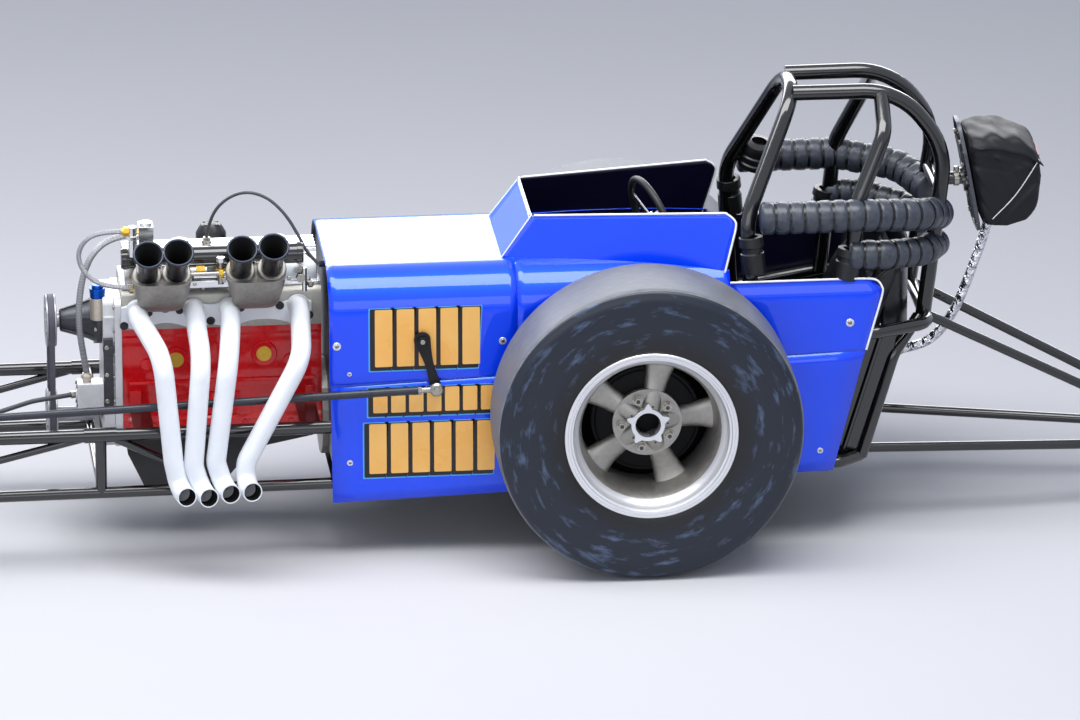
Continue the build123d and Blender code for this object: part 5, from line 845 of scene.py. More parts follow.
tee = (1.2163, 0.108)
parts += [(*stub(((tee[0], tee[1] - 0.002, 0.736), (tee[0], tee[1], 0.812)), 0.011, sides=24), 1),
          (*hexagon((tee[0], tee[1], (0.78, 0.79)), 0.0145), 1),
          (*stub(((tee[0], 1.244), tee[1], 0.8), 0.009, sides=24), 2),
          (*hexagon(((1.226, 1.238), tee[1], 0.8), 0.0125), 2),
          (*box_part((1.1603, -0.024, 0.7255), (1.1963, 0.024, 0.78)), 1),
          (*stub((1.178, 0, (0.78, 0.786)), 0.016), 1),
          (*stub(((1.19, 1.212), 0, 0.755), 0.011, sides=24), 2),
          (*hexagon(((1.199, 1.209), 0, 0.755), 0.0145), 2), (*stub((1.03, 0, (0.7253, 0.7417)), 0.009), 3),
          (*hexagon((1.03, 0, (0.7253, 0.733)), 0.0125), 3)]
build("fuel_and_linkage", parts, [BLACK_ENAMEL, POLISHED, BRASS, NUT_STEEL], replaces="fuel_fittings",
      bevel=0.0008)

# The free hoses and the throttle cable. The hoses are rubber under a braid of fine steel wire;
# the cable runs in a ribbed rubber sleeve and the wires' lay shows as a faint twist.
def braid(name, shades, pitch, wave, metallic, rough):
    """A round cord's skin: strands at a pitch, crossing both ways, on the curve's own map."""
    material = bpy.data.materials.new(name)
    tree = empty_tree(material)
    place = add_node(tree, "TexCoord").outputs["UV"]
    heights = []
    for way in (1, -1):
        turned = add_node(tree, "Mapping", {"Vector": place, "Rotation": (0, 0, way * wave)})
        strands = add_node(tree, "TexWave", {"Vector": turned.outputs["Vector"], "Scale": pitch})
        heights.append(strands.outputs["Fac"])
    woven = add_node(tree, "Math", {0: heights[0], 1: heights[1]}, operation="MAXIMUM").outputs["Value"]
    colour = blend(tree, woven, *shades)
    raised = add_node(tree, "Bump", {"Height": woven, "Distance": 0.0004})
    end_in_shader(tree, {"Base Color": colour, "Metallic": metallic, "Roughness": rough,
                         "Normal": raised.outputs["Normal"]})
    return material


STEEL_BRAID = braid("steel_braided_hose", ("#5d5d61", "#a9a9ad"), 14.0, 0.9, 0.7, 0.4)
RUBBER_SLEEVE = finish("rubber_cable_sleeve", ("#2b2c30", "#4c4d53"), rough=(0.4, 0.55), grain=0.004)


def free_cord(name, route, diameter, length, material, stiffness):
    """A cord along a NURBS line through the route's control points."""
    points = car(np.array(route) / 1000)
    line = bpy.data.curves.new(name, "CURVE")
    line.dimensions, line.bevel_depth, line.bevel_resolution = "3D", diameter / 2, 6
    line.resolution_u, line.use_fill_caps = 24, True
    spline = line.splines.new("NURBS")
    spline.points.add(len(points) - 1)
    spline.points.foreach_set("co", np.c_[points, np.ones(len(points))].ravel())
    spline.order_u, spline.use_endpoint_u = 3, True
    line.materials.append(material)
    made = bpy.data.objects.new(name, line)
    bpy.context.scene.collection.objects.link(made)
    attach(made, "root")
    return made


HOSE_ROUTE = ((1225.3, 140, 668), (1268, 137, 669), (1312, 128, 682), (1342, 118, 712), (1350, 110, 750),
              (1330, 106, 784), (1290, 105, 800), (1244.3, 108, 800))
PUMP_HOSE_ROUTE = ((1212.3, 0, 755), (1262, 14, 753), (1308, 40, 728), (1334, 62, 680), (1346, 76, 620),
                   (1348, 82, 556), (1340, 79, 492), (1330, 73, 430.3))
CABLE_ROUTE = ((1030, 0, 742), (1022, 2, 790), (990, 6, 836), (940, 16, 862), (886, 32, 852),
               (842, 50, 812), (812, 68, 762), (792, 82, 720), (765.3, 90, 694))
for name, node, route, diameter, length, material, stiffness in (
        ("injector_hose_braid", "injector_hose", HOSE_ROUTE, 0.012, 0.2949, STEEL_BRAID, "medium"),
        ("pump_hose_braid", "pump_hose", PUMP_HOSE_ROUTE, 0.016, 0.4197, STEEL_BRAID, "medium"),
        ("throttle_cable_sleeve", "throttle_cable", CABLE_ROUTE, 0.008, 0.4224, RUBBER_SLEEVE, "stiff")):
    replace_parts(free_cord(name, route, diameter, length, material, stiffness), node)

# The water pump, its belt drive and the fuel pump. Cast and turned aluminium gone dull, a rubber
# V-belt, and a filter with a blue anodised cap that stands on the pump's neck.
BELT_RUBBER = finish("belt_rubber", ("#3a3a42", "#565660"), rough=(0.6, 0.75), grain=0.01)
PULLEY_GREY = finish("dull_pulley", ("#8b8a90", "#aeadb3"), 0.7, (0.35, 0.5), 0.02)
NOSE_ALLOY = finish("warm_turned_alloy", ("#b5aa9b", "#d6cdbf"), 0.6, (0.3, 0.4), 0.01)
BLUE_ANODISED = finish("blue_anodised_aluminium", ("#0b3fa0", "#1a62c8"), 0.9, (0.2, 0.32), 0.01)
PUMP_FRONT, PUMP_Z, CRANK_Z = 1.2903, 0.542, 0.3
along = np.array([1.0, 0, 0])


def dots(radius, angles, centre=(0, 0)):
    """Points at a radius round a centre."""
    return [(centre[0] + radius * math.cos(a), centre[1] + radius * math.sin(a)) for a in angles]


snout = [(0, 0.0002), (0, 0.06), (0.012, 0.06), (0.016, 0.056), (0.024, 0.052), (0.034, 0.047),
         (0.06, 0.038), (0.098, 0.027), (0.1, 0.024), (0.1, 0.0002)]
parts = [around_axis((PUMP_FRONT, 0, PUMP_Z), along, snout, 48)]
for turn in whole_turn(6, 0.4):
    c, s = math.cos(turn), math.sin(turn)
    rib = np.array([[(PUMP_FRONT + 0.013, 0.03, w), (PUMP_FRONT + 0.013, 0.058, w),
                     (PUMP_FRONT + 0.097, 0.03, w), (PUMP_FRONT + 0.097, 0.02, w)]
                    for w in (-0.003, 0.003)])
    y, z = rib[..., 1] * c - rib[..., 2] * s, rib[..., 1] * s + rib[..., 2] * c
    parts.append(skin(car(np.stack([rib[..., 0], y, PUMP_Z + z], -1)), ends=True))
parts += in_slot(1, [hexagon(((PUMP_FRONT + 0.011, PUMP_FRONT + 0.019), y, z), 0.006)
                     for y, z in dots(0.054, whole_turn(6, 0.9), (0, PUMP_Z))])
parts += [(*stub((1.3, 0.052, (0.56, 0.615)), 0.0185, sides=32), 3),
          (*stub((1.3, 0.052, (0.615, 0.64)), 0.018, 0.02, 32), 2),
          (*stub((1.3, 0.052, (0.64, 0.648)), 0.0145, 0.013, 32), 2)]
build("pump_snout", parts, [DARK_CASTING, NUT_STEEL, BLUE_ANODISED, NOSE_ALLOY], replaces="water_pump",
      bevel=0.001)
parts = []
for z, back in ((PUMP_Z, 1.3908), (CRANK_Z, 1.2908)):
    groove = [(1.3995, 0.0002), (1.3995, 0.062), (1.4005, 0.064), (1.404, 0.064), (1.4065, 0.0545),
              (1.4175, 0.0545), (1.42, 0.064), (1.4235, 0.064), (1.4245, 0.062), (1.4215, 0.056),
              (1.42, 0.03), (1.4235, 0.018), (1.4245, 0.016), (1.4245, 0.0002)]
    parts += [around_axis((0, 0, z), along, groove, 64),
              around_axis((0, 0, z), along, [(back, 0.0002), (back, 0.018), (1.4, 0.018)], 32)]
    parts += in_slot(1, [hexagon(((1.4195, 1.424), y, bolt_z), 0.0055)
                         for y, bolt_z in dots(0.03, (0.3, 1.87, 3.44, 5.01), (0, z))])
build("v_belt_pulleys", parts, [PULLEY_GREY, NUT_STEEL], replaces="belt_pulleys", bevel=0.0004)
# The belt's line: round the top pulley, then round the lower one, as (y, z, the pulley's z).
half_turn = np.linspace(0, math.pi, 32)
line = np.concatenate([np.stack([up * np.cos(half_turn), up * np.sin(half_turn), np.full(32, z)], -1)
                       for up, z in ((1, PUMP_Z), (-1, CRANK_Z))])
belt_grid = [np.stack([np.full(len(line), x), line[:, 0] * r, line[:, 2] + line[:, 1] * r], -1)
             for x, r in ((1.4062, 0.0552), (1.4052, 0.064), (1.4188, 0.064), (1.4178, 0.0552))]
build("v_belt", [skin(car(np.array(belt_grid)), along=True)], BELT_RUBBER, replaces="drive_belt")
parts = [box_part((1.2898, 0.05, 0.344), (1.354, 0.096, 0.408)),
         (*stub((1.33, 0.073, (0.408, 0.43)), 0.011, sides=24), 1),
         (*hexagon((1.33, 0.073, (0.414, 0.426)), 0.0145), 1)]
parts += [(*stub(((1.3535, 1.3575), y, z), 0.0055, sides=6), 2) for y in (0.058, 0.088)
          for z in (0.352, 0.4)]
parts.append(stub(((1.353, 1.3575), 0.073, 0.376), 0.016))
build("fuel_pump_body", parts, [SILVER_CASTING, NOSE_ALLOY, NUT_STEEL], replaces="fuel_pump", bevel=0.004)

# The magneto on the engine's far side. A cast aluminium body that stands upright against the head,
# under a moulded black cap with four towers.
MAGNETO_X, MAGNETO_Y = 1.01, -0.1303
upright = (0, 0, 1.0)
case_line = [(0, 0.0002), (0, 0.026), (0.012, 0.03), (0.12, 0.03), (0.128, 0.034), (0.185, 0.034),
             (0.187, 0.0002)]
cap_line = [(0, 0.0002), (0, 0.037), (0.018, 0.037), (0.03, 0.031), (0.04, 0.024), (0.0435, 0.01),
            (0.0435, 0.0002)]
parts = [around_axis((MAGNETO_X, MAGNETO_Y, 0.505), upright, case_line, 40),
         (*around_axis((MAGNETO_X, MAGNETO_Y, 0.69), upright, cap_line, 40), 1)]
parts += in_slot(1, [stub((x, y, (0.715, 0.7335)), 0.006, sides=16)
                     for x, y in dots(0.018, (0.8, 2.4, 3.9, 5.5), (MAGNETO_X, MAGNETO_Y))])
build("magneto_body", parts, [CAST_ALUMINIUM, SATIN_BLACK], replaces="magneto", bevel=0.001)

# The cockpit's surround. The same painted sheet, folded into a raked front and two sides that lean
# in, a near-black navy inside that is painted shade, with white edging pushed over its cut edges.
CORNER = 0.01
COWL_FOOT_X, COWL_RAKE = 0.328, 0.729


def skin_z(y):
    """The height of the body's skin at a distance from the middle."""
    over = np.clip(np.abs(y) - (HALF - BEND), 0, BEND)
    return HOOD_Z - BEND + np.sqrt(BEND ** 2 - over ** 2)


def cowl_side(share, climb):
    """A point of the left side: share runs from the front fold to the rear edge, climb from the
    hood's skin to the opening's edge."""
    def width(x, z):
        return 0.155 + 0.129 * (COWL_FOOT_X - x) - 0.21 * (z - HOOD_Z)
    z = 0.75
    for _ in range(4):
        x_front = COWL_FOOT_X - COWL_RAKE * (z - HOOD_Z) - 0.8 * CORNER
        x_rear = np.interp(z, [0.64, 0.788, 0.803, 0.813, 0.819, 0.822],
                           [-0.196, -0.236, -0.237, -0.232, -0.224, -0.212])
        x = x_front + share * (x_rear - x_front)
        low = skin_z(width(x, HOOD_Z)) - 0.012 * (share > 0) * np.minimum(1, share * 8) - 0.004
        high = 0.815 + (0.42 - x) * 0.012 / 0.628
        z = low + climb * (high - low)
    return np.stack([x, width(x, z), z], -1)


share, climb = np.meshgrid(np.linspace(0, 1, 40), np.linspace(0, 1, 14))
side = cowl_side(share, climb)
lead = side[:, :1]
across = np.linspace(1, -1, 16)[1:-1]
z = lead[:, 0, 2]
fold_x = COWL_FOOT_X - COWL_RAKE * (z - HOOD_Z)
fold = np.stack([np.broadcast_to(fold_x[:, None], (14, 14)),
                 (lead[:, 0, 1] - 0.5 * CORNER)[:, None] * across, np.broadcast_to(z[:, None], (14, 14))],
                -1)
corner = np.stack([fold_x - 0.12 * CORNER, lead[:, 0, 1] - 0.12 * CORNER, z], -1)[:, None]
cowl = np.concatenate([side[:, ::-1], corner, fold, corner * (1, -1, 1), side * (1, -1, 1)], 1)
thicken(build("cowl_sheet", [skin(car(cowl[:, ::-1]), around=False)],
              [BLUE_PAINT, NAVY_SHADE_PAINT, WHITE_EDGING], replaces="cockpit_cowl", sheet=True), SHEET, inside=1,
        rim=2)

EDGE = 0.0026
back_edge = np.concatenate([smooth_path(side[:, -1]), smooth_path(side[-1, ::-1])[1:]])
edging = mirrored([tube(back_edge, EDGE, sides=10)])
edging.append(tube(np.concatenate([corner[-1], fold[-1], corner[-1] * (1, -1, 1)]), EDGE, sides=10))
edging += mirrored([tube(corner[:, 0], 0.0016, sides=8)])
over_top = [(-0.5505, HALF, 0.4865), (-0.569, HALF, 0.5555), (-0.588, HALF, 0.628), (-0.5865, 0.262, 0.648),
            (-0.575, 0.258, 0.662), (-0.552, 0.254, 0.6655)]
over_top += [(x, 0.2535, SILL_Z - 0.0005) for x in (-0.48, -0.35, COCKPIT_X)]
edging += mirrored([tube(smooth_path(over_top), EDGE, sides=10)])
build("white_edge_strips", edging, WHITE_EDGING)

# Quarter-turn fasteners hold the sheets. Each is a countersunk steel stud with a slot across it,
# set in a pale pressed ring.
FASTENER_PALE = finish("bare_fastener", ("#c9cbd0", "#eeeff2"), 0.6, (0.2, 0.35), 0.004)
parts = []
for x, z, wide in ((0.737, 0.542, 0.011), (0.707, 0.242, 0.008), (-0.51, 0.557, 0.011),
                   (0.335, 0.542, 0.01), (0.707, 0.47, 0.006), (-0.44, 0.23, 0.008)):
    parts += [stub((x, (HALF - 0.001, HALF + 0.0012), z), wide, wide * 0.86, 28),
              (*stub((x, (HALF + 0.001, HALF + 0.0024), z), wide * 0.5, wide * 0.42, 20), 1),
              (*box_part((x - wide * 0.36, HALF + 0.002, z - 0.0009),
                         (x + wide * 0.36, HALF + 0.0028, z + 0.0009)), 2)]
parts = mirrored(parts)
parts += [stub((0.735, y, (HOOD_Z - 0.001, HOOD_Z + 0.0012)), 0.0075, 0.0065) for y in (0.135, -0.135)]
build("quarter_turn_fasteners", parts, [FASTENER_PALE, NUT_STEEL, SATIN_BLACK])

# Painted blocks on each side, with a drop shadow and a fine outline: three rows of plain gold
# slabs, where the real car has words.
GOLD = finish("gold_sign_paint", ("#f2a53a", "#ffd27f"), rough=(0.25, 0.35), grain=0.12)
SHADOW = finish("black_sign_paint", ("#08060c", "#0d0a14"), rough=(0.25, 0.35), grain=0.1)
OUTLINE = finish("pale_blue_line", ("#3fa4f0", "#57b6f8"), rough=(0.25, 0.35), grain=0.1)
# Each row's front x, rear x, top, foot and count, and each layer's material, growth, shift and depth.
ROWS = ((0.645, 0.38, 0.632, 0.486, 5), (0.65, 0.345, 0.43, 0.368, 7), (0.66, 0.345, 0.34, 0.212, 6))
LAYERS = ((2, 0.0065, 0.01, 0.0003), (1, 0.004, 0.009, 0.0006), (0, 0.0, 0.0, 0.0009))
parts = []
for x_front, x_back, z_top, z_low, count in ROWS:
    pitch = (x_front - x_back) / count
    for k in range(count):
        ahead, behind = x_front - k * pitch, x_front - (k + 0.8) * pitch
        for shade, grow, shift, depth in LAYERS:
            ring = rounded([(behind - grow + shift * 0.9, z_low - grow - shift * 0.6),
                            (ahead + grow + shift * 0.9, z_low - grow - shift * 0.6),
                            (ahead + grow + shift * 0.9 * (shade > 0), z_top + grow - shift * 0.2),
                            (behind - grow, z_top + grow - shift * 0.2)], 0.003, 3)
            parts.append((*prism(ring, HALF + 0.00005, HALF + depth), shade))
build("gold_sign_slabs", mirrored(parts), [GOLD, SHADOW, OUTLINE])

# The cage's padding. Split foam tube, pulled tight round the bars with a nylon tie every 34 mm,
# so that it bulges between the ties. Short rubber boots close the feet of the cage's legs.
FOAM = finish("closed_cell_foam", ("#23262d", "#4b515e"), rough=(0.28, 0.42), grain=0.01, bump=0.0008)
TIE = finish("nylon_tie", ("#060607", "#0c0c0e"), rough=(0.25, 0.35), grain=0.01)


def tied_roll(points, radius, radii, pitch=0.034, squeeze=0.11):
    """A roll of foam whose radius falls at each tie, by exp(-(sin(run / pitch) / 0.4)^2), and the
    ties themselves, thin bands in the grooves."""
    path = bent(points, radii)
    run = np.concatenate([[0], np.cumsum(np.linalg.norm(np.diff(path, axis=0), axis=1))])
    fine = np.linspace(0, run[-1], max(60, int(run[-1] / 0.003)))
    path = np.stack([np.interp(fine, run, path[:, k]) for k in range(3)], -1)
    count = max(1, round(run[-1] / pitch))
    wave = np.exp(-(np.sin(math.pi * count * fine / run[-1]) / 0.4) ** 2)
    size = radius * (1 - squeeze * wave)
    size *= np.clip(np.minimum(fine, run[-1] - fine) / 0.008, 0, 1) ** 0.3 * 0.25 + 0.75
    parts = [tube(path, size, sides=36)]
    for k in range(1, count):
        at = np.searchsorted(fine, run[-1] * k / count)
        band = path[max(at - 1, 0):at + 2]
        parts.append((*tube(band, radius * (1 - squeeze) + 0.0022, sides=36), 1))
    return parts


rolls = []
for points, radius, bend in (
        ([(-0.292, 0.236, 0.822), (-0.54, 0.238, 0.822), (-0.69, 0.19, 0.802), (-0.752, 0.088, 0.77)],
         0.04, 0.11),
        ([(-0.508, 0.234, 0.722), (-0.6, 0.234, 0.718), (-0.704, 0.17, 0.702), (-0.746, 0.078, 0.692)],
         0.036, 0.08)):
    rolls += mirrored(tied_roll(points, radius, bend))
pads = build("foam_rolls", rolls, [FOAM, TIE], replaces="cage_padding", sharp=60)
boots = []
for foot, top, radius in (((-0.279, 0.2315, 0.683), (-0.271, 0.222, 0.772), 0.03),
                          ((-0.501, 0.2315, 0.662), (-0.514, 0.227, 0.735), 0.031)):
    way = np.array(top) - foot
    length = float(np.linalg.norm(way))
    line = [(0, 0.018), (0, radius), (length * 0.55, radius * 0.98), (length * 0.56, radius * 0.86),
            (length * 0.72, radius * 0.86), (length * 0.73, radius * 1.02), (length, radius * 0.98),
            (length, 0.018)]
    boots += mirrored([around_axis(foot, way, line, 40)])
far = [(0, 0.02), (0, 0.04), (0.014, 0.043), (0.018, 0.039), (0.034, 0.043), (0.038, 0.039), (0.054, 0.042),
       (0.066, 0.04), (0.07, 0.02)]
boots += [around_axis((-0.33, -0.205, 0.808), (-0.2, 0.2, 0.95), far, 40)]
build("rubber_boots", boots, SATIN_BLACK, bevel=0.0015)

# The driver's seat. Bent aluminium sheet with rolled sides, painted black, on two feet, with two
# nylon shoulder straps laid over its back.
SEAT_PAINT = finish("black_seat_enamel", ("#0a0b10", "#14161d"), rough=(0.25, 0.4), grain=0.05)
WEBBING = finish("nylon_webbing", ("#15161b", "#2a2c33"), rough=(0.6, 0.75), grain=0.0015, bump=0.0003,
                 stretch=(1, 3, 1))
centre_line = smooth_path([(-0.25, 0.258), (-0.33, 0.25), (-0.45, 0.252), (-0.5, 0.275), (-0.55, 0.39),
                           (-0.61, 0.555), (-0.636, 0.64), (-0.648, 0.655)], 8)
wing = np.interp(np.linspace(0, 1, len(centre_line)), [0, 0.2, 0.45, 0.7, 0.9, 1],
                 [0.012, 0.06, 0.105, 0.085, 0.03, 0.008])
ahead = headings(centre_line)
inward = np.stack([-ahead[:, 1], ahead[:, 0]], -1)
inward *= np.sign(inward[:, :1] * 0.5 + inward[:, 1:])
v = np.linspace(-1, 1, 41)
lift = np.clip((np.abs(v) - 0.8) / 0.2, 0, 1)
y = np.sign(v) * np.minimum(np.abs(v) * 0.2, 0.186)
raised = wing[:, None] * lift ** 1.5


def sheet_of(x, y, z):
    """One open sheet over the points whose x, y and z are given as rows, columns or both."""
    return skin(car(np.stack(np.broadcast_arrays(x, y, z), -1)), around=False)


pan = sheet_of(centre_line[:, :1] + inward[:, :1] * raised, y, centre_line[:, 1:] + inward[:, 1:] * raised)
feet = mirrored([box_part((-0.45, 0.141, 0.179), (-0.29, 0.149, 0.252))])
SEAT_SHEET, WEB = 0.004, 0.003
thicken(build("seat_sheet", [pan, *feet], SEAT_PAINT, replaces="seat", sheet=True), SEAT_SHEET, 0)
strap = np.array([(-0.634, 0.6525), (-0.6075, 0.563), (-0.5465, 0.396), (-0.527, 0.345)])
strap = smooth_path(strap)
web = sheet_of(strap[:, :1] + 0.004, np.array([0.048, 0.052, 0.072, 0.092, 0.096]), strap[:, 1:])
thicken(build("shoulder_straps", mirrored([web]), WEBBING, replaces="harness", sheet=True), WEB, 1)
bow = np.linspace(-math.pi / 2, math.pi / 2, 40)
shell = sheet_of(-0.598 - 0.082 * np.cos(bow) ** 0.7, 0.17 * np.sin(bow),
                 np.linspace(0.47, 0.69, 8)[:, None])
thicken(build("seat_back_shell", [shell], SEAT_PAINT, sheet=True), SEAT_SHEET, 0)
buckles = []
for z, x in ((0.56, -0.6005), (0.47, -0.5665)):
    buckles += [box_part((x, 0.044, z - 0.003), (x + 0.004, 0.1, z + 0.003)),
                box_part((x - 0.006, 0.044, z + 0.018), (x - 0.002, 0.1, z + 0.024))]
build("strap_buckles", mirrored(buckles), NUT_STEEL, bevel=0.001)

# The parachute in its pack. Black nylon, packed hard and strapped to the launcher's plate, with a
# flap drawn over the top and held by an elastic cord. Its folds run from the flap's corners.
NYLON = finish("black_pack_nylon", ("#040509", "#0f1118"), rough=(0.5, 0.62), grain=0.05, bump=0.0005,
               **{"Specular IOR Level": 0.35})
ELASTIC = finish("pale_elastic_cord", ("#c6c7cc", "#e4e5e8"), rough=(0.6, 0.75), grain=0.004)
PIPING = finish("rose_binding_tape", ("#b48b8c", "#cfa7a6"), rough=(0.6, 0.75), grain=0.004)
PLATE_TOP, PLATE_FOOT = np.array([-0.806, 0.982]), np.array([-0.859, 0.705])
PACK_HALF = 0.095


def plate_x(z):
    """The x of the launcher plate's rear face at a height."""
    return np.interp(z, [PLATE_FOOT[1], PLATE_TOP[1]], [PLATE_FOOT[0], PLATE_TOP[0]])


def folds(back, up, lines):
    """The height of soft creases at points of a side: each is a ridge along a line, with a bell
    curve across it. A line is its two ends, its width and its height."""
    height = np.zeros(np.broadcast_shapes(np.shape(back), np.shape(up)))
    for (b0, u0), (b1, u1), wide, high in lines:
        run = np.array([b1 - b0, u1 - u0])
        share = np.clip(((back - b0) * run[0] + (up - u0) * run[1]) / (run @ run), 0, 1)
        off = np.hypot(back - b0 - share * run[0], up - u0 - share * run[1])
        height += high * np.exp(-(off / wide) ** 2) * (1 - 0.5 * share)
    return height


SIDE_FOLDS = (((0.0, 0.7), (0.85, 0.42), 0.05, 0.0045), ((0.02, 0.86), (0.95, 0.1), 0.045, 0.0035),
              ((0.0, 0.45), (0.6, 0.2), 0.04, -0.003), ((0.05, 0.3), (0.4, -0.55), 0.06, 0.004),
              ((0.3, 0.6), (0.75, -0.75), 0.055, -0.0035), ((0.95, -0.1), (0.45, -0.8), 0.06, 0.0045),
              ((0.0, -0.3), (0.3, -0.9), 0.045, -0.003), ((0.98, 0.55), (0.55, 0.2), 0.06, 0.004))


def pack_surface(depth, turn, grow=0.0):
    """Points of the pack. Depth runs from the plate, -1, to the back, 1, and turn goes round:
    a super-ellipsoid of the eighth power, drawn out to the pack's own height and width."""
    ring = np.abs(np.cos(turn)) ** 8 + np.abs(np.sin(turn)) ** 8
    radius = (1 - np.abs(depth) ** 8) ** (1 / 8) / ring ** (1 / 8)
    across, up = radius * np.cos(turn), radius * np.sin(turn)
    share = (depth + 1) / 2
    top = np.interp(share, [0, 0.5, 0.8, 1], [0.952, 0.96, 0.946, 0.915])
    low = np.interp(share, [0, 0.5, 0.8, 1], [0.728, 0.723, 0.735, 0.765])
    z = (top + low) / 2 + (top - low) / 2 * up * (1 + grow / 0.11)
    back = np.interp(z, [0.72, 0.745, 0.85, 0.925, 0.965], [-0.972, -0.99, -1.0, -0.99, -0.962])
    side = folds(share, up, SIDE_FOLDS) * np.clip(np.abs(across) - 0.6, 0, 0.3) / 0.3
    y = across * (PACK_HALF - 0.006 * share + grow) + np.sign(across) * side
    z = z + 0.004 * np.sin(share * 17 + across * 2) * np.clip(up, 0, 1) * share
    return np.stack([plate_x(z) - 0.003 + share * (back - grow - plate_x(z)), y, z], -1)


depth = np.sin(np.linspace(-math.pi / 2 + 0.02, math.pi / 2 - 0.01, 90))[:, None]
turn = whole_turn(180)[None, :]
parts = [skin(car(pack_surface(depth, turn)), ends=True)]
flap_depth = np.linspace(-0.93, 0.985, 50)[:, None]
share = np.linspace(0, 1, 90)[None, :]
hem = 0.63 - 0.12 * np.clip((flap_depth + 0.2) / 1.1, 0, 1) ** 1.5 - 0.03 * np.sin(3.0 * flap_depth + 1)
flap_turn = hem + share * (math.pi - 0.75 - hem)
swell = 0.004 + 0.005 * np.exp(-(share / 0.05) ** 2) + 0.0015 * np.sin(9 * flap_depth + 12 * share)
flap = pack_surface(flap_depth, flap_turn, swell)
under = pack_surface(flap_depth, flap_turn, swell - 0.003)
closed = np.concatenate([flap, under[:, ::-1]], 1)
parts.append(skin(car(closed), ends=True))
parts.append((*tube(flap[-2, 12:60] + (0, 0, 0.001), 0.0022, sides=8), 2))
front_seam = pack_surface(np.full(180, -0.9), turn[0], 0.001)
parts.append(tube(front_seam[20:160], 0.0022, sides=8))
for hand in (1, -1):
    stay = np.array([(-0.88, hand * 0.0965, 0.752), (-0.935, hand * 0.0985, 0.812),
                     (-0.984, hand * 0.0945, 0.886), (-0.99, hand * 0.086, 0.894)])
    parts.append((*tube(smooth_path(stay), 0.0013, sides=8), 1))
    parts.append((*stub(((-0.99, hand * 0.084, 0.891), (-0.99, hand * 0.092, 0.897)), 0.0045, sides=12), 1))
build("packed_parachute", parts, [NYLON, ELASTIC, PIPING], replaces="parachute_pack", sharp=60)

# The launcher. A steel plate with a rounded head, stiffened by pressed ribs, that a stub carries
# from a cross tube between the cage's back tubes.
HAMMERED = finish("dark_hammered_steel", ("#3a3c44", "#686a72"), 0.6, (0.3, 0.5), 0.008, 0.0006)
lean = unit(PLATE_TOP - PLATE_FOOT)
plate_long = float(np.linalg.norm(PLATE_TOP - PLATE_FOOT))
corners = [(-0.06, 0.0), (0.06, 0.0), (0.074, 0.06), (0.074, plate_long - 0.07), (0.045, plate_long),
           (-0.045, plate_long), (-0.074, plate_long - 0.07), (-0.074, 0.06)]
outline = rounded(corners, 0.04)


def on_plate(across, up, out):
    """A point given by its place on the launcher plate and how far it stands forward of it."""
    x = PLATE_FOOT[0] + up * lean[0] + out * lean[1]
    z = PLATE_FOOT[1] + up * lean[1] - out * lean[0]
    return np.stack(np.broadcast_arrays(x, across, z), -1)


layers = [on_plate(*outline.T, out) for out in (0.0, 0.004)]
lip = [on_plate(outline[:, 0] * k, (outline[:, 1] - 0.14) * k + 0.14, out)
       for k, out in ((1.0, 0.004), (1.0, 0.009), (0.955, 0.009), (0.955, 0.004))]
parts = [skin(car(np.array(layers)), ends=True), skin(car(np.array(lip)), along=True)]
for angle in (0.35, 0.95, 1.57, 2.2, 2.8, 3.5, 4.1, 4.71, 5.3, 5.95):
    c, s = math.cos(angle), math.sin(angle)
    reach = min(0.066 / max(abs(c), 1e-3), (0.12 if s > 0 else 0.11) / max(abs(s), 1e-3))
    rib = on_plate(c * np.array([0.02, reach]), 0.125 + s * np.array([0.02, reach]), 0.007)
    parts.append(tube(rib, 0.004, sides=12))
parts += in_slot(2, [tube(on_plate(across, up, np.array([0.004, 0.013])), 0.007, sides=6)
                     for across, up in ((0.034, 0.125), (-0.034, 0.125), (0.0, 0.16), (0.0, 0.09),
                                        (0.045, 0.235), (-0.045, 0.235), (0.045, 0.03), (-0.045, 0.03))])
TUBE_X, TUBE_Z = -0.747, 0.828
hub = on_plate(0, 0.125, np.array([0.004, 0.02]))
parts += [(*tube(hub, 0.03, sides=32), 1),
          (*stub(((TUBE_X, float(plate_x(TUBE_Z)) + 0.006), 0, TUBE_Z), 0.016, sides=32), 1),
          (*stub((TUBE_X, (-0.102, 0.102), TUBE_Z), 0.014, sides=32), 1),
          (*stub(((-0.797, -0.809), 0, TUBE_Z), 0.0195, sides=32), 2),
          (*hexagon((-0.803, 0.0, (TUBE_Z + 0.018, TUBE_Z + 0.03)), 0.007), 2)]
build("launcher_plate", parts, [HAMMERED, BLACK_ENAMEL, NUT_STEEL], replaces="parachute_mount",
      bevel=0.0006)

# The tether. A strap rolled in thin aluminium foil against fire, which crumples at every bend. It
# hangs from the pack to a sleeve of woven cloth in a lug on the frame's cross tube.
def crumpled_foil():
    """Bright foil: flat facets of every size, each of its own tilt, from cells of three sizes."""
    material = bpy.data.materials.new("crumpled_foil")
    tree = empty_tree(material)
    place = add_node(tree, "TexCoord").outputs["Object"]
    height = None
    for scale, share in ((42.0, 0.6), (80.0, 0.28), (170.0, 0.12)):
        cells = add_node(tree, "TexVoronoi", {"Vector": place, "Scale": scale})
        part = add_node(tree, "Math", {0: cells.outputs["Distance"], 1: share}, operation="MULTIPLY")
        height = part.outputs["Value"] if height is None else add_node(
            tree, "Math", {0: height, 1: part.outputs["Value"]}, operation="ADD").outputs["Value"]
    raised = add_node(tree, "Bump", {"Height": height, "Distance": 0.016, "Strength": 1.0})
    end_in_shader(tree, {"Base Color": linear("#d6d7dc"), "Metallic": 1.0, "Roughness": 0.2,
                         "Normal": raised.outputs["Normal"]})
    return material


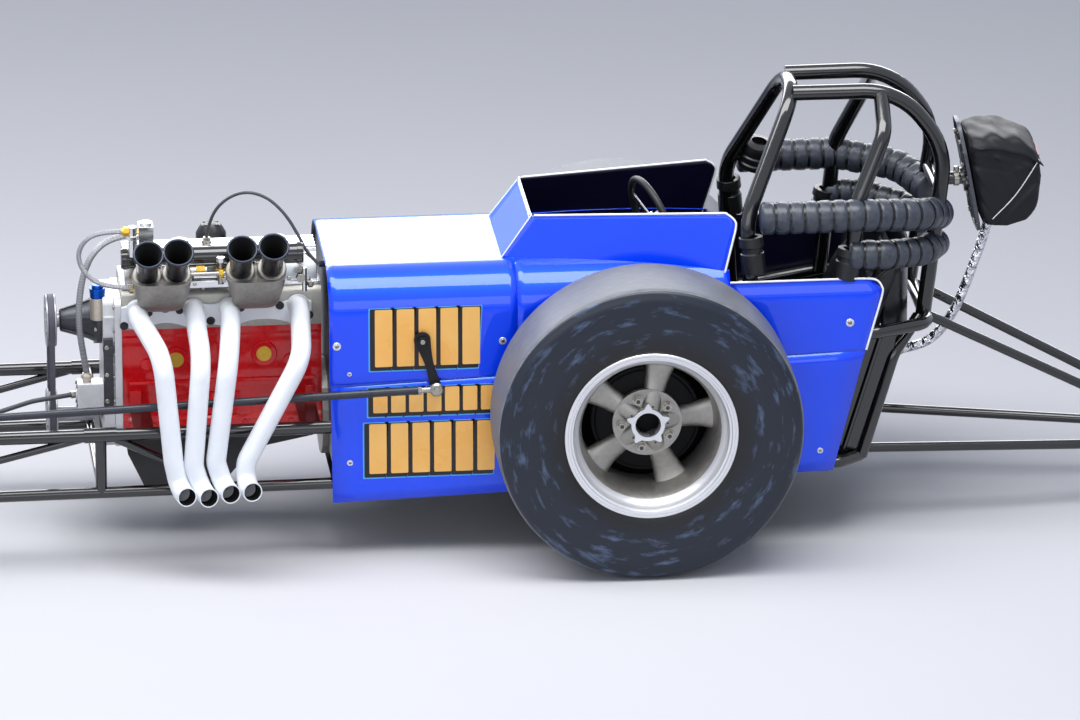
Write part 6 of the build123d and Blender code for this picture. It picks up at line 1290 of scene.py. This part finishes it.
FOIL = crumpled_foil()
SLEEVE_CLOTH = finish("tan_woven_sleeve", ("#b9ad8c", "#d8ceb0"), rough=(0.7, 0.85), grain=0.003,
                      bump=0.0002)
TETHER_ROUTE = ((-885, 0, 723.7), (-872, 0, 672), (-850, 0, 610), (-828, 0, 545), (-800, 0, 478),
                (-758, 0, 420), (-704, 0, 393), (-640.3, 0, 388))
tether = free_cord("foil_wrapped_tether", TETHER_ROUTE, 0.024, 0.4535, FOIL, "medium")
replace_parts(tether, "parachute_tether")
parts = [tube([(-0.64, 0, CROSS_Z), (-0.652, 0, 0.3885), (-0.676, 0, 0.39)], 0.0128, sides=32),
         (*stub(((-0.636, -0.646), 0, CROSS_Z), 0.0165, sides=32), 1),
         (*hexagon((-0.641, 0, (0.4, 0.41)), 0.007), 2),
         (*box_part((-0.64, -0.016, 0.372), (-0.606, -0.01, 0.404)), 1),
         (*box_part((-0.64, 0.01, 0.372), (-0.606, 0.016, 0.404)), 1)]
build("tether_lug", parts, [SLEEVE_CLOTH, BLACK_ENAMEL, NUT_STEEL], bevel=0.0008)

# The drums behind the wheels. Cast iron, with cooling ribs round the outside, on the axle's shafts.
# A black backing plate closes each, and stays on the axle; its dull near-black is painted shade inside the
# wheel.
IRON = finish("bare_cast_iron", ("#060607", "#141416"), 0.3, (0.5, 0.65), 0.01, 0.0003,
              **{"Specular IOR Level": 0.2})
# Painted shade: the backing plate's dull near-black stands for the shade inside the wheel.
SHADED_BLACK = finish("dull_black_painted_shade", ("#030303", "#060606"), rough=(0.6, 0.7), grain=0.01,
                      **{"Specular IOR Level": 0.15})
drum = [(0.196, 0.0002), (0.196, 0.02), (0.3247, 0.02), (0.3247, 0.112), (0.3262, 0.126)]
for y in 0.329 + 0.0085 * np.arange(6):
    drum += [(y, 0.126), (y + 0.0008, 0.132), (y + 0.0036, 0.132), (y + 0.0044, 0.126)]
drum += [(0.379, 0.124), (0.3807, 0.12), (0.3807, 0.0002)]
backing = [(0.269, 0.062), (0.269, 0.184), (0.271, 0.188), (0.2765, 0.188), (0.2765, 0.184),
           (0.2735, 0.181), (0.2735, 0.062)]
for name, hand in HANDS:
    for piece, line, material, body, node, closed in (
            ("brake_drum_", drum, IRON, "rear_" + name, "rear_hub_" + name, False),
            ("backing_plate_and_shade_disc_", backing, SHADED_BLACK, "root", (), True)):
        points, faces = lathe(line, REAR_HUB, 96, closed=closed)
        build(piece + name, [(points * (1, hand, 1), faces)], material, body, node)

# The steering. Its box sits inside the body's left side, and the column rises from it to a small
# three-spoked wheel. Outside, a forged arm hangs from the shaft and drives a long tube.
LEATHER = finish("black_stitched_leather", ("#101013", "#1e1e22"), rough=(0.4, 0.55), grain=0.003,
                 bump=0.0002)
FORGED_BLACK = finish("oiled_black_forging", ("#0b0b0e", "#1c1c21"), 0.4, (0.28, 0.45), 0.01, 0.0002)
PIVOT, ARM_END = np.array([0.531, 0.271, 0.554]), np.array([0.498, 0.271, 0.432])
WHEEL_AT, BOX_AT = np.array([-0.06, 0.0, 0.742]), np.array([0.491, 0.17, 0.574])
shaft_way = unit(WHEEL_AT - BOX_AT)
wheel_side = unit(np.array([0, 1.0, 0]) - shaft_way * shaft_way[1])
wheel_up = np.cross(shaft_way, wheel_side)


def on_wheel(across, up, out):
    """A point given in the steering wheel's own plane."""
    return (WHEEL_AT + np.multiply.outer(across, wheel_side) + np.multiply.outer(up, wheel_up)
            + np.multiply.outer(out, shaft_way))


turn, grip = np.meshgrid(whole_turn(96), whole_turn(20), indexing="ij")
radius = 0.111 + 0.0098 * np.cos(grip)
rim = on_wheel(radius * np.cos(turn), radius * np.sin(turn), 0.0088 * np.sin(grip))
parts = [skin(car(rim), along=True)]
ring = [(0.012, 0.015), (0.04, 0.011), (0.104, 0.009), (0.104, -0.009), (0.04, -0.011), (0.012, -0.015)]
for angle in np.radians((90, 210, 330)):
    c, s = math.cos(angle), math.sin(angle)
    layers = [np.array([on_wheel(r * c - w * s, r * s + w * c, out) for r, w in ring])
              for out in (-0.0025, 0.0015)]
    parts.append((*skin(car(np.array(layers)), ends=True), 1))
    for r in (0.05, 0.07, 0.088):
        hole = [on_wheel(r * c, r * s, out) for out in (-0.0027, 0.0018)]
        parts.append((*tube(hole, 0.0055 - 0.02 * (r - 0.05), sides=20), 2))
for near, far, radius, shade in ((-0.02, 0.004, 0.026, 1), (0.004, 0.008, 0.021, 2),
                                 (-0.088, -0.014, 0.009, 3)):
    parts.append((*tube([on_wheel(0, 0, near), on_wheel(0, 0, far)], radius, sides=32), shade))
parts += in_slot(3, [tube([on_wheel(c, s, 0.007), on_wheel(c, s, 0.0105)], 0.0028, sides=12)
                     for c, s in dots(0.0155, whole_turn(6, 0.5))])
build("steering_wheel_rim", parts, [LEATHER, POLISHED, SATIN_BLACK, NUT_STEEL], "steering_wheel",
      "steering_wheel", bevel=0.0005)
column_top = BOX_AT + shaft_way * (np.linalg.norm(WHEEL_AT - BOX_AT) - 0.09)
parts = [tube([BOX_AT, column_top], 0.014, sides=32),
         (*tube([column_top - shaft_way * 0.03, column_top], 0.0165, sides=32), 1),
         (*tube([BOX_AT + shaft_way * 0.02, BOX_AT + shaft_way * 0.075], 0.021, 0, 32), 1),
         (*box_part((0.487, 0.152, 0.516), (0.575, 0.232, 0.604)), 1),
         box_part((0.501, 0.226, 0.352), (0.561, 0.2355, 0.52)),
         (*stub((0.531, (0.205, 0.2355), 0.554), 0.03, 0.026, 40), 1),
         (*stub((0.531, 0.17, (0.603, 0.6075)), 0.024, sides=32), 1)]
parts += in_slot(2, [hexagon((x, (0.231, 0.2365), z), 0.0055)
                     for x, z in dots(0.034, np.radians((45, 135, 225, 315)), PIVOT[[0, 2]])]
                 + [hexagon((x, (0.234, 0.2385), z), 0.0065) for x in (0.514, 0.548)
                    for z in (0.395, 0.47)])
build("steering_gear", parts, [BLACK_ENAMEL, CAST_ALUMINIUM, NUT_STEEL], replaces="steering_box",
      bevel=0.002)

# The arm below the steering box: an oiled black forging, nutted to the box's shaft. Its outline is
# worked out in its own plane, as a round head, a waisted shank with two edges and a round foot.
start, end = PIVOT[[0, 2]], ARM_END[[0, 2]]
down = unit(end - start)
out_side = np.array([-down[1], down[0]])
half_round = [(math.cos(a), math.sin(a)) for a in np.linspace(0, math.pi, 16)]
shank = np.linspace(0, 1, 12)[2:-2]
waist = 0.0165 - 0.0055 * np.sin(shank * math.pi / 2) + 0.002 * np.cos(shank * 2 * math.pi)
edges = [[start + t * (end - start) + side * w * out_side for t, w in zip(shank, waist)]
         for side in (1, -1)]
ring = [start + 0.0205 * (c * out_side - s * down) for c, s in half_round[::-1]] + edges[0]
ring += [end + 0.0155 * (c * out_side + s * down) for c, s in half_round] + edges[1][::-1]
parts = [prism(ring, 0.2672, 0.2748),
         (*stub((PIVOT - (0, 0.06, 0), PIVOT + (0, 0.0035, 0)), 0.012, sides=32), 1),
         stub((PIVOT + (0, 0.003, 0), PIVOT + (0, 0.0065, 0)), 0.0165, sides=40),
         hexagon((PIVOT + (0, 0.006, 0), PIVOT + (0, 0.0145, 0)), 0.0125),
         (*stub((PIVOT + (0, 0.014, 0), PIVOT + (0, 0.0175, 0)), 0.006, sides=24), 1),
         (*hexagon((ARM_END - (0, 0.0105, 0), ARM_END - (0, 0.0035, 0)), 0.0095), 1)]
build("pitman_forging", parts, [FORGED_BLACK, NUT_STEEL], "pitman", "pitman_arm", bevel=0.0008)

# The drag link and the tie rod. Steel tubes, threaded at both ends for spherical rod ends that are
# held by lock nuts.
ROD_GREY = finish("dark_grey_tube", ("#23252b", "#3a3d46"), 0.3, (0.25, 0.38), 0.02)
TIE_RADIUS, EYE = 0.006, 0.017


def rod_end(at, way, axis, wide, shank=0.048):
    """A rod end: an eye about its axis, a shank along the rod, a lock nut and a round collar."""
    at, way, axis = (np.asarray(v, float) for v in (at, way, axis))
    eye = around_axis(at - axis * wide / 2, axis, [
        (0, TIE_RADIUS + 0.0008), (0, EYE - 0.004), (wide * 0.2, EYE), (wide * 0.8, EYE),
        (wide, EYE - 0.004), (wide, TIE_RADIUS + 0.0008), (0, TIE_RADIUS + 0.0008)], 40)
    return [*in_slot(1, [eye, stub((at + way * (EYE - 0.003), at + way * shank), 0.0075),
                         hexagon((at + way * (shank - 0.012), at + way * (shank - 0.002)), 0.0115)]),
            stub((at + way * (shank - 0.003), at + way * (shank + 0.012)), 0.0105)]


link_back = np.array([0.498, 0.2853, 0.432])
link_front = np.array([4.0, 0.355, 0.3506])
way = unit(link_front - link_back)
parts = [tube([link_back + way * 0.045, link_front - way * 0.045], 0.0098, sides=24)]
parts += rod_end(link_back, way, (0, 1, 0), 0.02) + rod_end(link_front, -way, (0, 0, 1), 0.022)
parts.append((*hexagon((link_back + (0, 0.0095, 0), link_back + (0, 0.0155, 0)), 0.0095), 1))
build("drag_link_tube", parts, [ROD_GREY, NUT_STEEL], "drag_link", "drag_link", bevel=0.0004)
ends = [np.array([3.916, side * 0.47, 0.274]) for side in (1, -1)]
parts = [tube([ends[0] - (0, 0.045, 0), ends[1] + (0, 0.045, 0)], 0.009, sides=24)]
for end, way in zip(ends, ((0, -1, 0), (0, 1, 0))):
    parts += rod_end(end, way, (0, 0, 1), 0.0215)
build("tie_rod_tube", parts, [ROD_GREY, NUT_STEEL], "tie_rod", "tie_rod", bevel=0.0004)

# The front wheels. Spun alloy rims on five thin spokes that are bolted to a turned hub, with narrow
# moulded tyres ribbed along the tread.
RIB_RUBBER = finish("front_tyre_rubber", ("#1a1b1f", "#2c2e34"), rough=(0.5, 0.7), grain=0.02, bump=0.0003)
FRONT_AT, FRONT_R, FRONT_Y = 4.0, 0.295, 0.56
tread = [(0.0, 0.2935)]
for k, y in enumerate((0.0035, 0.0125, 0.0215)):
    tread += [(y, 0.295 - 0.0004 * k), (y + 0.0045, 0.2948 - 0.0006 * k), (y + 0.005, 0.292 - 0.0006 * k),
              (y + 0.0085, 0.292 - 0.0008 * k)]
tread += [(0.031, 0.2895), (0.0345, 0.282), (0.036, 0.264), (0.035, 0.248), (0.032, 0.237), (0.03, 0.2293)]
tyre_line = np.concatenate([tread[::-1], (np.array(tread) * (-1, 1))[1:]])
front_rim = whole([(0.0, 0.2215), (0.016, 0.2215), (0.021, 0.225), (0.0285, 0.229), (0.03, 0.234),
                   (0.0315, 0.2352), (0.0325, 0.2345), (0.032, 0.227), (0.027, 0.2235), (0.02, 0.2205),
                   (0.014, 0.2175), (0.0, 0.2175)])
reach = np.linspace(0.018, 0.2195, 20)
share = (reach - reach[0]) / (reach[-1] - reach[0])
thin_spoke = spoke_shape(reach, 0.0145 - 0.0055 * share + 0.004 * np.abs(2 * share - 1) ** 6,
                         np.full(20, 0.013), np.full(20, 0.0125), (0, 0, 0), 0.6)
hub_line = [(-0.043, 0.0112), (-0.043, 0.024), (-0.038, 0.026), (0.008, 0.026), (0.0165, 0.0245),
            (0.017, 0.018), (0.021, 0.0175), (0.025, 0.014), (0.0265, 0.0085), (0.027, 0.0002)]
for name, hand in HANDS:
    hub_at = np.array([FRONT_AT, FRONT_Y, FRONT_R])
    tyre = [lathe(tyre_line, hub_at, ROUND, closed=True)]
    wheel = in_slot(1, [lathe(front_rim, hub_at, closed=True), lathe(hub_line, hub_at, 48)])
    arm = [(thin_spoke[0] + hub_at, thin_spoke[1])]
    bolt = [(*stub((hub_at + (0, 0.0165, 0.0215), hub_at + (0, 0.019, 0.0215)), 0.0032, sides=6), 2)]
    for turn in whole_turn(SPOKES, FIRST_SPOKE):
        wheel += spin(arm, turn, car(hub_at)) + spin(bolt, turn + math.pi / SPOKES, car(hub_at))
    for piece, made, materials, node in (
            ("ribbed_tyre_", tyre, RIB_RUBBER, "front_tyre_"),
            ("spun_wheel_", wheel, [CAST_ALUMINIUM, TURNED_ALUMINIUM, NUT_STEEL], "front_wheel_")):
        made = [(points * (1, hand, 1), *rest) for points, *rest in made]
        build(piece + name, made, materials, "front_" + name, node + name)

# The front axle and what locates it. A round tube between two bosses, radius rods from plates on
# the rails, and a torsion bar across the nose with an arm to each side. All enamelled black.
AXLE_Z = 0.295
parts = [stub((FRONT_AT, (-0.452, 0.452), AXLE_Z), 0.024, sides=40)]
half_parts = [stub((FRONT_AT, 0.47, (AXLE_Z - 0.032, AXLE_Z + 0.032)), 0.021, sides=40),
              prism(rounded([(3.966, 0.236), (4.022, 0.25), (4.026, 0.295), (4.022, 0.34), (3.966, 0.354)],
                            0.012), 0.325, 0.335)]
half_parts += [stub((FRONT_AT, (y, y + 0.004), AXLE_Z), 0.0275, sides=40) for y in (0.32, 0.336)]
build("front_axle_tube", parts + mirrored(half_parts), BLACK_ENAMEL, replaces="front_axle", bevel=0.001)
pivot = np.array([3.33, 0.1815, 0.265])
half_parts = []
for z in (0.345, 0.245):
    foot = np.array([3.968, 0.33, z])
    run = unit(pivot - foot)
    half_parts += [tube([foot + run * 0.03, pivot - run * 0.02], 0.01, sides=24),
                   tube([foot + run * 0.012, foot + run * 0.045], 0.0065, sides=16),
                   hexagon((foot + run * 0.026, foot + run * 0.035), 0.0115),
                   tube([foot - (0, 0.012, 0), foot + (0, 0.007, 0)], 0.0115, sides=24),
                   hexagon((foot - (0, 0.018, 0), foot - (0, 0.0115, 0)), 0.0085)]
half_parts += [tube([pivot - (0, 0.014, 0), pivot + (0, 0.012, 0)], 0.0155, sides=24),
               hexagon((pivot + (0, 0.0115, 0), pivot + (0, 0.019, 0)), 0.01),
               prism(rounded([(3.31, 0.176), (3.344, 0.176), (3.344, 0.35), (3.31, 0.35)], 0.008), 0.1595,
                     0.1665)]
parts = mirrored(half_parts)


def on_bar(y):
    """The point of the torsion bar at a distance from the middle."""
    return 3.75, y, 0.353


parts += mirrored([tube([on_bar(0.24), (3.996, 0.24, 0.366), (3.996, 0.24, 0.31)], 0.009, 0.02, sides=24),
                   tube([on_bar(0.222), on_bar(0.25)], 0.0225, sides=32),
                   hexagon((on_bar(0.2495), on_bar(0.2565)), 0.012),
                   tube([on_bar(0.108), on_bar(0.17)], 0.0215, sides=32)])
parts.append(tube([on_bar(-0.245), on_bar(0.245)], 0.019, sides=32))
build("radius_rods_and_torsion_bar", parts, BLACK_ENAMEL, replaces="front_links", bevel=0.0008)

# The fuel tank. A spun aluminium drum across the rails ahead, held down by two straps, with a
# screw cap on top and a line back along the left rail to the pump.
TANK_AT, TANK_Z, TANK_R = 3.56, 0.4506, 0.12
dome = [(0.19 - 0.03 * (r / TANK_R) ** 3, r) for r in np.linspace(0.0002, TANK_R, 16)]
tank_centre = (TANK_AT, 0, TANK_Z)
STRAPS = (0.105, -0.105)
parts = [lathe([(-y, r) for y, r in dome] + dome[::-1], tank_centre, 96)]
for places, rows, shade in (
        (STRAPS, ((-0.011, -0.001), (-0.011, 0.0016), (0.011, 0.0016), (0.011, -0.001)), 1),
        ((0.158, -0.158), ((-0.003, -0.001), (-0.001, 0.001), (0.001, 0.001), (0.003, -0.001)), 0)):
    parts += in_slot(shade, [lathe([(y + dy, TANK_R + dr) for dy, dr in rows], tank_centre, 96, closed=True)
                             for y in places])
parts += [stub((TANK_AT, 0, (TANK_Z + 0.112, TANK_Z + 0.128)), 0.03, sides=40),
          (*stub((TANK_AT, 0, (TANK_Z + 0.127, TANK_Z + 0.14)), 0.034, sides=12), 2)]
parts += [(*box_part((TANK_AT + side * 0.058 - 0.012, y - 0.012, 0.336),
                     (TANK_AT + side * 0.058 + 0.012, y + 0.012, 0.352)), 2) for side in (1, -1)
          for y in STRAPS]
RAIL_RUN = np.array([(1.7, 0.23, 0.348), (3.31, 0.151, 0.339)])
line_route = [(1.3552, 0.073, 0.376), (1.4652, 0.103, 0.372), *RAIL_RUN, (3.352, 0.06, 0.4436),
              (3.4417, 0.06, 0.4506)]
parts.append((*tube(line_route, 0.006, [0.12, 0.06, 0.03, 0.03], sides=16), 3))
parts += in_slot(2, [hexagon(((1.3545, 0.073, 0.376), (1.37, 0.0775, 0.3755)), 0.0095),
                     hexagon(((3.4285, 0.06, 0.4495), (3.4425, 0.06, 0.4506)), 0.0095)])
for x in np.linspace(1.76, 3.24, 6):
    at = on_rail(RAIL_RUN, x)
    parts += in_slot(2, [tube([at - (0.006, 0, 0), at + (0.006, 0, 0)], 0.0078),
                         tube([at, at + (0, 0.012, -0.016)], 0.003, sides=10)])
build("spun_fuel_tank", parts, [TURNED_ALUMINIUM, SATIN_BLACK, NUT_STEEL, RUBBER_SLEEVE],
      replaces="fuel_tank", bevel=0.0008)

# The wheelie wheels at the bar's end. Hard moulded rubber on small dished alloy hubs, which turn
# together on one steel axle with a nut at each end.
CASTOR_RUBBER = finish("hard_castor_rubber", ("#17181b", "#26272b"), rough=(0.5, 0.7), grain=0.01,
                       bump=0.0002)
tyre_half = [(0.0, 0.078), (0.012, 0.0778), (0.0175, 0.0755), (0.0198, 0.07), (0.02, 0.06),
             (0.0185, 0.0565)]
tyre_ring = np.array([(-y, r) for y, r in reversed(tyre_half)] + tyre_half[1:])
hub_ring = whole([(0.019, 0.0082), (0.019, 0.017), (0.006, 0.02), (0.006, 0.046), (0.0175, 0.05),
                  (0.0175, 0.0565)])
HUB_X, _, HUB_Z = WHEELIE_HUB
parts = [(*stub((HUB_X, (-0.125, 0.125), HUB_Z), 0.008), 2)]
for side in (1, -1):
    at = (HUB_X, side * 0.11, HUB_Z)
    parts += [lathe(tyre_ring, at, 72, closed=True), (*lathe(hub_ring, at, 72, closed=True), 1),
              (*stub((HUB_X, (side * 0.0753, side * 0.09), HUB_Z), 0.014), 2),
              (*hexagon((HUB_X, (side * 0.1285, side * 0.1355), HUB_Z), 0.0125), 2)]
    parts += in_slot(3, [stub((x, (at[1] - 0.0066, at[1] + 0.0066), z), 0.0075)
                         for x, z in dots(0.033, whole_turn(5), (HUB_X, HUB_Z))])
build("castor_wheels", parts, [CASTOR_RUBBER, CAST_ALUMINIUM, NUT_STEEL, SATIN_BLACK], "wheelie_wheels",
      "wheelie_wheels", bevel=0.0006)

# The pieces that keep the CAD's own shape take their paint here. They are enamelled steel, and the
# gearbox and the front knuckles are cast and forged.
# The firewall takes the navy painted shade of the sheets' inner faces.
for node, material in (("firewall", NAVY_SHADE_PAINT), ("floor_pan", SATIN_BLACK), ("rear_axle", BLACK_ENAMEL),
                       ("axle_plates", BLACK_ENAMEL), ("gearbox", CAST_ALUMINIUM),
                       ("knuckle_left", FORGED_BLACK), ("knuckle_right", FORGED_BLACK)):
    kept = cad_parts[node]
    kept.data.materials.clear()
    kept.data.materials.append(material)

# The camera stands to the car's left and a little above it, far off with a long lens. The floor
# is pale, and soft lamps stand over the car and beside the camera.
ACROSS, UP_ANGLE = math.radians(6.0), math.radians(19.8)
forward = -np.array([math.sin(ACROSS) * math.cos(UP_ANGLE), math.cos(ACROSS) * math.cos(UP_ANGLE),
                     math.sin(UP_ANGLE)])
right = np.array([-math.cos(ACROSS), math.sin(ACROSS), 0.0])
upward = np.cross(right, forward)
FOCAL, DISTANCE, SENSOR = 10417.0, 25.0, 36.0
VIEW_WIDE, VIEW_HIGH = 1080, 720
AIM_X, AIM_Y = 652.2, 437.1  # where the point aimed at stands in the view, in pixels
aim = car((0, 0.51, 0.372))
place = aim - DISTANCE * (forward + (AIM_X - VIEW_WIDE / 2) / FOCAL * right
                          - (AIM_Y - VIEW_HIGH / 2) / FOCAL * upward)
camera_data = bpy.data.cameras.new("camera")
camera_data.lens, camera_data.sensor_width = SENSOR * FOCAL / VIEW_WIDE, SENSOR
camera_data.clip_end = 200
camera = bpy.data.objects.new("camera", camera_data)
turned = np.eye(4)
turned[:3, 0], turned[:3, 1], turned[:3, 2], turned[:3, 3] = right, upward, -forward, place
camera.matrix_world = Matrix(turned.tolist())
bpy.context.scene.collection.objects.link(camera)
bpy.context.scene.camera = camera
bpy.context.scene.view_settings.view_transform = "Standard"

FLOOR = 40
floor_mesh = bpy.data.meshes.new("floor")
floor_mesh.from_pydata([(-FLOOR, -FLOOR, 0), (FLOOR, -FLOOR, 0), (FLOOR, FLOOR, 0), (-FLOOR, FLOOR, 0)], [],
                       [(0, 1, 2, 3)])
floor_mesh.materials.append(finish("pale_floor", ("#c2c2c7", "#cbcbcf"), rough=(0.8, 0.9), grain=2.0,
                                   **{"Specular IOR Level": 0.0}))
floor = bpy.data.objects.new("floor", floor_mesh)
bpy.context.scene.collection.objects.link(floor)

world = bpy.data.worlds.new("soft_sky")
bpy.context.scene.world = world
tree = empty_tree(world)
ray = add_node(tree, "LightPath")
light, reflected, shown = (add_node(tree, "Background", {"Color": linear(shade), "Strength": strength})
                           for shade, strength in (("#ccd5e6", 0.6), ("#dfe6f2", 1.0), ("#dfe3ea", 1.0)))
mix = light
for kind, sky in (("Is Glossy Ray", reflected), ("Is Camera Ray", shown)):
    mix = add_node(tree, "MixShader", {0: ray.outputs[kind], 1: mix.outputs[0], 2: sky.outputs[0]})
add_node(tree, "OutputWorld", {"Surface": mix.outputs[0]})
for name, spot, size, watts, seen in (("over", (0.3, 0.9, 5.0), (8, 2.4), 430, True),
                                      ("beside", (0.8, 8, 3.0), (8, 3), 105, True),
                                      ("card", (-0.3, -14, 6.5), (22, 7), 2700, False)):
    lamp_data = bpy.data.lights.new(name, "AREA")
    lamp_data.shape, lamp_data.size, lamp_data.size_y, lamp_data.energy = "RECTANGLE", *size, watts
    lamp = bpy.data.objects.new(name, lamp_data)
    lamp.location = spot
    way = Vector((0, 0, 0.4)) - Vector(spot)
    lamp.rotation_euler = way.to_track_quat("-Z", "Y").to_euler()
    lamp.visible_diffuse = seen
    bpy.context.scene.collection.objects.link(lamp)
